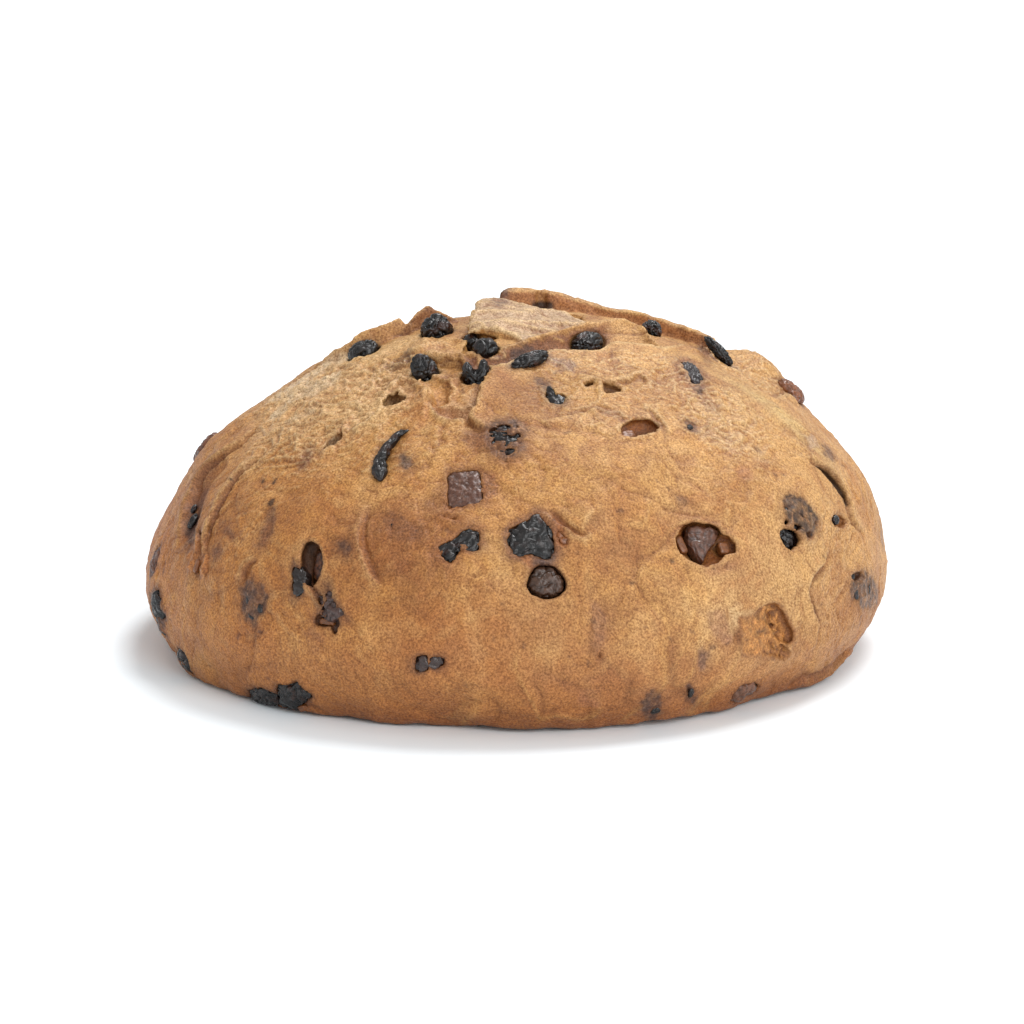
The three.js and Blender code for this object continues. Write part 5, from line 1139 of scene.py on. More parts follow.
SKIN = smooth_skin()
BEND = V + 9.0 * np.stack([noise(V, 36, 101), noise(V, 36, 102), noise(V, 36, 103)], 1) + 2.6 * np.stack([noise(V, 12, 104), noise(V, 12, 105), noise(V, 12, 106)], 1)
PART = smooth(-0.25, 0.45, noise(V, 26, 107))
PART2 = smooth(-0.2, 0.5, noise(V, 22, 108))
LINES = ridged(BEND, 24, 109, 7.0) * PART
LINES2 = ridged(BEND * [1.0, 1.0, 1.5], 13, 110, 6.0) * PART2
BANDS = ridged(BEND, 30, 111, 1.8) * smooth(-0.4, 0.5, noise(V, 40, 112))
WISPS = ridged(BEND * [1.3, 1.3, 0.8], 16, 113, 3.0) * smooth(0.0, 0.6, noise(V, 24, 114))
LINES3 = ridged(BEND * [1.2, 1.0, 0.9], 7.0, 115, 8.0) * smooth(-0.1, 0.5, noise(V, 17, 116))
FLOW = V + 6.0 * np.stack([noise(V, 19, 141), noise(V, 19, 142), noise(V, 19, 143)], 1) + 2.4 * np.stack([noise(V, 8, 144), noise(V, 8, 145), noise(V, 8, 146)], 1)
FLOWA = ridged(FLOW * [1.15, 1.15, 0.62], 6.5, 147, 3.4) * smooth(-0.15, 0.45, noise(V, 20, 148))
FLOWB = ridged(FLOW * [0.62, 0.7, 1.3], 5.5, 149, 3.4) * smooth(-0.05, 0.5, noise(V, 18, 150))
move = -0.30 * FLOWA - 0.24 * FLOWB - 0.20 * LINES3 + 0.22 * noise(V, 9.0, 62) + 0.10 * noise(V, 3.6, 63) + 0.10 * noise(V, 2.6, 81) + 0.06 * noise(V, 1.5, 82) - 0.42 * LINES - 0.25 * LINES2 + 0.3 * WISPS
# puckered skin left of the dark hole, and round the mouth of the cut
SHEEN = np.zeros(len(V))
for px, size, depth, roll, long, shine in [((325, 400), (92, 60), 0.8, 24, 0.5, 0.6), ((300, 385), (44, 26), 0.55, 30, 0.55, 0.9), ((455, 395), (34, 26), 0.3, 0, 0.7, 0.3), ((395, 372), (44, 24), 0.6, 10, 0.65, 0.5),
                        ((725, 420), (42, 36), 0.62, -30, 0.6, 0.6), ((610, 400), (76, 28), 0.4, -15, 0.55, 0.45), ((560, 362), (70, 14), 0.4, 0, 0.6, 0.6), ((655, 372), (54, 24), 0.55, 0, 0.6, 0.55), ((745, 370), (44, 26), 0.6, -35, 0.5, 0.6),
                        ((250, 500), (60, 60), 0.2, 50, 0.5, 0.1), ((840, 560), (36, 60), 0.22, 0, 0.7, 0.1), ((300, 640), (70, 60), 0.14, 0, 0.6, 0.0), ((740, 480), (50, 40), 0.2, -40, 0.5, 0.1), ((780, 420), (50, 46), 0.26, -45, 0.45, 0.2),
                        ((600, 650), (40, 60), 0.2, 80, 0.5, 0.0), ((400, 560), (50, 50), 0.18, 60, 0.5, 0.0), ((500, 480), (70, 50), 0.12, 20, 0.5, 0.0), ((395, 440), (60, 40), 0.3, 40, 0.5, 0.2)]:
    c, F, a, b = oval(px, size, roll=roll)
    i = near(V, c, 1.5 * max(a, b))
    k = in_oval(V[i], c, F, a, b, seed=83, ragged=0.3, feather=0.5, deep=14)
    S = (V[i] - c) @ F.T
    w = (S + 1.6 * np.stack([noise(V[i], 7, 84), noise(V[i], 7, 85), noise(V[i], 7, 86)], 1)) * [long, 1.0, 0.8]
    move[i] += depth * k * (ridged(w, 3.6, 87, 1.5) + 0.6 * ridged(w, 2.0, 88, 1.3) - 0.55)
    SHEEN[i] = np.maximum(SHEEN[i], shine * k)
for az, z, r, depth in [(150, 60, 26, 0.3), (-140, 45, 24, 0.25), (110, 35, 22, 0.2), (-170, 30, 24, 0.2), (176, 78, 20, 0.25)]:
    c = on_dome(az, z)
    i = near(V, c, 1.4 * r)
    k = smooth(1.3, 0.5, np.linalg.norm(V[i] - c, axis=1) / r + 0.25 * noise(V[i], 9, 89))
    w = V[i] + 1.4 * np.stack([noise(V[i], 7, 84), noise(V[i], 7, 85), noise(V[i], 7, 86)], 1)
    move[i] += depth * k * (ridged(w, 4.4, 87, 1.6) + 0.6 * ridged(w, 2.5, 88, 1.4) - 0.55)
LIDK = np.zeros(len(V))
i = CUT[1].pick(V)
LIDK[i] = CUT[1].crust(V[i])
wl = V + 1.6 * np.stack([noise(V, 8, 84), noise(V, 8, 85), noise(V, 8, 86)], 1)
move += LIDK * (0.9 * ridged(wl * [0.45, 1.2, 1], 7.5, 90, 1.2) + 0.12 * ridged(wl * [0.6, 1.2, 1], 3.6, 91, 1.4) - 0.4)
SHEEN = np.maximum(SHEEN, 0.5 * LIDK)
# the crumpled floor left of the cut
c, F, a, b = oval((425, 362), (56, 34))
i = near(V, c, 1.5 * max(a, b))
k = in_oval(V[i], c, F, a, b, seed=121, ragged=0.2, feather=0.4, deep=16)
w = V[i] + 2.2 * np.stack([noise(V[i], 9, 122), noise(V[i], 9, 123), noise(V[i], 9, 124)], 1)
move[i] += k * (1.1 * ridged(w * [1.5, 1, 1], 8.0, 125, 1.2) + 0.5 * ridged(w, 3.4, 126, 1.3) - 0.6)
move *= smooth(1.5, 6.0, V[:, 2]) * np.maximum(SKIN, 0.35)
V = V + N * move[:, None]
V[:, 2] = np.maximum(V[:, 2], 0.0)
N = vertex_normals(V, Q)
print("wrinkles at", round(time.time() - T0, 1), "s")

# -------------------------------------------------------------------- the paint
LIT = np.array([1.0, 1.0, 1.0]) * 1.45  # what the light adds to a plain face


def tone(r, g, b):
    c = np.array([r, g, b], float) / 255
    return np.where(c <= 0.04045, c / 12.92, ((c + 0.055) / 1.055) ** 2.4) / LIT


GOLD, PALE, CREAM = tone(206, 152, 88), tone(216, 166, 102), tone(230, 194, 142)
LOW, EDGE, WARM = tone(188, 128, 74), tone(150, 94, 54), tone(182, 114, 56)
BROWN, DARK, STAIN, PURPLE = tone(140, 86, 48), tone(58, 36, 24), tone(96, 60, 42), tone(92, 60, 52)
SLICE_TONE, FLAP_TONE, AMBER, TAN = tone(184, 126, 80), tone(150, 96, 60), tone(158, 92, 42), tone(172, 114, 64)


def mix(c, color, k):
    return c + (color - c) * np.reshape(k, (-1, 1))


z, nz = V[:, 2], N[:, 2]
wide = fbm(V, 34, 3, 91)
blot = fbm(V, 11, 3, 92)
C = mix(np.tile(LOW, (len(V), 1)), GOLD, smooth(6, 40, z + 9 * wide))
C = mix(C, PALE, 0.85 * smooth(44, 86, z + 7 * wide + 4 * blot))
# the crown is paler where it faces up: partly its baked tone, partly a painted highlight
C = mix(C, CREAM, 0.45 * smooth(80, 96, z + 2 * blot) * smooth(0.4, 0.9, nz))
C = mix(C, EDGE, smooth(9, 0.5, z + 2.5 * wide + 1.5 * blot))
C = mix(C, WARM, 0.45 * smooth(-0.2, 0.9, -wide) * smooth(80, 30, z))
# the left side darker: partly its baked tone, partly painted shade
C = mix(C, LOW, 0.35 * smooth(-70, -100, V[:, 0]))
C *= (1 + 0.07 * blot + 0.05 * fbm(V, 4.2, 2, 93))[:, None]

# baked clouds and paler streaks that follow the pull of the dough
cloud = smooth(0.0, 0.8, fbm(BEND, 22, 4, 131, 0.6))
cloud2 = smooth(0.1, 0.7, fbm(BEND * [1.0, 1.0, 1.5], 9, 3, 134, 0.6))
light_ = smooth(0.05, 0.8, fbm(BEND * [1.2, 1.2, 0.8], 14, 3, 137, 0.6))
C = mix(C, tone(166, 108, 64), 0.42 * cloud * SKIN)
C = mix(C, tone(156, 100, 62), 0.26 * cloud2 * SKIN)
C = mix(C, tone(222, 176, 122), 0.40 * light_ * SKIN * smooth(8, 30, z))
# the left side darker and warmer, the right side paler: partly baked tone, partly painted shade on the left and painted
# light on the right
side = smooth(-20, -95, V[:, 0]) * smooth(90, 55, z)
C = mix(C, tone(188, 126, 64), 0.45 * side)
C = mix(C, tone(222, 180, 128), 0.34 * smooth(30, 80, V[:, 0]) * smooth(12, 35, z))
C = mix(C, tone(226, 184, 128), 0.36 * smooth(30, 75, V[:, 0]) * smooth(62, 40, z) * smooth(3, 14, z))

C = mix(C, tone(190, 130, 72), 0.35 * np.exp(-(((V - hit([(440, 395)])[0]) / [16, 14, 12]) ** 2).sum(1)))
C *= mix(np.ones((len(V), 3)), [1.0, 0.95, 0.86], smooth(20, -60, V[:, 0]) * smooth(92, 60, z))

# hollows are darker and redder, and edges paler: painted shade in the wrinkle grooves and swirl lines (partly the
# dough's own streaks) and in hollows of the skin, painted highlights on its edges
C = mix(C, BROWN * 1.05, 0.34 * FLOWA * SKIN)
C = mix(C, BROWN * 1.05, 0.30 * FLOWB * SKIN)
swirl = noise(FLOW, 5.0, 152)
C = mix(C, tone(176, 112, 62), 0.30 * smooth(0.15, 0.6, swirl) * SKIN)
C = mix(C, tone(228, 182, 122), 0.26 * smooth(0.15, 0.6, -swirl) * SKIN * smooth(6, 26, z))
C = mix(C, BROWN, 0.40 * LINES3 * SKIN)
C = mix(C, BROWN, 0.45 * LINES * SKIN)
C = mix(C, BROWN, 0.28 * LINES2 * SKIN)
C = mix(C, WARM * 0.82, 0.50 * BANDS * SKIN)
C = mix(C, PALE, 0.45 * WISPS * SKIN)
# painted shade in the hollows and painted highlights on the edges and ridges, from how the skin curves
near_ = relax(V, E, DEG, 6)
far_ = relax(near_, E, DEG, 26)
fine = ((near_ - V) * N).sum(1)
broad = ((far_ - V) * N).sum(1)
C = mix(C, BROWN, 0.75 * smooth(0.05, 0.32, fine) * (0.5 + 0.5 * SKIN))
C = mix(C, BROWN * 0.9, 0.6 * smooth(0.18, 1.1, broad))
C = mix(C, CREAM, 0.40 * smooth(0.03, 0.22, -fine) * smooth(20, 60, z))
C = mix(C, PALE, 0.35 * smooth(0.15, 0.8, -broad) * smooth(10, 40, z))

GLOSS = np.full(len(V), 0.0)
CUTK = np.zeros(len(V))

# cut faces of the opened crown: smooth and evenly brown
for f, color, k0 in [(CUT[0], tone(144, 92, 60), 0.9), (CUT[2], SLICE_TONE, 0.95), (CUT[3], tone(150, 98, 64), 0.7), (CUT[4], tone(172, 120, 78), 0.3), (CUT[5], BROWN, 0.25), (CUT[6], tone(198, 136, 82), 0.6), (CUT[7], tone(112, 76, 56), 0.9)]:
    i = f.pick(V)
    k = f.cutface(V[i])
    if f is CUT[0]:
        k = k * (1 - 0.85 * smooth(23, 29, V[i][:, 0]))
    lit = (1 + 0.10 * noise(V[i] * [1, 1, 2.0], 3.5, 94) + 0.08 * noise(V[i] * [1, 1, 1.6], 9, 95))[:, None]
    C[i] = C[i] + (color * lit - C[i]) * (k0 * k)[:, None]
    CUTK[i] = np.maximum(CUTK[i], k)
C = mix(C, tone(206, 177, 149) * (1 + 0.16 * noise(V, 5, 120))[:, None], 0.85 * LIDK * smooth(-0.1, 0.3, nz))
# painted highlights on the lid's wrinkle crests and painted shade in its grooves
C = mix(C, CREAM, 0.55 * LIDK * smooth(0.02, 0.16, -fine))
C = mix(C, BROWN, 0.55 * LIDK * smooth(0.03, 0.2, fine))

# folds and creases: a painted highlight along the front rim's crest and on the raised lip of each fold, painted shade
# in their grooves
f = RELIEF[len(FILMS)]
i = f.pick(V)
t, s, w, dist = f.along(V[i])
C[i] = mix(C[i], CREAM, 0.75 * smooth(1.5, 0.5, dist) * smooth(-0.02, 0.06, t))
for f in RELIEF:
    p = getattr(f, "paint", 0)
    if not p:
        continue
    i = f.pick(V)
    if not len(i):
        continue
    t, s, w, dist = f.along(V[i])
    taper = np.clip(4 * t * (1 - t), 0, 1) ** f.ends
    if isinstance(f, Fold):
        s = s + 0.8 * noise(V[i], 11.0, 4) + 0.32 * noise(V[i], 3.4, 5) + 0.14 * noise(V[i], 1.4, 6)
        k = taper * np.exp(-((s + f.gw * 0.9) / (1.0 * f.gw + 0.35)) ** 2) * np.exp(-np.maximum(dist - np.abs(s) - 0.5, 0) ** 2)
        # painted highlight on the fold's raised lip
        C[i] = mix(C[i], CREAM, 0.28 * taper * np.exp(-((s - 0.8) / 0.7) ** 2) * smooth(10, 40, V[i][:, 2]))
        p = max(p, min(0.95, 0.45 + 0.22 * f.high))
    else:
        k = taper * np.exp(-(dist / (f.width * 0.9)) ** 2)
    # painted shade in the groove
    C[i] = mix(C[i], BROWN * 0.85, p * k)

# pits: painted shade inside the dark holes and the arch (whose one wall is left lighter, as if lit); amber, brown, tan
# or pale tan inside the others, with a browned mouth
TINTS = {"arch": tone(64, 40, 26), "window": tone(190, 138, 98), "dark": DARK, "amber": AMBER, "tan": TAN * 0.8, "brown": tone(92, 58, 40)}
for f in PITS:
    i = f.pick(V)
    if not len(i):
        continue
    L = f.local(V[i])
    e = f.edge(L)
    inside = smooth(-0.15, -1.0, L[:, 2]) * smooth(1.6, 0.6, e)
    mouth = np.exp(-(np.maximum(e, 0) / 0.8) ** 2) * smooth(3, 1.5, np.abs(L[:, 2]))
    C[i] = mix(C[i], BROWN * 1.1, 0.45 * mouth)
    lit = (1 + 0.2 * noise(V[i], 1.6, 96))[:, None]
    C[i] = C[i] + (TINTS[f.tint] * lit - C[i]) * (0.92 * inside)[:, None]
    # the arch: painted shade inside, lighter toward one wall as if lit there
    if f.tint == "arch":
        C[i] = mix(C[i], tone(150, 102, 68) * lit, 0.8 * inside * smooth(-0.6, 2.4, L[:, 0]))
    if f.tint in ("amber", "brown"):
        GLOSS[i] = np.maximum(GLOSS[i], 0.55 * inside)

# dough round the fruit is stained by it
for f in FRUIT:
    i = f.pick(V)
    L = (V[i] - f.center) @ f.F.T
    e = (f.level(L) - 1) * f.radii.min()
    C[i] = mix(C[i], tone(96, 62, 46) if f.style == "raisin" else tone(128, 80, 46), 0.75 * np.exp(-(np.maximum(e, 0) / 0.75) ** 2))

# fruit under the skin
for f in FILMS:
    i = f.pick(V)
    e = f.margin(V[i])
    core, halo = smooth(0.6, -0.8, e), smooth(3.4, 0.0, e)
    own = f.color / LIT
    C[i] = mix(C[i], own * 0.45 + tone(150, 94, 56) * 0.55, f.halo * f.strength * halo)
    grain_ = 1 + 0.35 * noise(V[i], 1.3, f.seed + 20)
    C[i] = mix(C[i], own * grain_[:, None], f.strength * core * (0.70 + 0.30 * smooth(-0.4, 0.4, noise(V[i], 2.2, f.seed + 21))))
    C[i] = mix(C[i], own * 0.45, f.vein * core * ridged(V[i], 2.3, f.seed + 22, 3.0))
    C[i] = mix(C[i], tone(206, 156, 114), 0.75 * f.vein * core * ridged(V[i] * [1.3, 1, 0.8], 3.4, f.seed + 23, 6.0))
    GLOSS[i] = np.maximum(GLOSS[i], f.gloss * core)
# torn crumb low on the right
f = Patch()
f.place(None, outline=CRUMB)
i = f.pick(V)
e = f.edge(f.local(V[i])) + 0.4 * noise(V[i], 1.8, 3)
C[i] = mix(C[i], BROWN, 0.5 * np.exp(-(e / 0.9) ** 2))
C[i] = mix(C[i], tone(190, 130, 70) * (1 + 0.5 * noise(V[i], 1.6, 640) + 0.3 * noise(V[i], 0.9, 641))[:, None], 0.85 * smooth(0.2, -0.6, e))
# painted shade in the hollows of the torn crumb
C[i] = mix(C[i], tone(120, 72, 40), 0.85 * smooth(0.2, -0.6, e) * smooth(0.02, 0.22, fine[i]))
# frayed orange edge of the left lap
for px, size in [((197, 545), (5, 15)), ((192, 562), (7, 9)), ((203, 565), (4, 12))]:
    c, F, a, b = oval(px, size)
    i = near(V, c, 8)
    k = in_oval(V[i], c, F, a, b, seed=650, ragged=0.5)
    C[i] = mix(C[i], tone(196, 128, 70) * (1 + 0.3 * noise(V[i], 1.4, 651))[:, None], 0.5 * k)
    GLOSS[i] = np.maximum(GLOSS[i], 0.4 * k)

# stains and spots, with some painted highlights and painted shade among them: place, half size in pixels, colour,
# strength, raggedness, roll
SPOTS = [
    ((402, 565), (9, 8), WARM, 0.5, 0.4, 0), ((191, 520), (6, 12), tone(74, 54, 52), 0.9, 0.4, 0), ((204, 478), (8, 22), tone(132, 84, 58), 0.6, 0.5, 40),
    ((700, 392), (3, 2), DARK, 0.8, 0.3, 0), ((726, 395), (2, 2), DARK, 0.6, 0.3, 0), ((715, 408), (3, 2), BROWN, 0.7, 0.3, 0), ((690, 424), (3, 3), BROWN, 0.6, 0.3, 0),
    # the two pale patches at (728, 424) and (740, 405) are painted highlights on the wrinkles of the right shoulder
    ((728, 424), (24, 20), tone(232, 196, 148), 0.4, 0.9, 0), ((740, 405), (16, 12), CREAM, 0.35, 0.9, 0), ((567, 461), (2.2, 1.8), tone(150, 92, 50), 0.8, 0.3, 0), ((620, 511), (3, 2), STAIN, 0.7, 0.4, 0),
    ((673, 561), (2.4, 2), DARK, 0.7, 0.3, 0), ((632, 583), (2.4, 2), DARK, 0.6, 0.3, 0), ((592, 621), (3, 3), PURPLE, 0.6, 0.3, 0), ((263, 481), (1.6, 1.8), DARK, 0.8, 0.3, 0), ((274, 481), (1.8, 3.0), DARK, 0.85, 0.3, 0), ((233, 481), (1.2, 1.2), DARK, 0.85, 0.3, 0),
    ((271, 502), (2.6, 4), DARK, 0.85, 0.4, 0), ((265, 538), (6, 24), BROWN, 0.3, 0.5, -12), ((259, 632), (2, 2.4), tone(90, 60, 52), 0.8, 0.4, 0), ((238, 637), (2.4, 3), tone(120, 76, 54), 0.7, 0.4, 0), ((198, 563), (1.6, 2.2), DARK, 0.8, 0.3, 0),
    ((799, 640), (6, 16), BROWN, 0.3, 0.6, 0), ((744, 472), (7, 8), tone(186, 120, 84), 0.3, 0.5, 0), ((590, 699), (10, 8), tone(168, 112, 80), 0.6, 0.5, 0), ((158, 612), (5, 20), tone(88, 60, 52), 0.5, 0.5, 0),
    ((193, 490), (8, 20), BROWN, 0.3, 0.4, 20), ((600, 656), (3, 4), BROWN, 0.7, 0.3, 0), ((733, 620), (5, 11), tone(226, 186, 136), 0.65, 0.25, -8), ((744, 613), (9, 3), tone(226, 186, 136), 0.65, 0.25, 0), ((738, 606), (5, 3), tone(220, 178, 130), 0.5, 0.2, 0),
    # the thin pale band at (455, 401) is a painted highlight along the shelf in the window
    ((346, 424), (4, 8), tone(190, 114, 60), 0.8, 0.3, 10), ((418, 399), (9, 9), tone(196, 136, 82), 0.5, 0.4, 0), ((455, 389), (22, 11), tone(182, 130, 80), 0.6, 0.3, 0), ((455, 401), (20, 3), tone(226, 180, 134), 0.7, 0.3, 0),
    # the dark strip at (457, 416) is painted shade in the recess under the shelf
    ((457, 416), (7, 2.4), tone(110, 70, 56), 0.8, 0.3, 0), ((420, 530), (46, 34), WARM, 0.3, 0.6, 0), ((405, 548), (44, 44), tone(158, 102, 62), 0.45, 0.7, 0), ((500, 480), (60, 50), WARM, 0.2, 0.6, 0), ((438, 495), (10, 14), tone(136, 88, 58), 0.5, 0.6, 0),
    # the pale, near-white and cream patches at (325, 400), (300, 390) and (360, 410) are painted highlights on the
    # wrinkled skin, partly its paler crust
    ((325, 400), (78, 50), tone(234, 194, 146), 0.6, 0.6, 0), ((300, 390), (38, 20), tone(248, 226, 196), 0.7, 0.9, -10), ((360, 410), (44, 16), CREAM, 0.4, 0.8, 0), ((395, 345), (24, 18), CREAM, 0.5, 0.4, 0), ((620, 392), (60, 18), PALE, 0.3, 0.7, 0),
    ((860, 500), (12, 30), WARM, 0.3, 0.6, 0), ((345, 545), (14, 16), BROWN, 0.35, 0.6, 0), ((290, 668), (60, 16), LOW, 0.3, 0.7, 0), ((318, 640), (10, 10), tone(150, 100, 72), 0.4, 0.5, 0), ((515, 392), (26, 16), tone(186, 128, 78), 0.5, 0.6, 0),
    ((648, 425), (10, 4), tone(108, 66, 38), 0.6, 0.3, 0), ((700, 556), (9, 5), tone(214, 166, 116), 0.8, 0.3, -20), ((728, 545), (6, 6), tone(196, 142, 90), 0.7, 0.2, 0), ((840, 522), (6, 4), tone(190, 140, 100), 0.7, 0.2, 0),
    ((560, 640), (60, 40), tone(196, 144, 92), 0.25, 0.7, 0), ((680, 640), (10, 60), tone(170, 112, 66), 0.35, 0.6, 0), ((450, 640), (60, 40), WARM, 0.2, 0.8, 0), ((620, 560), (18, 50), tone(172, 116, 70), 0.3, 0.7, 10), ((470, 400), (10, 18), tone(214, 166, 116), 0.4, 0.4, 0),
]
BACK_SPOTS = [
    (150, 40, 5, 7, STAIN, 0.7, 0), (-148, 58, 6, 4, STAIN, 0.65, 20), (168, 70, 4, 5, PURPLE, 0.6, 0), (-120, 26, 5, 8, PURPLE, 0.6, 10), (118, 50, 6, 4, STAIN, 0.6, -20), (-176, 24, 6, 5, tone(176, 104, 58), 0.55, 0),
    (140, 14, 7, 5, BROWN, 0.5, 0), (-102, 56, 5, 7, STAIN, 0.55, 0), (160, 26, 1.0, 0.8, DARK, 0.8, 0), (-132, 40, 0.9, 0.9, DARK, 0.8, 0), (130, 58, 0.8, 0.7, DARK, 0.8, 0), (-168, 46, 1.1, 0.8, DARK, 0.8, 0),
    (108, 24, 1.0, 1.0, DARK, 0.7, 0), (176, 50, 9, 7, CREAM, 0.4, 0), (-150, 76, 10, 8, CREAM, 0.4, 0), (128, 72, 10, 7, CREAM, 0.4, 0), (95, 40, 5, 6, tone(150, 100, 84), 0.5, 0), (-110, 44, 7, 9, WARM, 0.4, 0), (150, 22, 9, 8, WARM, 0.4, 0),
]
marks = []
for n_, (px, size, color, k0, ragged, roll) in enumerate(SPOTS):
    c, F, a, b = oval(px, size, roll=roll)
    marks.append((c, F, a, b, color, k0, ragged, n_))
for n_, (az, zz, a, b, color, k0, roll) in enumerate(BACK_SPOTS):
    c = on_dome(az, zz)
    marks.append((c, frame_at(c, roll), a, b, color, k0, 0.5, 100 + n_))
for c, F, a, b, color, k0, ragged, seed in marks:
    i = near(V, c, 1.6 * max(a, b) + 2)
    if not len(i):
        continue
    k = in_oval(V[i], c, F, a, b, seed=300 + seed, ragged=ragged)
    if max(a, b) > 2.5:
        k = k * (0.72 + 0.28 * smooth(-0.4, 0.5, noise(V[i], 2.0, 330 + seed)))
        color = np.asarray(color) * (1 + 0.16 * noise(V[i], 1.5, 360 + seed))[:, None]
    C[i] = mix(C[i], color, k0 * k)
# scattered fine specks of spice and fruit
speck = noise(V, 2.3, 97)
speck2 = noise(V, 9.0, 98)
C = mix(C, STAIN, 0.55 * smooth(0.74, 0.9, speck) * smooth(-0.1, 0.3, speck2) * SKIN)
# the wet place by the covered raisin
c, F, a, b = oval((398, 362), (13, 8))
i = near(V, c, 10)
GLOSS[i] = np.maximum(GLOSS[i], 0.95 * in_oval(V[i], c, F, a, b, seed=5, ragged=0.4))
C[i] = mix(C[i], tone(120, 88, 66), 0.6 * in_oval(V[i], c, F, a, b, seed=5, ragged=0.4))
# painted highlights on the crests of the glossy wrinkled skin, and painted shade in its troughs
C = mix(C, tone(244, 212, 166), 0.65 * SHEEN * smooth(0.02, 0.14, -fine))
C = mix(C, tone(176, 120, 72), 0.45 * SHEEN * smooth(0.02, 0.16, fine))
GLOSS = np.maximum(GLOSS, 0.75 * SHEEN)
# lighter and darker places, place by place: painted shade in the hollow under the ledge, a painted highlight along the
# ledge above the window, paler and bluer patches low on the right and at the right shoulder (partly painted light), and
# other patches made darker, lighter or warmer
for px, size, change in [((520, 395), (34, 20), (0.78, 0.72, 0.62)), ((710, 640), (42, 50), (1.10, 1.18, 1.28)), ((780, 412), (18, 30), (1.02, 1.20, 1.32)), ((300, 510), (42, 40), (0.92, 0.89, 0.90)), ((500, 400), (10, 26), (0.90, 0.86, 0.80)),
                         ((455, 362), (26, 9), (0.72, 0.66, 0.60)), ((452, 388), (24, 6), (1.30, 1.34, 1.36)), ((640, 358), (46, 7), (1.10, 1.12, 1.14)), ((395, 560), (46, 44), (0.94, 0.92, 0.90))]:
    at_ = hit([px])[0]
    F_ = frame_at(at_)
    L = (V - at_) @ F_.T
    k = np.exp(-(L[:, 0] / (size[0] * PX)) ** 2 - (L[:, 1] / (size[1] * PX / max(0.25, float(F_[2] @ CAM_BACK)))) ** 2 - (L[:, 2] / 9.0) ** 2)
    C *= 1 + (np.array(change) - 1) * k[:, None]
C *= 1 + (np.array([1.10, 1.00, 0.78]) - 1) * smooth(-84, -98, V[:, 0])[:, None]
C *= 1 + (np.array([0.96, 0.90, 0.78]) - 1) * smooth(84, 97, V[:, 0])[:, None]
C = np.clip(C, 0.004, 0.92)
print("paint at", round(time.time() - T0, 1), "s")


# ---------------------------------------------------------------- the materials
def nodes_of(name):
    m = bpy.data.materials.new(name)
    m.use_nodes = True
    nt = m.node_tree
    nt.nodes.clear()
    out = nt.nodes.new("ShaderNodeOutputMaterial")
    sh = nt.nodes.new("ShaderNodeBsdfPrincipled")
    nt.links.new(sh.outputs[0], out.inputs[0])
    return m, nt, sh


def add_noise(nt, coord, scale, detail=2.0, rough=0.6, distort=0.0):
    n = nt.nodes.new("ShaderNodeTexNoise")
    n.inputs["Scale"].default_value = scale
    n.inputs["Detail"].default_value = detail
    n.inputs["Roughness"].default_value = rough
    n.inputs["Distortion"].default_value = distort
    nt.links.new(coord, n.inputs["Vector"])
    return n.outputs[0]


def remap(nt, value, a, b, lo, hi):
    n = nt.nodes.new("ShaderNodeMapRange")
    n.inputs[1].default_value, n.inputs[2].default_value, n.inputs[3].default_value, n.inputs[4].default_value = a, b, lo, hi
    nt.links.new(value, n.inputs[0])
    return n.outputs[0]


def math_(nt, op, a, b):
    n = nt.nodes.new("ShaderNodeMath")
    n.operation = op
    for k, v in enumerate((a, b)):
        if isinstance(v, (int, float)):
            n.inputs[k].default_value = v
        else:
            nt.links.new(v, n.inputs[k])
    return n.outputs[0]


def blend_(nt, how, fac, a, b):
    n = nt.nodes.new("ShaderNodeMix")
    n.data_type = "RGBA"
    n.blend_type = how
    n.clamp_result = False
    if isinstance(fac, (int, float)):
        n.inputs[0].default_value = fac
    else:
        nt.links.new(fac, n.inputs[0])
    for sock, v in ((n.inputs[6], a), (n.inputs[7], b)):
        if isinstance(v, tuple):
            sock.default_value = (*v, 1)
        else:
            nt.links.new(v, sock)
    return n.outputs[2]


def gray(nt, value):
    n = nt.nodes.new("ShaderNodeCombineColor")
    for k in range(3):
        nt.links.new(value, n.inputs[k])
    return n.outputs[0]


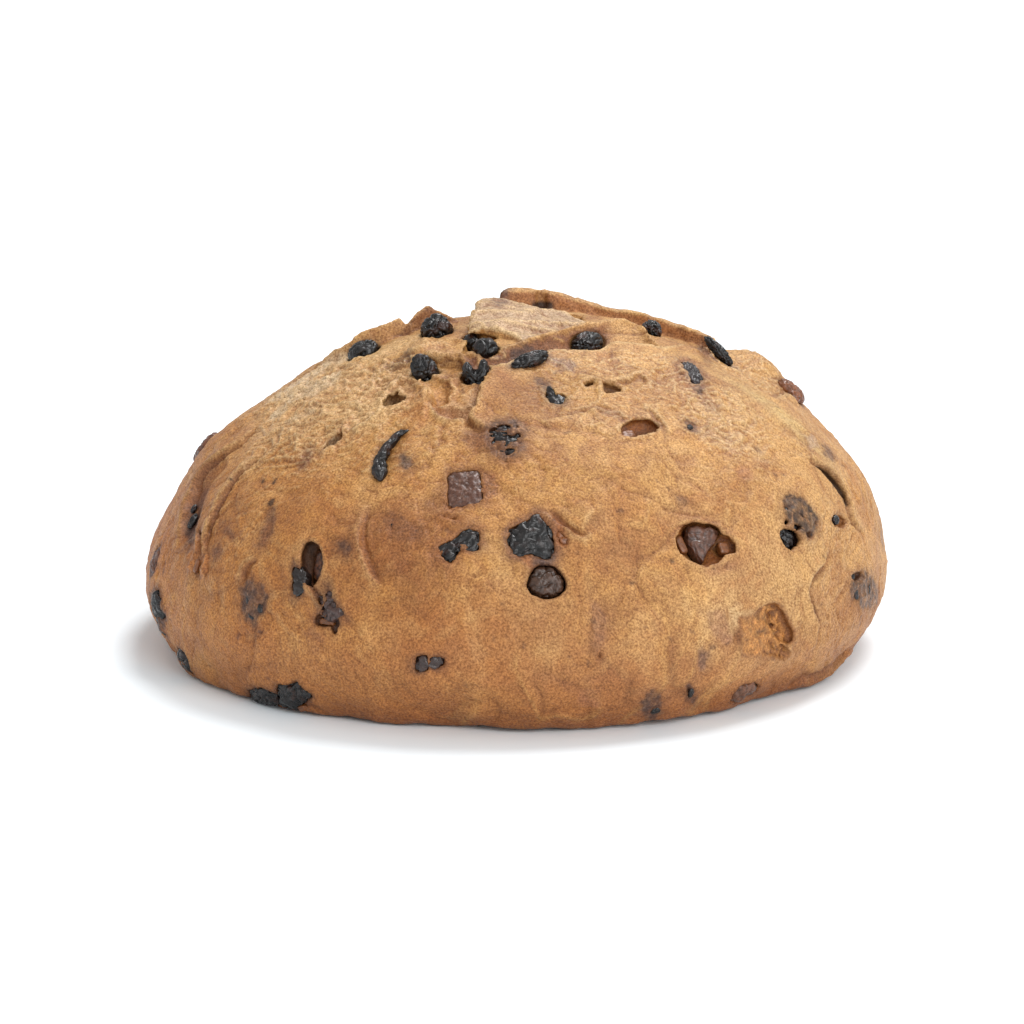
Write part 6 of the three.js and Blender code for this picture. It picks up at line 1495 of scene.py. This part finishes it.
def crust_material():
    m, nt, sh = nodes_of("baked_crust")
    at = nt.nodes.new("ShaderNodeAttribute")
    at.attribute_name = "tint"
    mask = nt.nodes.new("ShaderNodeAttribute")
    mask.attribute_name = "mask"  # gloss, cut face
    sep = nt.nodes.new("ShaderNodeSeparateColor")
    nt.links.new(mask.outputs["Color"], sep.inputs[0])
    gloss, cutk = sep.outputs[0], sep.outputs[1]
    co = nt.nodes.new("ShaderNodeTexCoord").outputs["Object"]
    grain = add_noise(nt, co, 1850, 3.0, 0.7)
    blotch = add_noise(nt, co, 420, 3.0, 0.6)
    fleck = add_noise(nt, co, 1500, 2.0, 0.5)
    speck_ = add_noise(nt, co, 1000, 1.0, 0.5)
    dark_ = blend_(nt, "MULTIPLY", 1.0, at.outputs["Color"], (0.60, 0.48, 0.34))
    bright = blend_(nt, "MULTIPLY", 1.0, at.outputs["Color"], (1.42, 1.40, 1.30))
    col = blend_(nt, "MIX", remap(nt, grain, 0.36, 0.64, 0.0, 1.0), dark_, bright)
    col = blend_(nt, "MULTIPLY", 1.0, col, gray(nt, remap(nt, blotch, 0.30, 0.70, 0.94, 1.06)))
    pale = remap(nt, fleck, 0.58, 0.74, 0.0, 0.30)
    col = blend_(nt, "MIX", pale, col, blend_(nt, "MULTIPLY", 1.0, at.outputs["Color"], (1.5, 1.6, 1.7)))
    brown = remap(nt, speck_, 0.64, 0.76, 0.0, 0.5)
    col = blend_(nt, "MULTIPLY", brown, col, (0.62, 0.50, 0.40))
    # fine pores on the cut faces
    vor = nt.nodes.new("ShaderNodeTexVoronoi")
    vor.inputs["Scale"].default_value = 780
    nt.links.new(co, vor.inputs["Vector"])
    pore = math_(nt, "MULTIPLY", remap(nt, vor.outputs["Distance"], 0.10, 0.30, 0.55, 0.0), cutk)
    col = blend_(nt, "MULTIPLY", pore, col, (0.55, 0.47, 0.42))
    nt.links.new(col, sh.inputs["Base Color"])
    rough = math_(nt, "SUBTRACT", remap(nt, grain, 0.3, 0.7, 0.62, 0.42), math_(nt, "MULTIPLY", gloss, 0.30))
    nt.links.new(rough, sh.inputs["Roughness"])
    sh.inputs["Specular IOR Level"].default_value = 0.36
    h = math_(nt, "ADD", math_(nt, "MULTIPLY", grain, 0.7), math_(nt, "MULTIPLY", blotch, 0.8))
    h = math_(nt, "SUBTRACT", h, math_(nt, "MULTIPLY", pore, 0.6))
    bump = nt.nodes.new("ShaderNodeBump")
    bump.inputs["Strength"].default_value = 0.75
    bump.inputs["Distance"].default_value = 0.00045
    nt.links.new(h, bump.inputs["Height"])
    nt.links.new(bump.outputs[0], sh.inputs["Normal"])
    return m


def fruit_material(name, rough, grain_scale, bump_depth, coat):
    m, nt, sh = nodes_of(name)
    at = nt.nodes.new("ShaderNodeAttribute")
    at.attribute_name = "tint"
    co = nt.nodes.new("ShaderNodeTexCoord").outputs["Object"]
    g = add_noise(nt, co, grain_scale, 3.0, 0.6)
    b = add_noise(nt, co, grain_scale * 0.32, 2.0, 0.5)
    col = blend_(nt, "MULTIPLY", 1.0, at.outputs["Color"], gray(nt, remap(nt, g, 0.3, 0.7, 0.72, 1.32)))
    col = blend_(nt, "MULTIPLY", 1.0, col, gray(nt, remap(nt, b, 0.3, 0.7, 0.80, 1.2)))
    nt.links.new(col, sh.inputs["Base Color"])
    nt.links.new(remap(nt, b, 0.3, 0.7, rough - 0.08, rough + 0.14), sh.inputs["Roughness"])
    sh.inputs["Specular IOR Level"].default_value = 0.5
    sh.inputs["Coat Weight"].default_value = coat
    sh.inputs["Coat Roughness"].default_value = 0.22
    bump = nt.nodes.new("ShaderNodeBump")
    bump.inputs["Strength"].default_value = 0.6
    bump.inputs["Distance"].default_value = bump_depth
    nt.links.new(g, bump.inputs["Height"])
    nt.links.new(bump.outputs[0], sh.inputs["Normal"])
    return m


CRUST_MAT = crust_material()
RAISIN_MAT = fruit_material("raisin_skin", 0.27, 1700, 0.00022, 0.0)
PEEL_MAT = fruit_material("candied_peel", 0.32, 1300, 0.00025, 0.1)
SUGAR_MAT = fruit_material("sugared_peel", 0.30, 2100, 0.0003, 0.2)


def paint_mesh(me, name, rgb, alpha=None):
    at = me.attributes.new(name=name, type="FLOAT_COLOR", domain="POINT")
    data = np.ones((len(rgb), 4), np.float32)
    data[:, :3] = rgb
    if alpha is not None:
        data[:, 3] = alpha
    at.data.foreach_set("color", data.ravel())


def dome_map(me):
    """A map for the loaf: the dome spread round its top, and the foot beside it."""
    n = len(me.vertices)
    co = np.empty(n * 3, np.float32)
    me.vertices.foreach_get("co", co)
    co = co.reshape(-1, 3) * 1000.0
    loops = np.empty(len(me.loops), np.int32)
    me.loops.foreach_get("vertex_index", loops)
    low = (co[:, 2] < 0.35)
    d = co - np.array([0, 0, 14.0])
    ang = np.arccos(np.clip(d[:, 2] / np.maximum(np.linalg.norm(d, axis=1), 1e-6), -1, 1))
    r = ang / math.radians(103) * 0.5
    a = np.arctan2(co[:, 1], co[:, 0])
    top = np.stack([0.5 + r * np.cos(a), 0.5 + r * np.sin(a)], 1)
    foot = np.stack([0.075 + co[:, 0] / 210 * 0.14, 0.075 + co[:, 1] / 210 * 0.14], 1)
    faces = loops.reshape(-1, 4)
    is_low = low[faces].all(1)
    uv = np.where(np.repeat(is_low, 4)[:, None], foot[loops], top[loops])
    layer = me.uv_layers.new(name="OFBake")
    layer.uv.foreach_set("vector", np.clip(uv, 0, 1).astype(np.float32).ravel())


def show(name, me, material):
    ob = bpy.data.objects.new(name, me)
    bpy.context.scene.collection.objects.link(ob)
    me.materials.append(material)
    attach(ob, "root")
    return ob


loaf_mesh = make_mesh("loaf_crust", V, quads=Q)
paint_mesh(loaf_mesh, "tint", C)
paint_mesh(loaf_mesh, "mask", np.stack([GLOSS, CUTK, SKIN], 1))
dome_map(loaf_mesh)
loaf = show("loaf_crust", loaf_mesh, CRUST_MAT)
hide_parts("loaf")
print("loaf at", round(time.time() - T0, 1), "s")


# ----------------------------------------------------------------- the fruit
def ball_mesh(level):
    bm = bmesh.new()
    bmesh.ops.create_icosphere(bm, subdivisions=level, radius=1.0)
    v = np.array([x.co[:] for x in bm.verts])
    f = np.array([[q.index for q in p.verts] for p in bm.faces])
    bm.free()
    return v, f


BALL4, BALL3 = ball_mesh(5), ball_mesh(4)
# raisin colours: the fold colour is painted shade in the wrinkle grooves, the crown colour a painted highlight on the
# crowns between them
RAISIN_TONE, RAISIN_FOLD_SHADE, RAISIN_CROWN_HIGHLIGHT = tone(22, 18, 18), tone(10, 8, 8), tone(52, 43, 41)
# peel colours: the fold colour is painted shade in the grooves of torn bits, and darker veins on diced ones
PEEL_TONE, PEEL_VEIN_AND_FOLD_SHADE, PEEL_HIGH = tone(108, 62, 38), tone(62, 34, 24), tone(156, 98, 60)


def shape_fruit(style, center, F, radii, seed, level=None, notch=False, tab=None, power=3.0, own=None):
    """A shrivelled raisin, a diced piece of peel, or a torn bit."""
    U, faces = (level or BALL4)
    rmin, rmax = min(radii), max(radii)
    S = U * np.asarray(radii) / rmin  # features keep their size over the long side
    if tab is not None:
        flat = np.hypot(U[:, 0], U[:, 1])
        far = np.interp(np.arctan2(U[:, 1], U[:, 0]), ANG, tab)
        t = 1 / (flat ** power + np.abs(U[:, 2]) ** power) ** (1 / power)
        B = np.stack([U[:, 0] * t * far, U[:, 1] * t * far, U[:, 2] * t * radii[2]], 1)
        w = B + 0.7 * np.stack([noise(B, 3.0, seed), noise(B, 3.0, seed + 1), noise(B, 3.0, seed + 2)], 1)
        upper = smooth(-0.2, 0.5, B[:, 2] / radii[2])
        if style == "raisin":
            fold, fold2 = ridged(w, 2.5, seed + 3, 1.7), ridged(w * [1.2, 0.8, 1], 1.3, seed + 4, 1.5)
            P = B * (1.02 - 0.07 * fold - 0.04 * fold2)[:, None]
            P[:, 2] -= upper * (0.55 * fold + 0.25 * fold2 - 0.25 * noise(B, 3.5, seed + 5))
            # painted shade in the wrinkle grooves, painted highlights on the crowns
            color = mix(np.tile(RAISIN_TONE, (len(U), 1)), RAISIN_FOLD_SHADE, fold)
            color = mix(color, RAISIN_CROWN_HIGHLIGHT, 0.5 * smooth(0.35, 0.0, fold) * smooth(0.0, 0.6, noise(B, 1.6, seed + 6)))
            color = mix(color, tone(84, 46, 32), 0.4 * smooth(0.2, 0.8, noise(B, 2.4, seed + 7)))
        else:
            fold, fold2 = ridged(w, 2.2, seed + 3, 1.6), ridged(w, 1.1, seed + 4, 1.3)
            P = B * (1.0 - 0.03 * fold)[:, None]
            P[:, 2] -= upper * (0.28 * fold + 0.18 * fold2 - 0.16 * noise(B, 0.8, seed + 5))
            # painted shade in the grooves
            color = mix(np.tile(PEEL_TONE, (len(U), 1)), PEEL_VEIN_AND_FOLD_SHADE, smooth(0.1, 0.8, fold))
            color = mix(color, PEEL_HIGH, 0.45 * smooth(0.25, 0.7, noise(B, 1.0, seed + 6)))
            if style == "sugar":
                color = mix(color, tone(92, 54, 36), 0.75)
                # pale specks: painted glints
                color = mix(color, tone(176, 140, 120), 0.6 * smooth(0.45, 0.62, noise(B, 0.62, seed + 8)))
        if own is not None:
            color = mix(color, own, 0.72) * (1 + 0.25 * noise(B, 1.2, seed + 9))[:, None]
            # painted shade in the grooves of fruit with its own colour
            color = mix(color, own * 0.4, 0.7 * fold)
        return center + P @ F, faces, np.clip(color, 0.002, 0.9)
    if style == "raisin":
        warp = U + 0.28 * np.stack([noise(U * 3, 2.0, seed), noise(U * 3, 2.0, seed + 1), noise(U * 3, 2.0, seed + 2)], 1)
        W = warp * np.asarray(radii) / rmin
        fold = ridged(W, 0.85, seed + 3, 2.0)
        fold2 = ridged(W, 0.45, seed + 4, 1.6)
        k = 1.03 - 0.24 * fold - 0.09 * fold2 + 0.07 * noise(S, 1.3, seed + 5)
        P = U * np.asarray(radii) * k[:, None]
        # painted shade in the wrinkle grooves, painted highlights on the crowns
        color = mix(np.tile(RAISIN_TONE, (len(U), 1)), RAISIN_FOLD_SHADE, fold)
        color = mix(color, RAISIN_CROWN_HIGHLIGHT, 0.4 * smooth(0.35, 0.0, fold) * smooth(0.0, 0.6, noise(S, 0.8, seed + 6)))
        color = mix(color, tone(84, 46, 32), 0.45 * smooth(0.2, 0.8, noise(S, 1.1, seed + 7)))
    else:
        # pulled out toward a block, with worn corners and a sugary grain
        q = 4.5
        k = 1 / (np.abs(U) ** q).sum(1) ** (1 / q)
        k = k * (1.03 + 0.05 * noise(S, 1.1, seed)) - 0.03
        if style == "sugar":
            k = k - 0.06 * ridged(S, 0.36, seed + 3, 1.3) + 0.035 * noise(S, 0.2, seed + 4)
        else:
            k = k - 0.09 * ridged(S, 0.7, seed + 3, 1.8) + 0.02 * noise(S, 0.3, seed + 4)
        P = U * np.asarray(radii) * 0.93 * k[:, None]
        color = mix(np.tile(PEEL_TONE, (len(U), 1)), PEEL_VEIN_AND_FOLD_SHADE, smooth(0.1, 0.7, ridged(S, 0.5, seed + 5, 1.0)))
        color = mix(color, PEEL_HIGH, 0.55 * smooth(0.25, 0.7, noise(S, 0.32, seed + 6)))
        if style == "sugar":
            color = mix(color, tone(78, 46, 42), 0.6)
            # pale specks: painted glints on the sugary grain
            color = mix(color, tone(226, 196, 182), 0.75 * smooth(0.42, 0.62, noise(S, 0.17, seed + 8)))
    if notch:  # two lobes above, one foot below
        y = -P[:, 1] / radii[1]
        P[:, 0] *= 0.72 + 0.42 * smooth(-0.4, 0.7, y)
        P[:, 1] += 0.62 * radii[1] * np.exp(-(P[:, 0] / (0.34 * radii[0])) ** 2) * smooth(0.25, 1.0, y)
    return center + P @ F, faces, np.clip(color, 0.002, 0.9)


PEEL_STYLE = {"peel_01": "sugar"}
OWN_TONE = {"raisin_14": tone(92, 62, 44), "raisin_19": tone(92, 64, 56), "peel_02": tone(168, 98, 44), "peel_06": tone(104, 68, 52), "peel_08": tone(124, 80, 54), "raisin_17": tone(62, 52, 54), "raisin_15": tone(70, 48, 42), "raisin_18": tone(46, 34, 30), "peel_03": tone(60, 38, 26), "peel_05": tone(132, 76, 46), "peel_07": tone(150, 86, 42)}
for f in FRUIT:
    style = "raisin" if f.style == "raisin" else PEEL_STYLE.get(f.name, "peel")
    P, faces, color = shape_fruit(style, f.center, f.F, f.radii, f.seed, BALL4 if max(f.radii) > 3.4 else BALL3, notch=f.name == "raisin_04", tab=f.tab, power=f.power, own=OWN_TONE.get(f.name))
    P[:, 2] = np.maximum(P[:, 2], 0.4)
    me = make_mesh("fruit_" + f.name, P, tris=faces)
    paint_mesh(me, "tint", color)
    ob = show("fruit_" + f.name, me, {"raisin": RAISIN_MAT, "peel": PEEL_MAT, "sugar": SUGAR_MAT}[style])
    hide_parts(f.name)
print("fruit at", round(time.time() - T0, 1), "s")

# the long curved raisin: a swept body with a wrinkled skin
S_PATH = hit([(408, 430.5), (400, 433), (392.5, 441), (386, 449.5), (381, 459), (379.5, 470), (380.5, 480)])
S_LINE = curve(S_PATH, 0.45)
S_N = normals_of(S_LINE)
steps, sides = len(S_LINE), 40
tt = np.linspace(0, 1, steps)
rad_ = np.interp(tt, [0, 0.08, 0.2, 0.35, 0.5, 0.75, 0.92, 1.0], [0.45, 0.95, 1.15, 1.3, 1.6, 2.0, 1.8, 0.8])
tang = np.gradient(S_LINE, axis=0)
tang /= np.linalg.norm(tang, axis=1, keepdims=True)
side = np.cross(tang, S_N)
side /= np.linalg.norm(side, axis=1, keepdims=True)
ang = np.linspace(0, 2 * math.pi, sides, endpoint=False)
ring = side[:, None, :] * np.cos(ang)[None, :, None] + S_N[:, None, :] * np.sin(ang)[None, :, None]
base = S_LINE - 0.1 * S_N
P = (base[:, None, :] + ring * rad_[:, None, None]).reshape(-1, 3)
w = 1 - 0.34 * ridged(P * [1.2, 1, 0.7], 2.1, 401, 1.6) - 0.12 * ridged(P, 1.0, 404, 1.5) + 0.16 * noise(P, 2.4, 405) + 0.06 * noise(P, 0.9, 402)
P = (base[:, None, :] + ring * (rad_[:, None] * w.reshape(steps, sides))[:, :, None]).reshape(-1, 3)
P = np.vstack([P, base[0] - tang[0] * 0.4, base[-1] + tang[-1] * 0.5])
quads_, tris_ = [], []
for k in range(steps - 1):
    for j in range(sides):
        j2 = (j + 1) % sides
        quads_.append((k * sides + j, k * sides + j2, (k + 1) * sides + j2, (k + 1) * sides + j))
for j in range(sides):
    j2 = (j + 1) % sides
    tris_.append((steps * sides, j2, j))
    tris_.append((steps * sides + 1, (steps - 1) * sides + j, (steps - 1) * sides + j2))
me = make_mesh("fruit_raisin_32", P, quads=np.array(quads_), tris=np.array(tris_))
me.flip_normals()
fold = ridged(P * [1.2, 1, 0.7], 2.1, 401, 1.6)
# painted shade in the wrinkle grooves of the long raisin
paint_mesh(me, "tint", np.clip(mix(mix(np.tile(RAISIN_TONE, (len(P), 1)), RAISIN_FOLD_SHADE, fold), tone(84, 46, 32), 0.3 * smooth(0.0, 0.8, noise(P, 3, 403))), 0.002, 0.9))
ob = show("fruit_raisin_32", me, RAISIN_MAT)
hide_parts("raisin_32")

# smaller torn bits of raisin that show in pits and between folds
# place, half width, half height, half depth, roll, how far it stands out
BITS = [
    ((837, 519), 1.5, 1.5, 1.2, 0, 0.5), ((857, 595), 1.2, 2.6, 1.0, 10, 0.3), ((869, 589), 0.9, 2.2, 0.9, 0, 0.3), ((854, 577), 1.6, 1.0, 0.9, 25, 0.0),
    ((456, 417), 1.2, 0.8, 0.8, 0, -0.6), ((787, 510), 1.2, 0.8, 0.8, 30, 0.2), ((797, 527), 1.2, 1.0, 0.9, 0, -0.4), ((791, 540), 2.2, 2.4, 1.4, 0, -1.2),
    ((158, 553), 1.0, 1.2, 0.8, 0, 0.5), ((648, 700), 1.3, 1.8, 0.9, 0, 0.15), ((656, 712), 1.6, 1.0, 0.9, 20, 0.15), ((189, 519), 1.3, 2.4, 1.0, 12, -0.3), ((191, 507), 0.8, 1.4, 0.8, 15, -0.2),
    ((248, 598), 1.0, 2.2, 0.7, 6, 0.1), ((259, 608), 1.0, 1.5, 0.7, 30, 0.1), ((250, 616), 1.5, 0.9, 0.7, -30, 0.1), ((702, 655), 0.8, 1.3, 0.6, 0, 0.1), ((692, 694), 0.8, 1.6, 0.7, 0, 0.1),
    ((345, 549), 1.4, 1.9, 1.2, 10, 0.3), ((690, 426), 1.2, 1.0, 0.7, 20, 0.15), ((394, 524), 1.6, 1.0, 0.6, 10, 0.0), ((412, 531), 1.8, 1.1, 0.6, 20, 0.0),
]
BACK_BITS = [(128, 30, 1.8, 1.0, 1.2, 30, -0.4), (-165, 22, 2.0, 0.9, 1.2, -20, -0.3), (-112, 18, 1.0, 1.6, 1.0, 0, -0.2), (150, 40, 1.3, 1.6, 0.9, 0, 0.3), (-148, 58, 1.5, 1.0, 0.9, 20, 0.3), (118, 50, 1.4, 1.0, 0.8, 0, 0.2),
             (100, 44, 1.6, 1.2, 0.9, 30, 0.2), (122, 24, 2.0, 1.4, 1.0, 10, 0.3), (136, 48, 1.8, 1.3, 1.0, -30, 0.25), (146, 34, 1.3, 2.2, 0.9, 15, 0.3), (174, 38, 1.3, 2.0, 0.9, 25, 0.2), (-172, 68, 1.8, 1.3, 0.9, 40, 0.4),
             (-163, 30, 1.7, 2.4, 1.0, -10, 0.3), (-143, 40, 1.4, 2.3, 1.0, 30, 0.35), (-118, 52, 1.4, 1.8, 0.9, -10, 0.25), (-106, 36, 2.3, 1.6, 1.0, 20, 0.3), (110, 12, 1.7, 1.2, 0.8, 0, 0.25), (162, 64, 2.6, 1.9, 1.3, 20, 0.6),
             (-178, 20, 2.4, 1.8, 1.2, -15, 0.5), (-150, 50, 2.2, 2.6, 1.3, 0, 0.6), (132, 70, 2.6, 1.9, 1.3, -20, 0.6), (-130, 32, 2.3, 1.7, 1.2, 10, 0.5), (104, 52, 2.2, 1.7, 1.2, 0, 0.5), (154, 20, 2.2, 1.6, 1.2, 25, 0.5),
             (168, 70, 1.0, 1.2, 0.8, 0, 0.2), (-120, 26, 1.1, 1.7, 0.8, 10, 0.3)]
bits = [(hit([px])[0], r, roll, out) for px, *r, roll, out in BITS] + [(on_dome(az, zz), r, roll, out) for az, zz, *r, roll, out in BACK_BITS]
vs, fs, cs, base_i = [], [], [], 0
for n_, (p, r, roll, out) in enumerate(bits):
    F = frame_at(p, roll)
    P, faces, color = shape_fruit("raisin", p + F[2] * (out - r[2]), F, r, 500 + 11 * n_, BALL3)
    vs.append(P); fs.append(faces + base_i); cs.append(color)
    base_i += len(P)
me = make_mesh("raisin_bits", np.vstack(vs), tris=np.vstack(fs))
paint_mesh(me, "tint", np.vstack(cs))
show("raisin_bits", me, RAISIN_MAT)

# small glassy bits of candied peel
PEEL_BITS = [((727, 546), 1.6, 1.9, 1.2, 0, -1.0), ((629, 431), 2.2, 1.6, 1.4, 4, -0.9), ((303, 709), 1.8, 1.0, 0.8, 20, 0.2), ((196, 566), 0.9, 2.0, 0.7, 10, 0.3), ((324, 622), 2.4, 0.9, 0.9, 0, -1.0), ((684, 541), 1.2, 2.8, 1.2, 10, -1.6)]
vs, fs, cs, base_i = [], [], [], 0
for n_, (px, *r, roll, out) in enumerate(PEEL_BITS):
    p = hit([px])[0]
    F = frame_at(p, roll)
    P, faces, color = shape_fruit("peel", p + F[2] * (out - r[2]), F, r, 700 + 13 * n_, BALL3)
    color = mix(color, tone(150, 88, 36), 0.6)
    vs.append(P); fs.append(faces + base_i); cs.append(color)
    base_i += len(P)
me = make_mesh("peel_bits", np.vstack(vs), tris=np.vstack(fs))
paint_mesh(me, "tint", np.vstack(cs))
show("peel_bits", me, PEEL_MAT)


# ------------------------------------------------------- floor, light, camera
me = bpy.data.meshes.new("floor")
me.from_pydata([(-4, -4, 0), (4, -4, 0), (4, 4, 0), (-4, 4, 0)], [], [(0, 1, 2, 3)])
floor = bpy.data.objects.new("floor", me)
bpy.context.scene.collection.objects.link(floor)
m, nt, sh = nodes_of("plain_floor")
sh.inputs["Base Color"].default_value = (0.885, 0.94, 0.975, 1)
sh.inputs["Roughness"].default_value = 0.9
sh.inputs["Specular IOR Level"].default_value = 0.1
me.materials.append(m)

world = bpy.data.worlds.new("studio")
bpy.context.scene.world = world
world.use_nodes = True
bg = world.node_tree.nodes["Background"]
bg.inputs[0].default_value = (1, 1, 1, 1)
bg.inputs[1].default_value = 0.70
# the room is dimmer than the white that is seen behind the loaf
seen = world.node_tree.nodes.new("ShaderNodeLightPath")
white = world.node_tree.nodes.new("ShaderNodeBackground")
white.inputs[1].default_value = 1.0
either = world.node_tree.nodes.new("ShaderNodeMixShader")
world.node_tree.links.new(seen.outputs["Is Camera Ray"], either.inputs[0])
world.node_tree.links.new(bg.outputs[0], either.inputs[1])
world.node_tree.links.new(white.outputs[0], either.inputs[2])
world.node_tree.links.new(either.outputs[0], world.node_tree.nodes["World Output"].inputs[0])


def sun(name, toward, strength, spread):
    d = bpy.data.lights.new(name, "SUN")
    d.energy, d.angle = strength, math.radians(spread)
    ob = bpy.data.objects.new(name, d)
    ob.rotation_euler = Vector(toward).to_track_quat("Z", "Y").to_euler()
    bpy.context.scene.collection.objects.link(ob)


sun("top_light", (0.30, 0.42, 1.0), 2.10, 26)
sun("front_light", (0.62, -1.0, 0.62), 1.62, 40)

cam = bpy.data.cameras.new("camera")
cam.sensor_width = 36.0
cam.lens = CAM_F / 1024 * 36.0
cam.clip_start, cam.clip_end = 0.01, 50
eye = bpy.data.objects.new("camera", cam)
eye.location = CAM_POS * 0.001
eye.rotation_euler = (math.pi / 2 - CAM_EL, 0, 0)
bpy.context.scene.collection.objects.link(eye)
bpy.context.scene.camera = eye
bpy.context.scene.view_settings.view_transform = "Standard"

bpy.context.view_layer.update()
print("scene at", round(time.time() - T0, 1), "s")
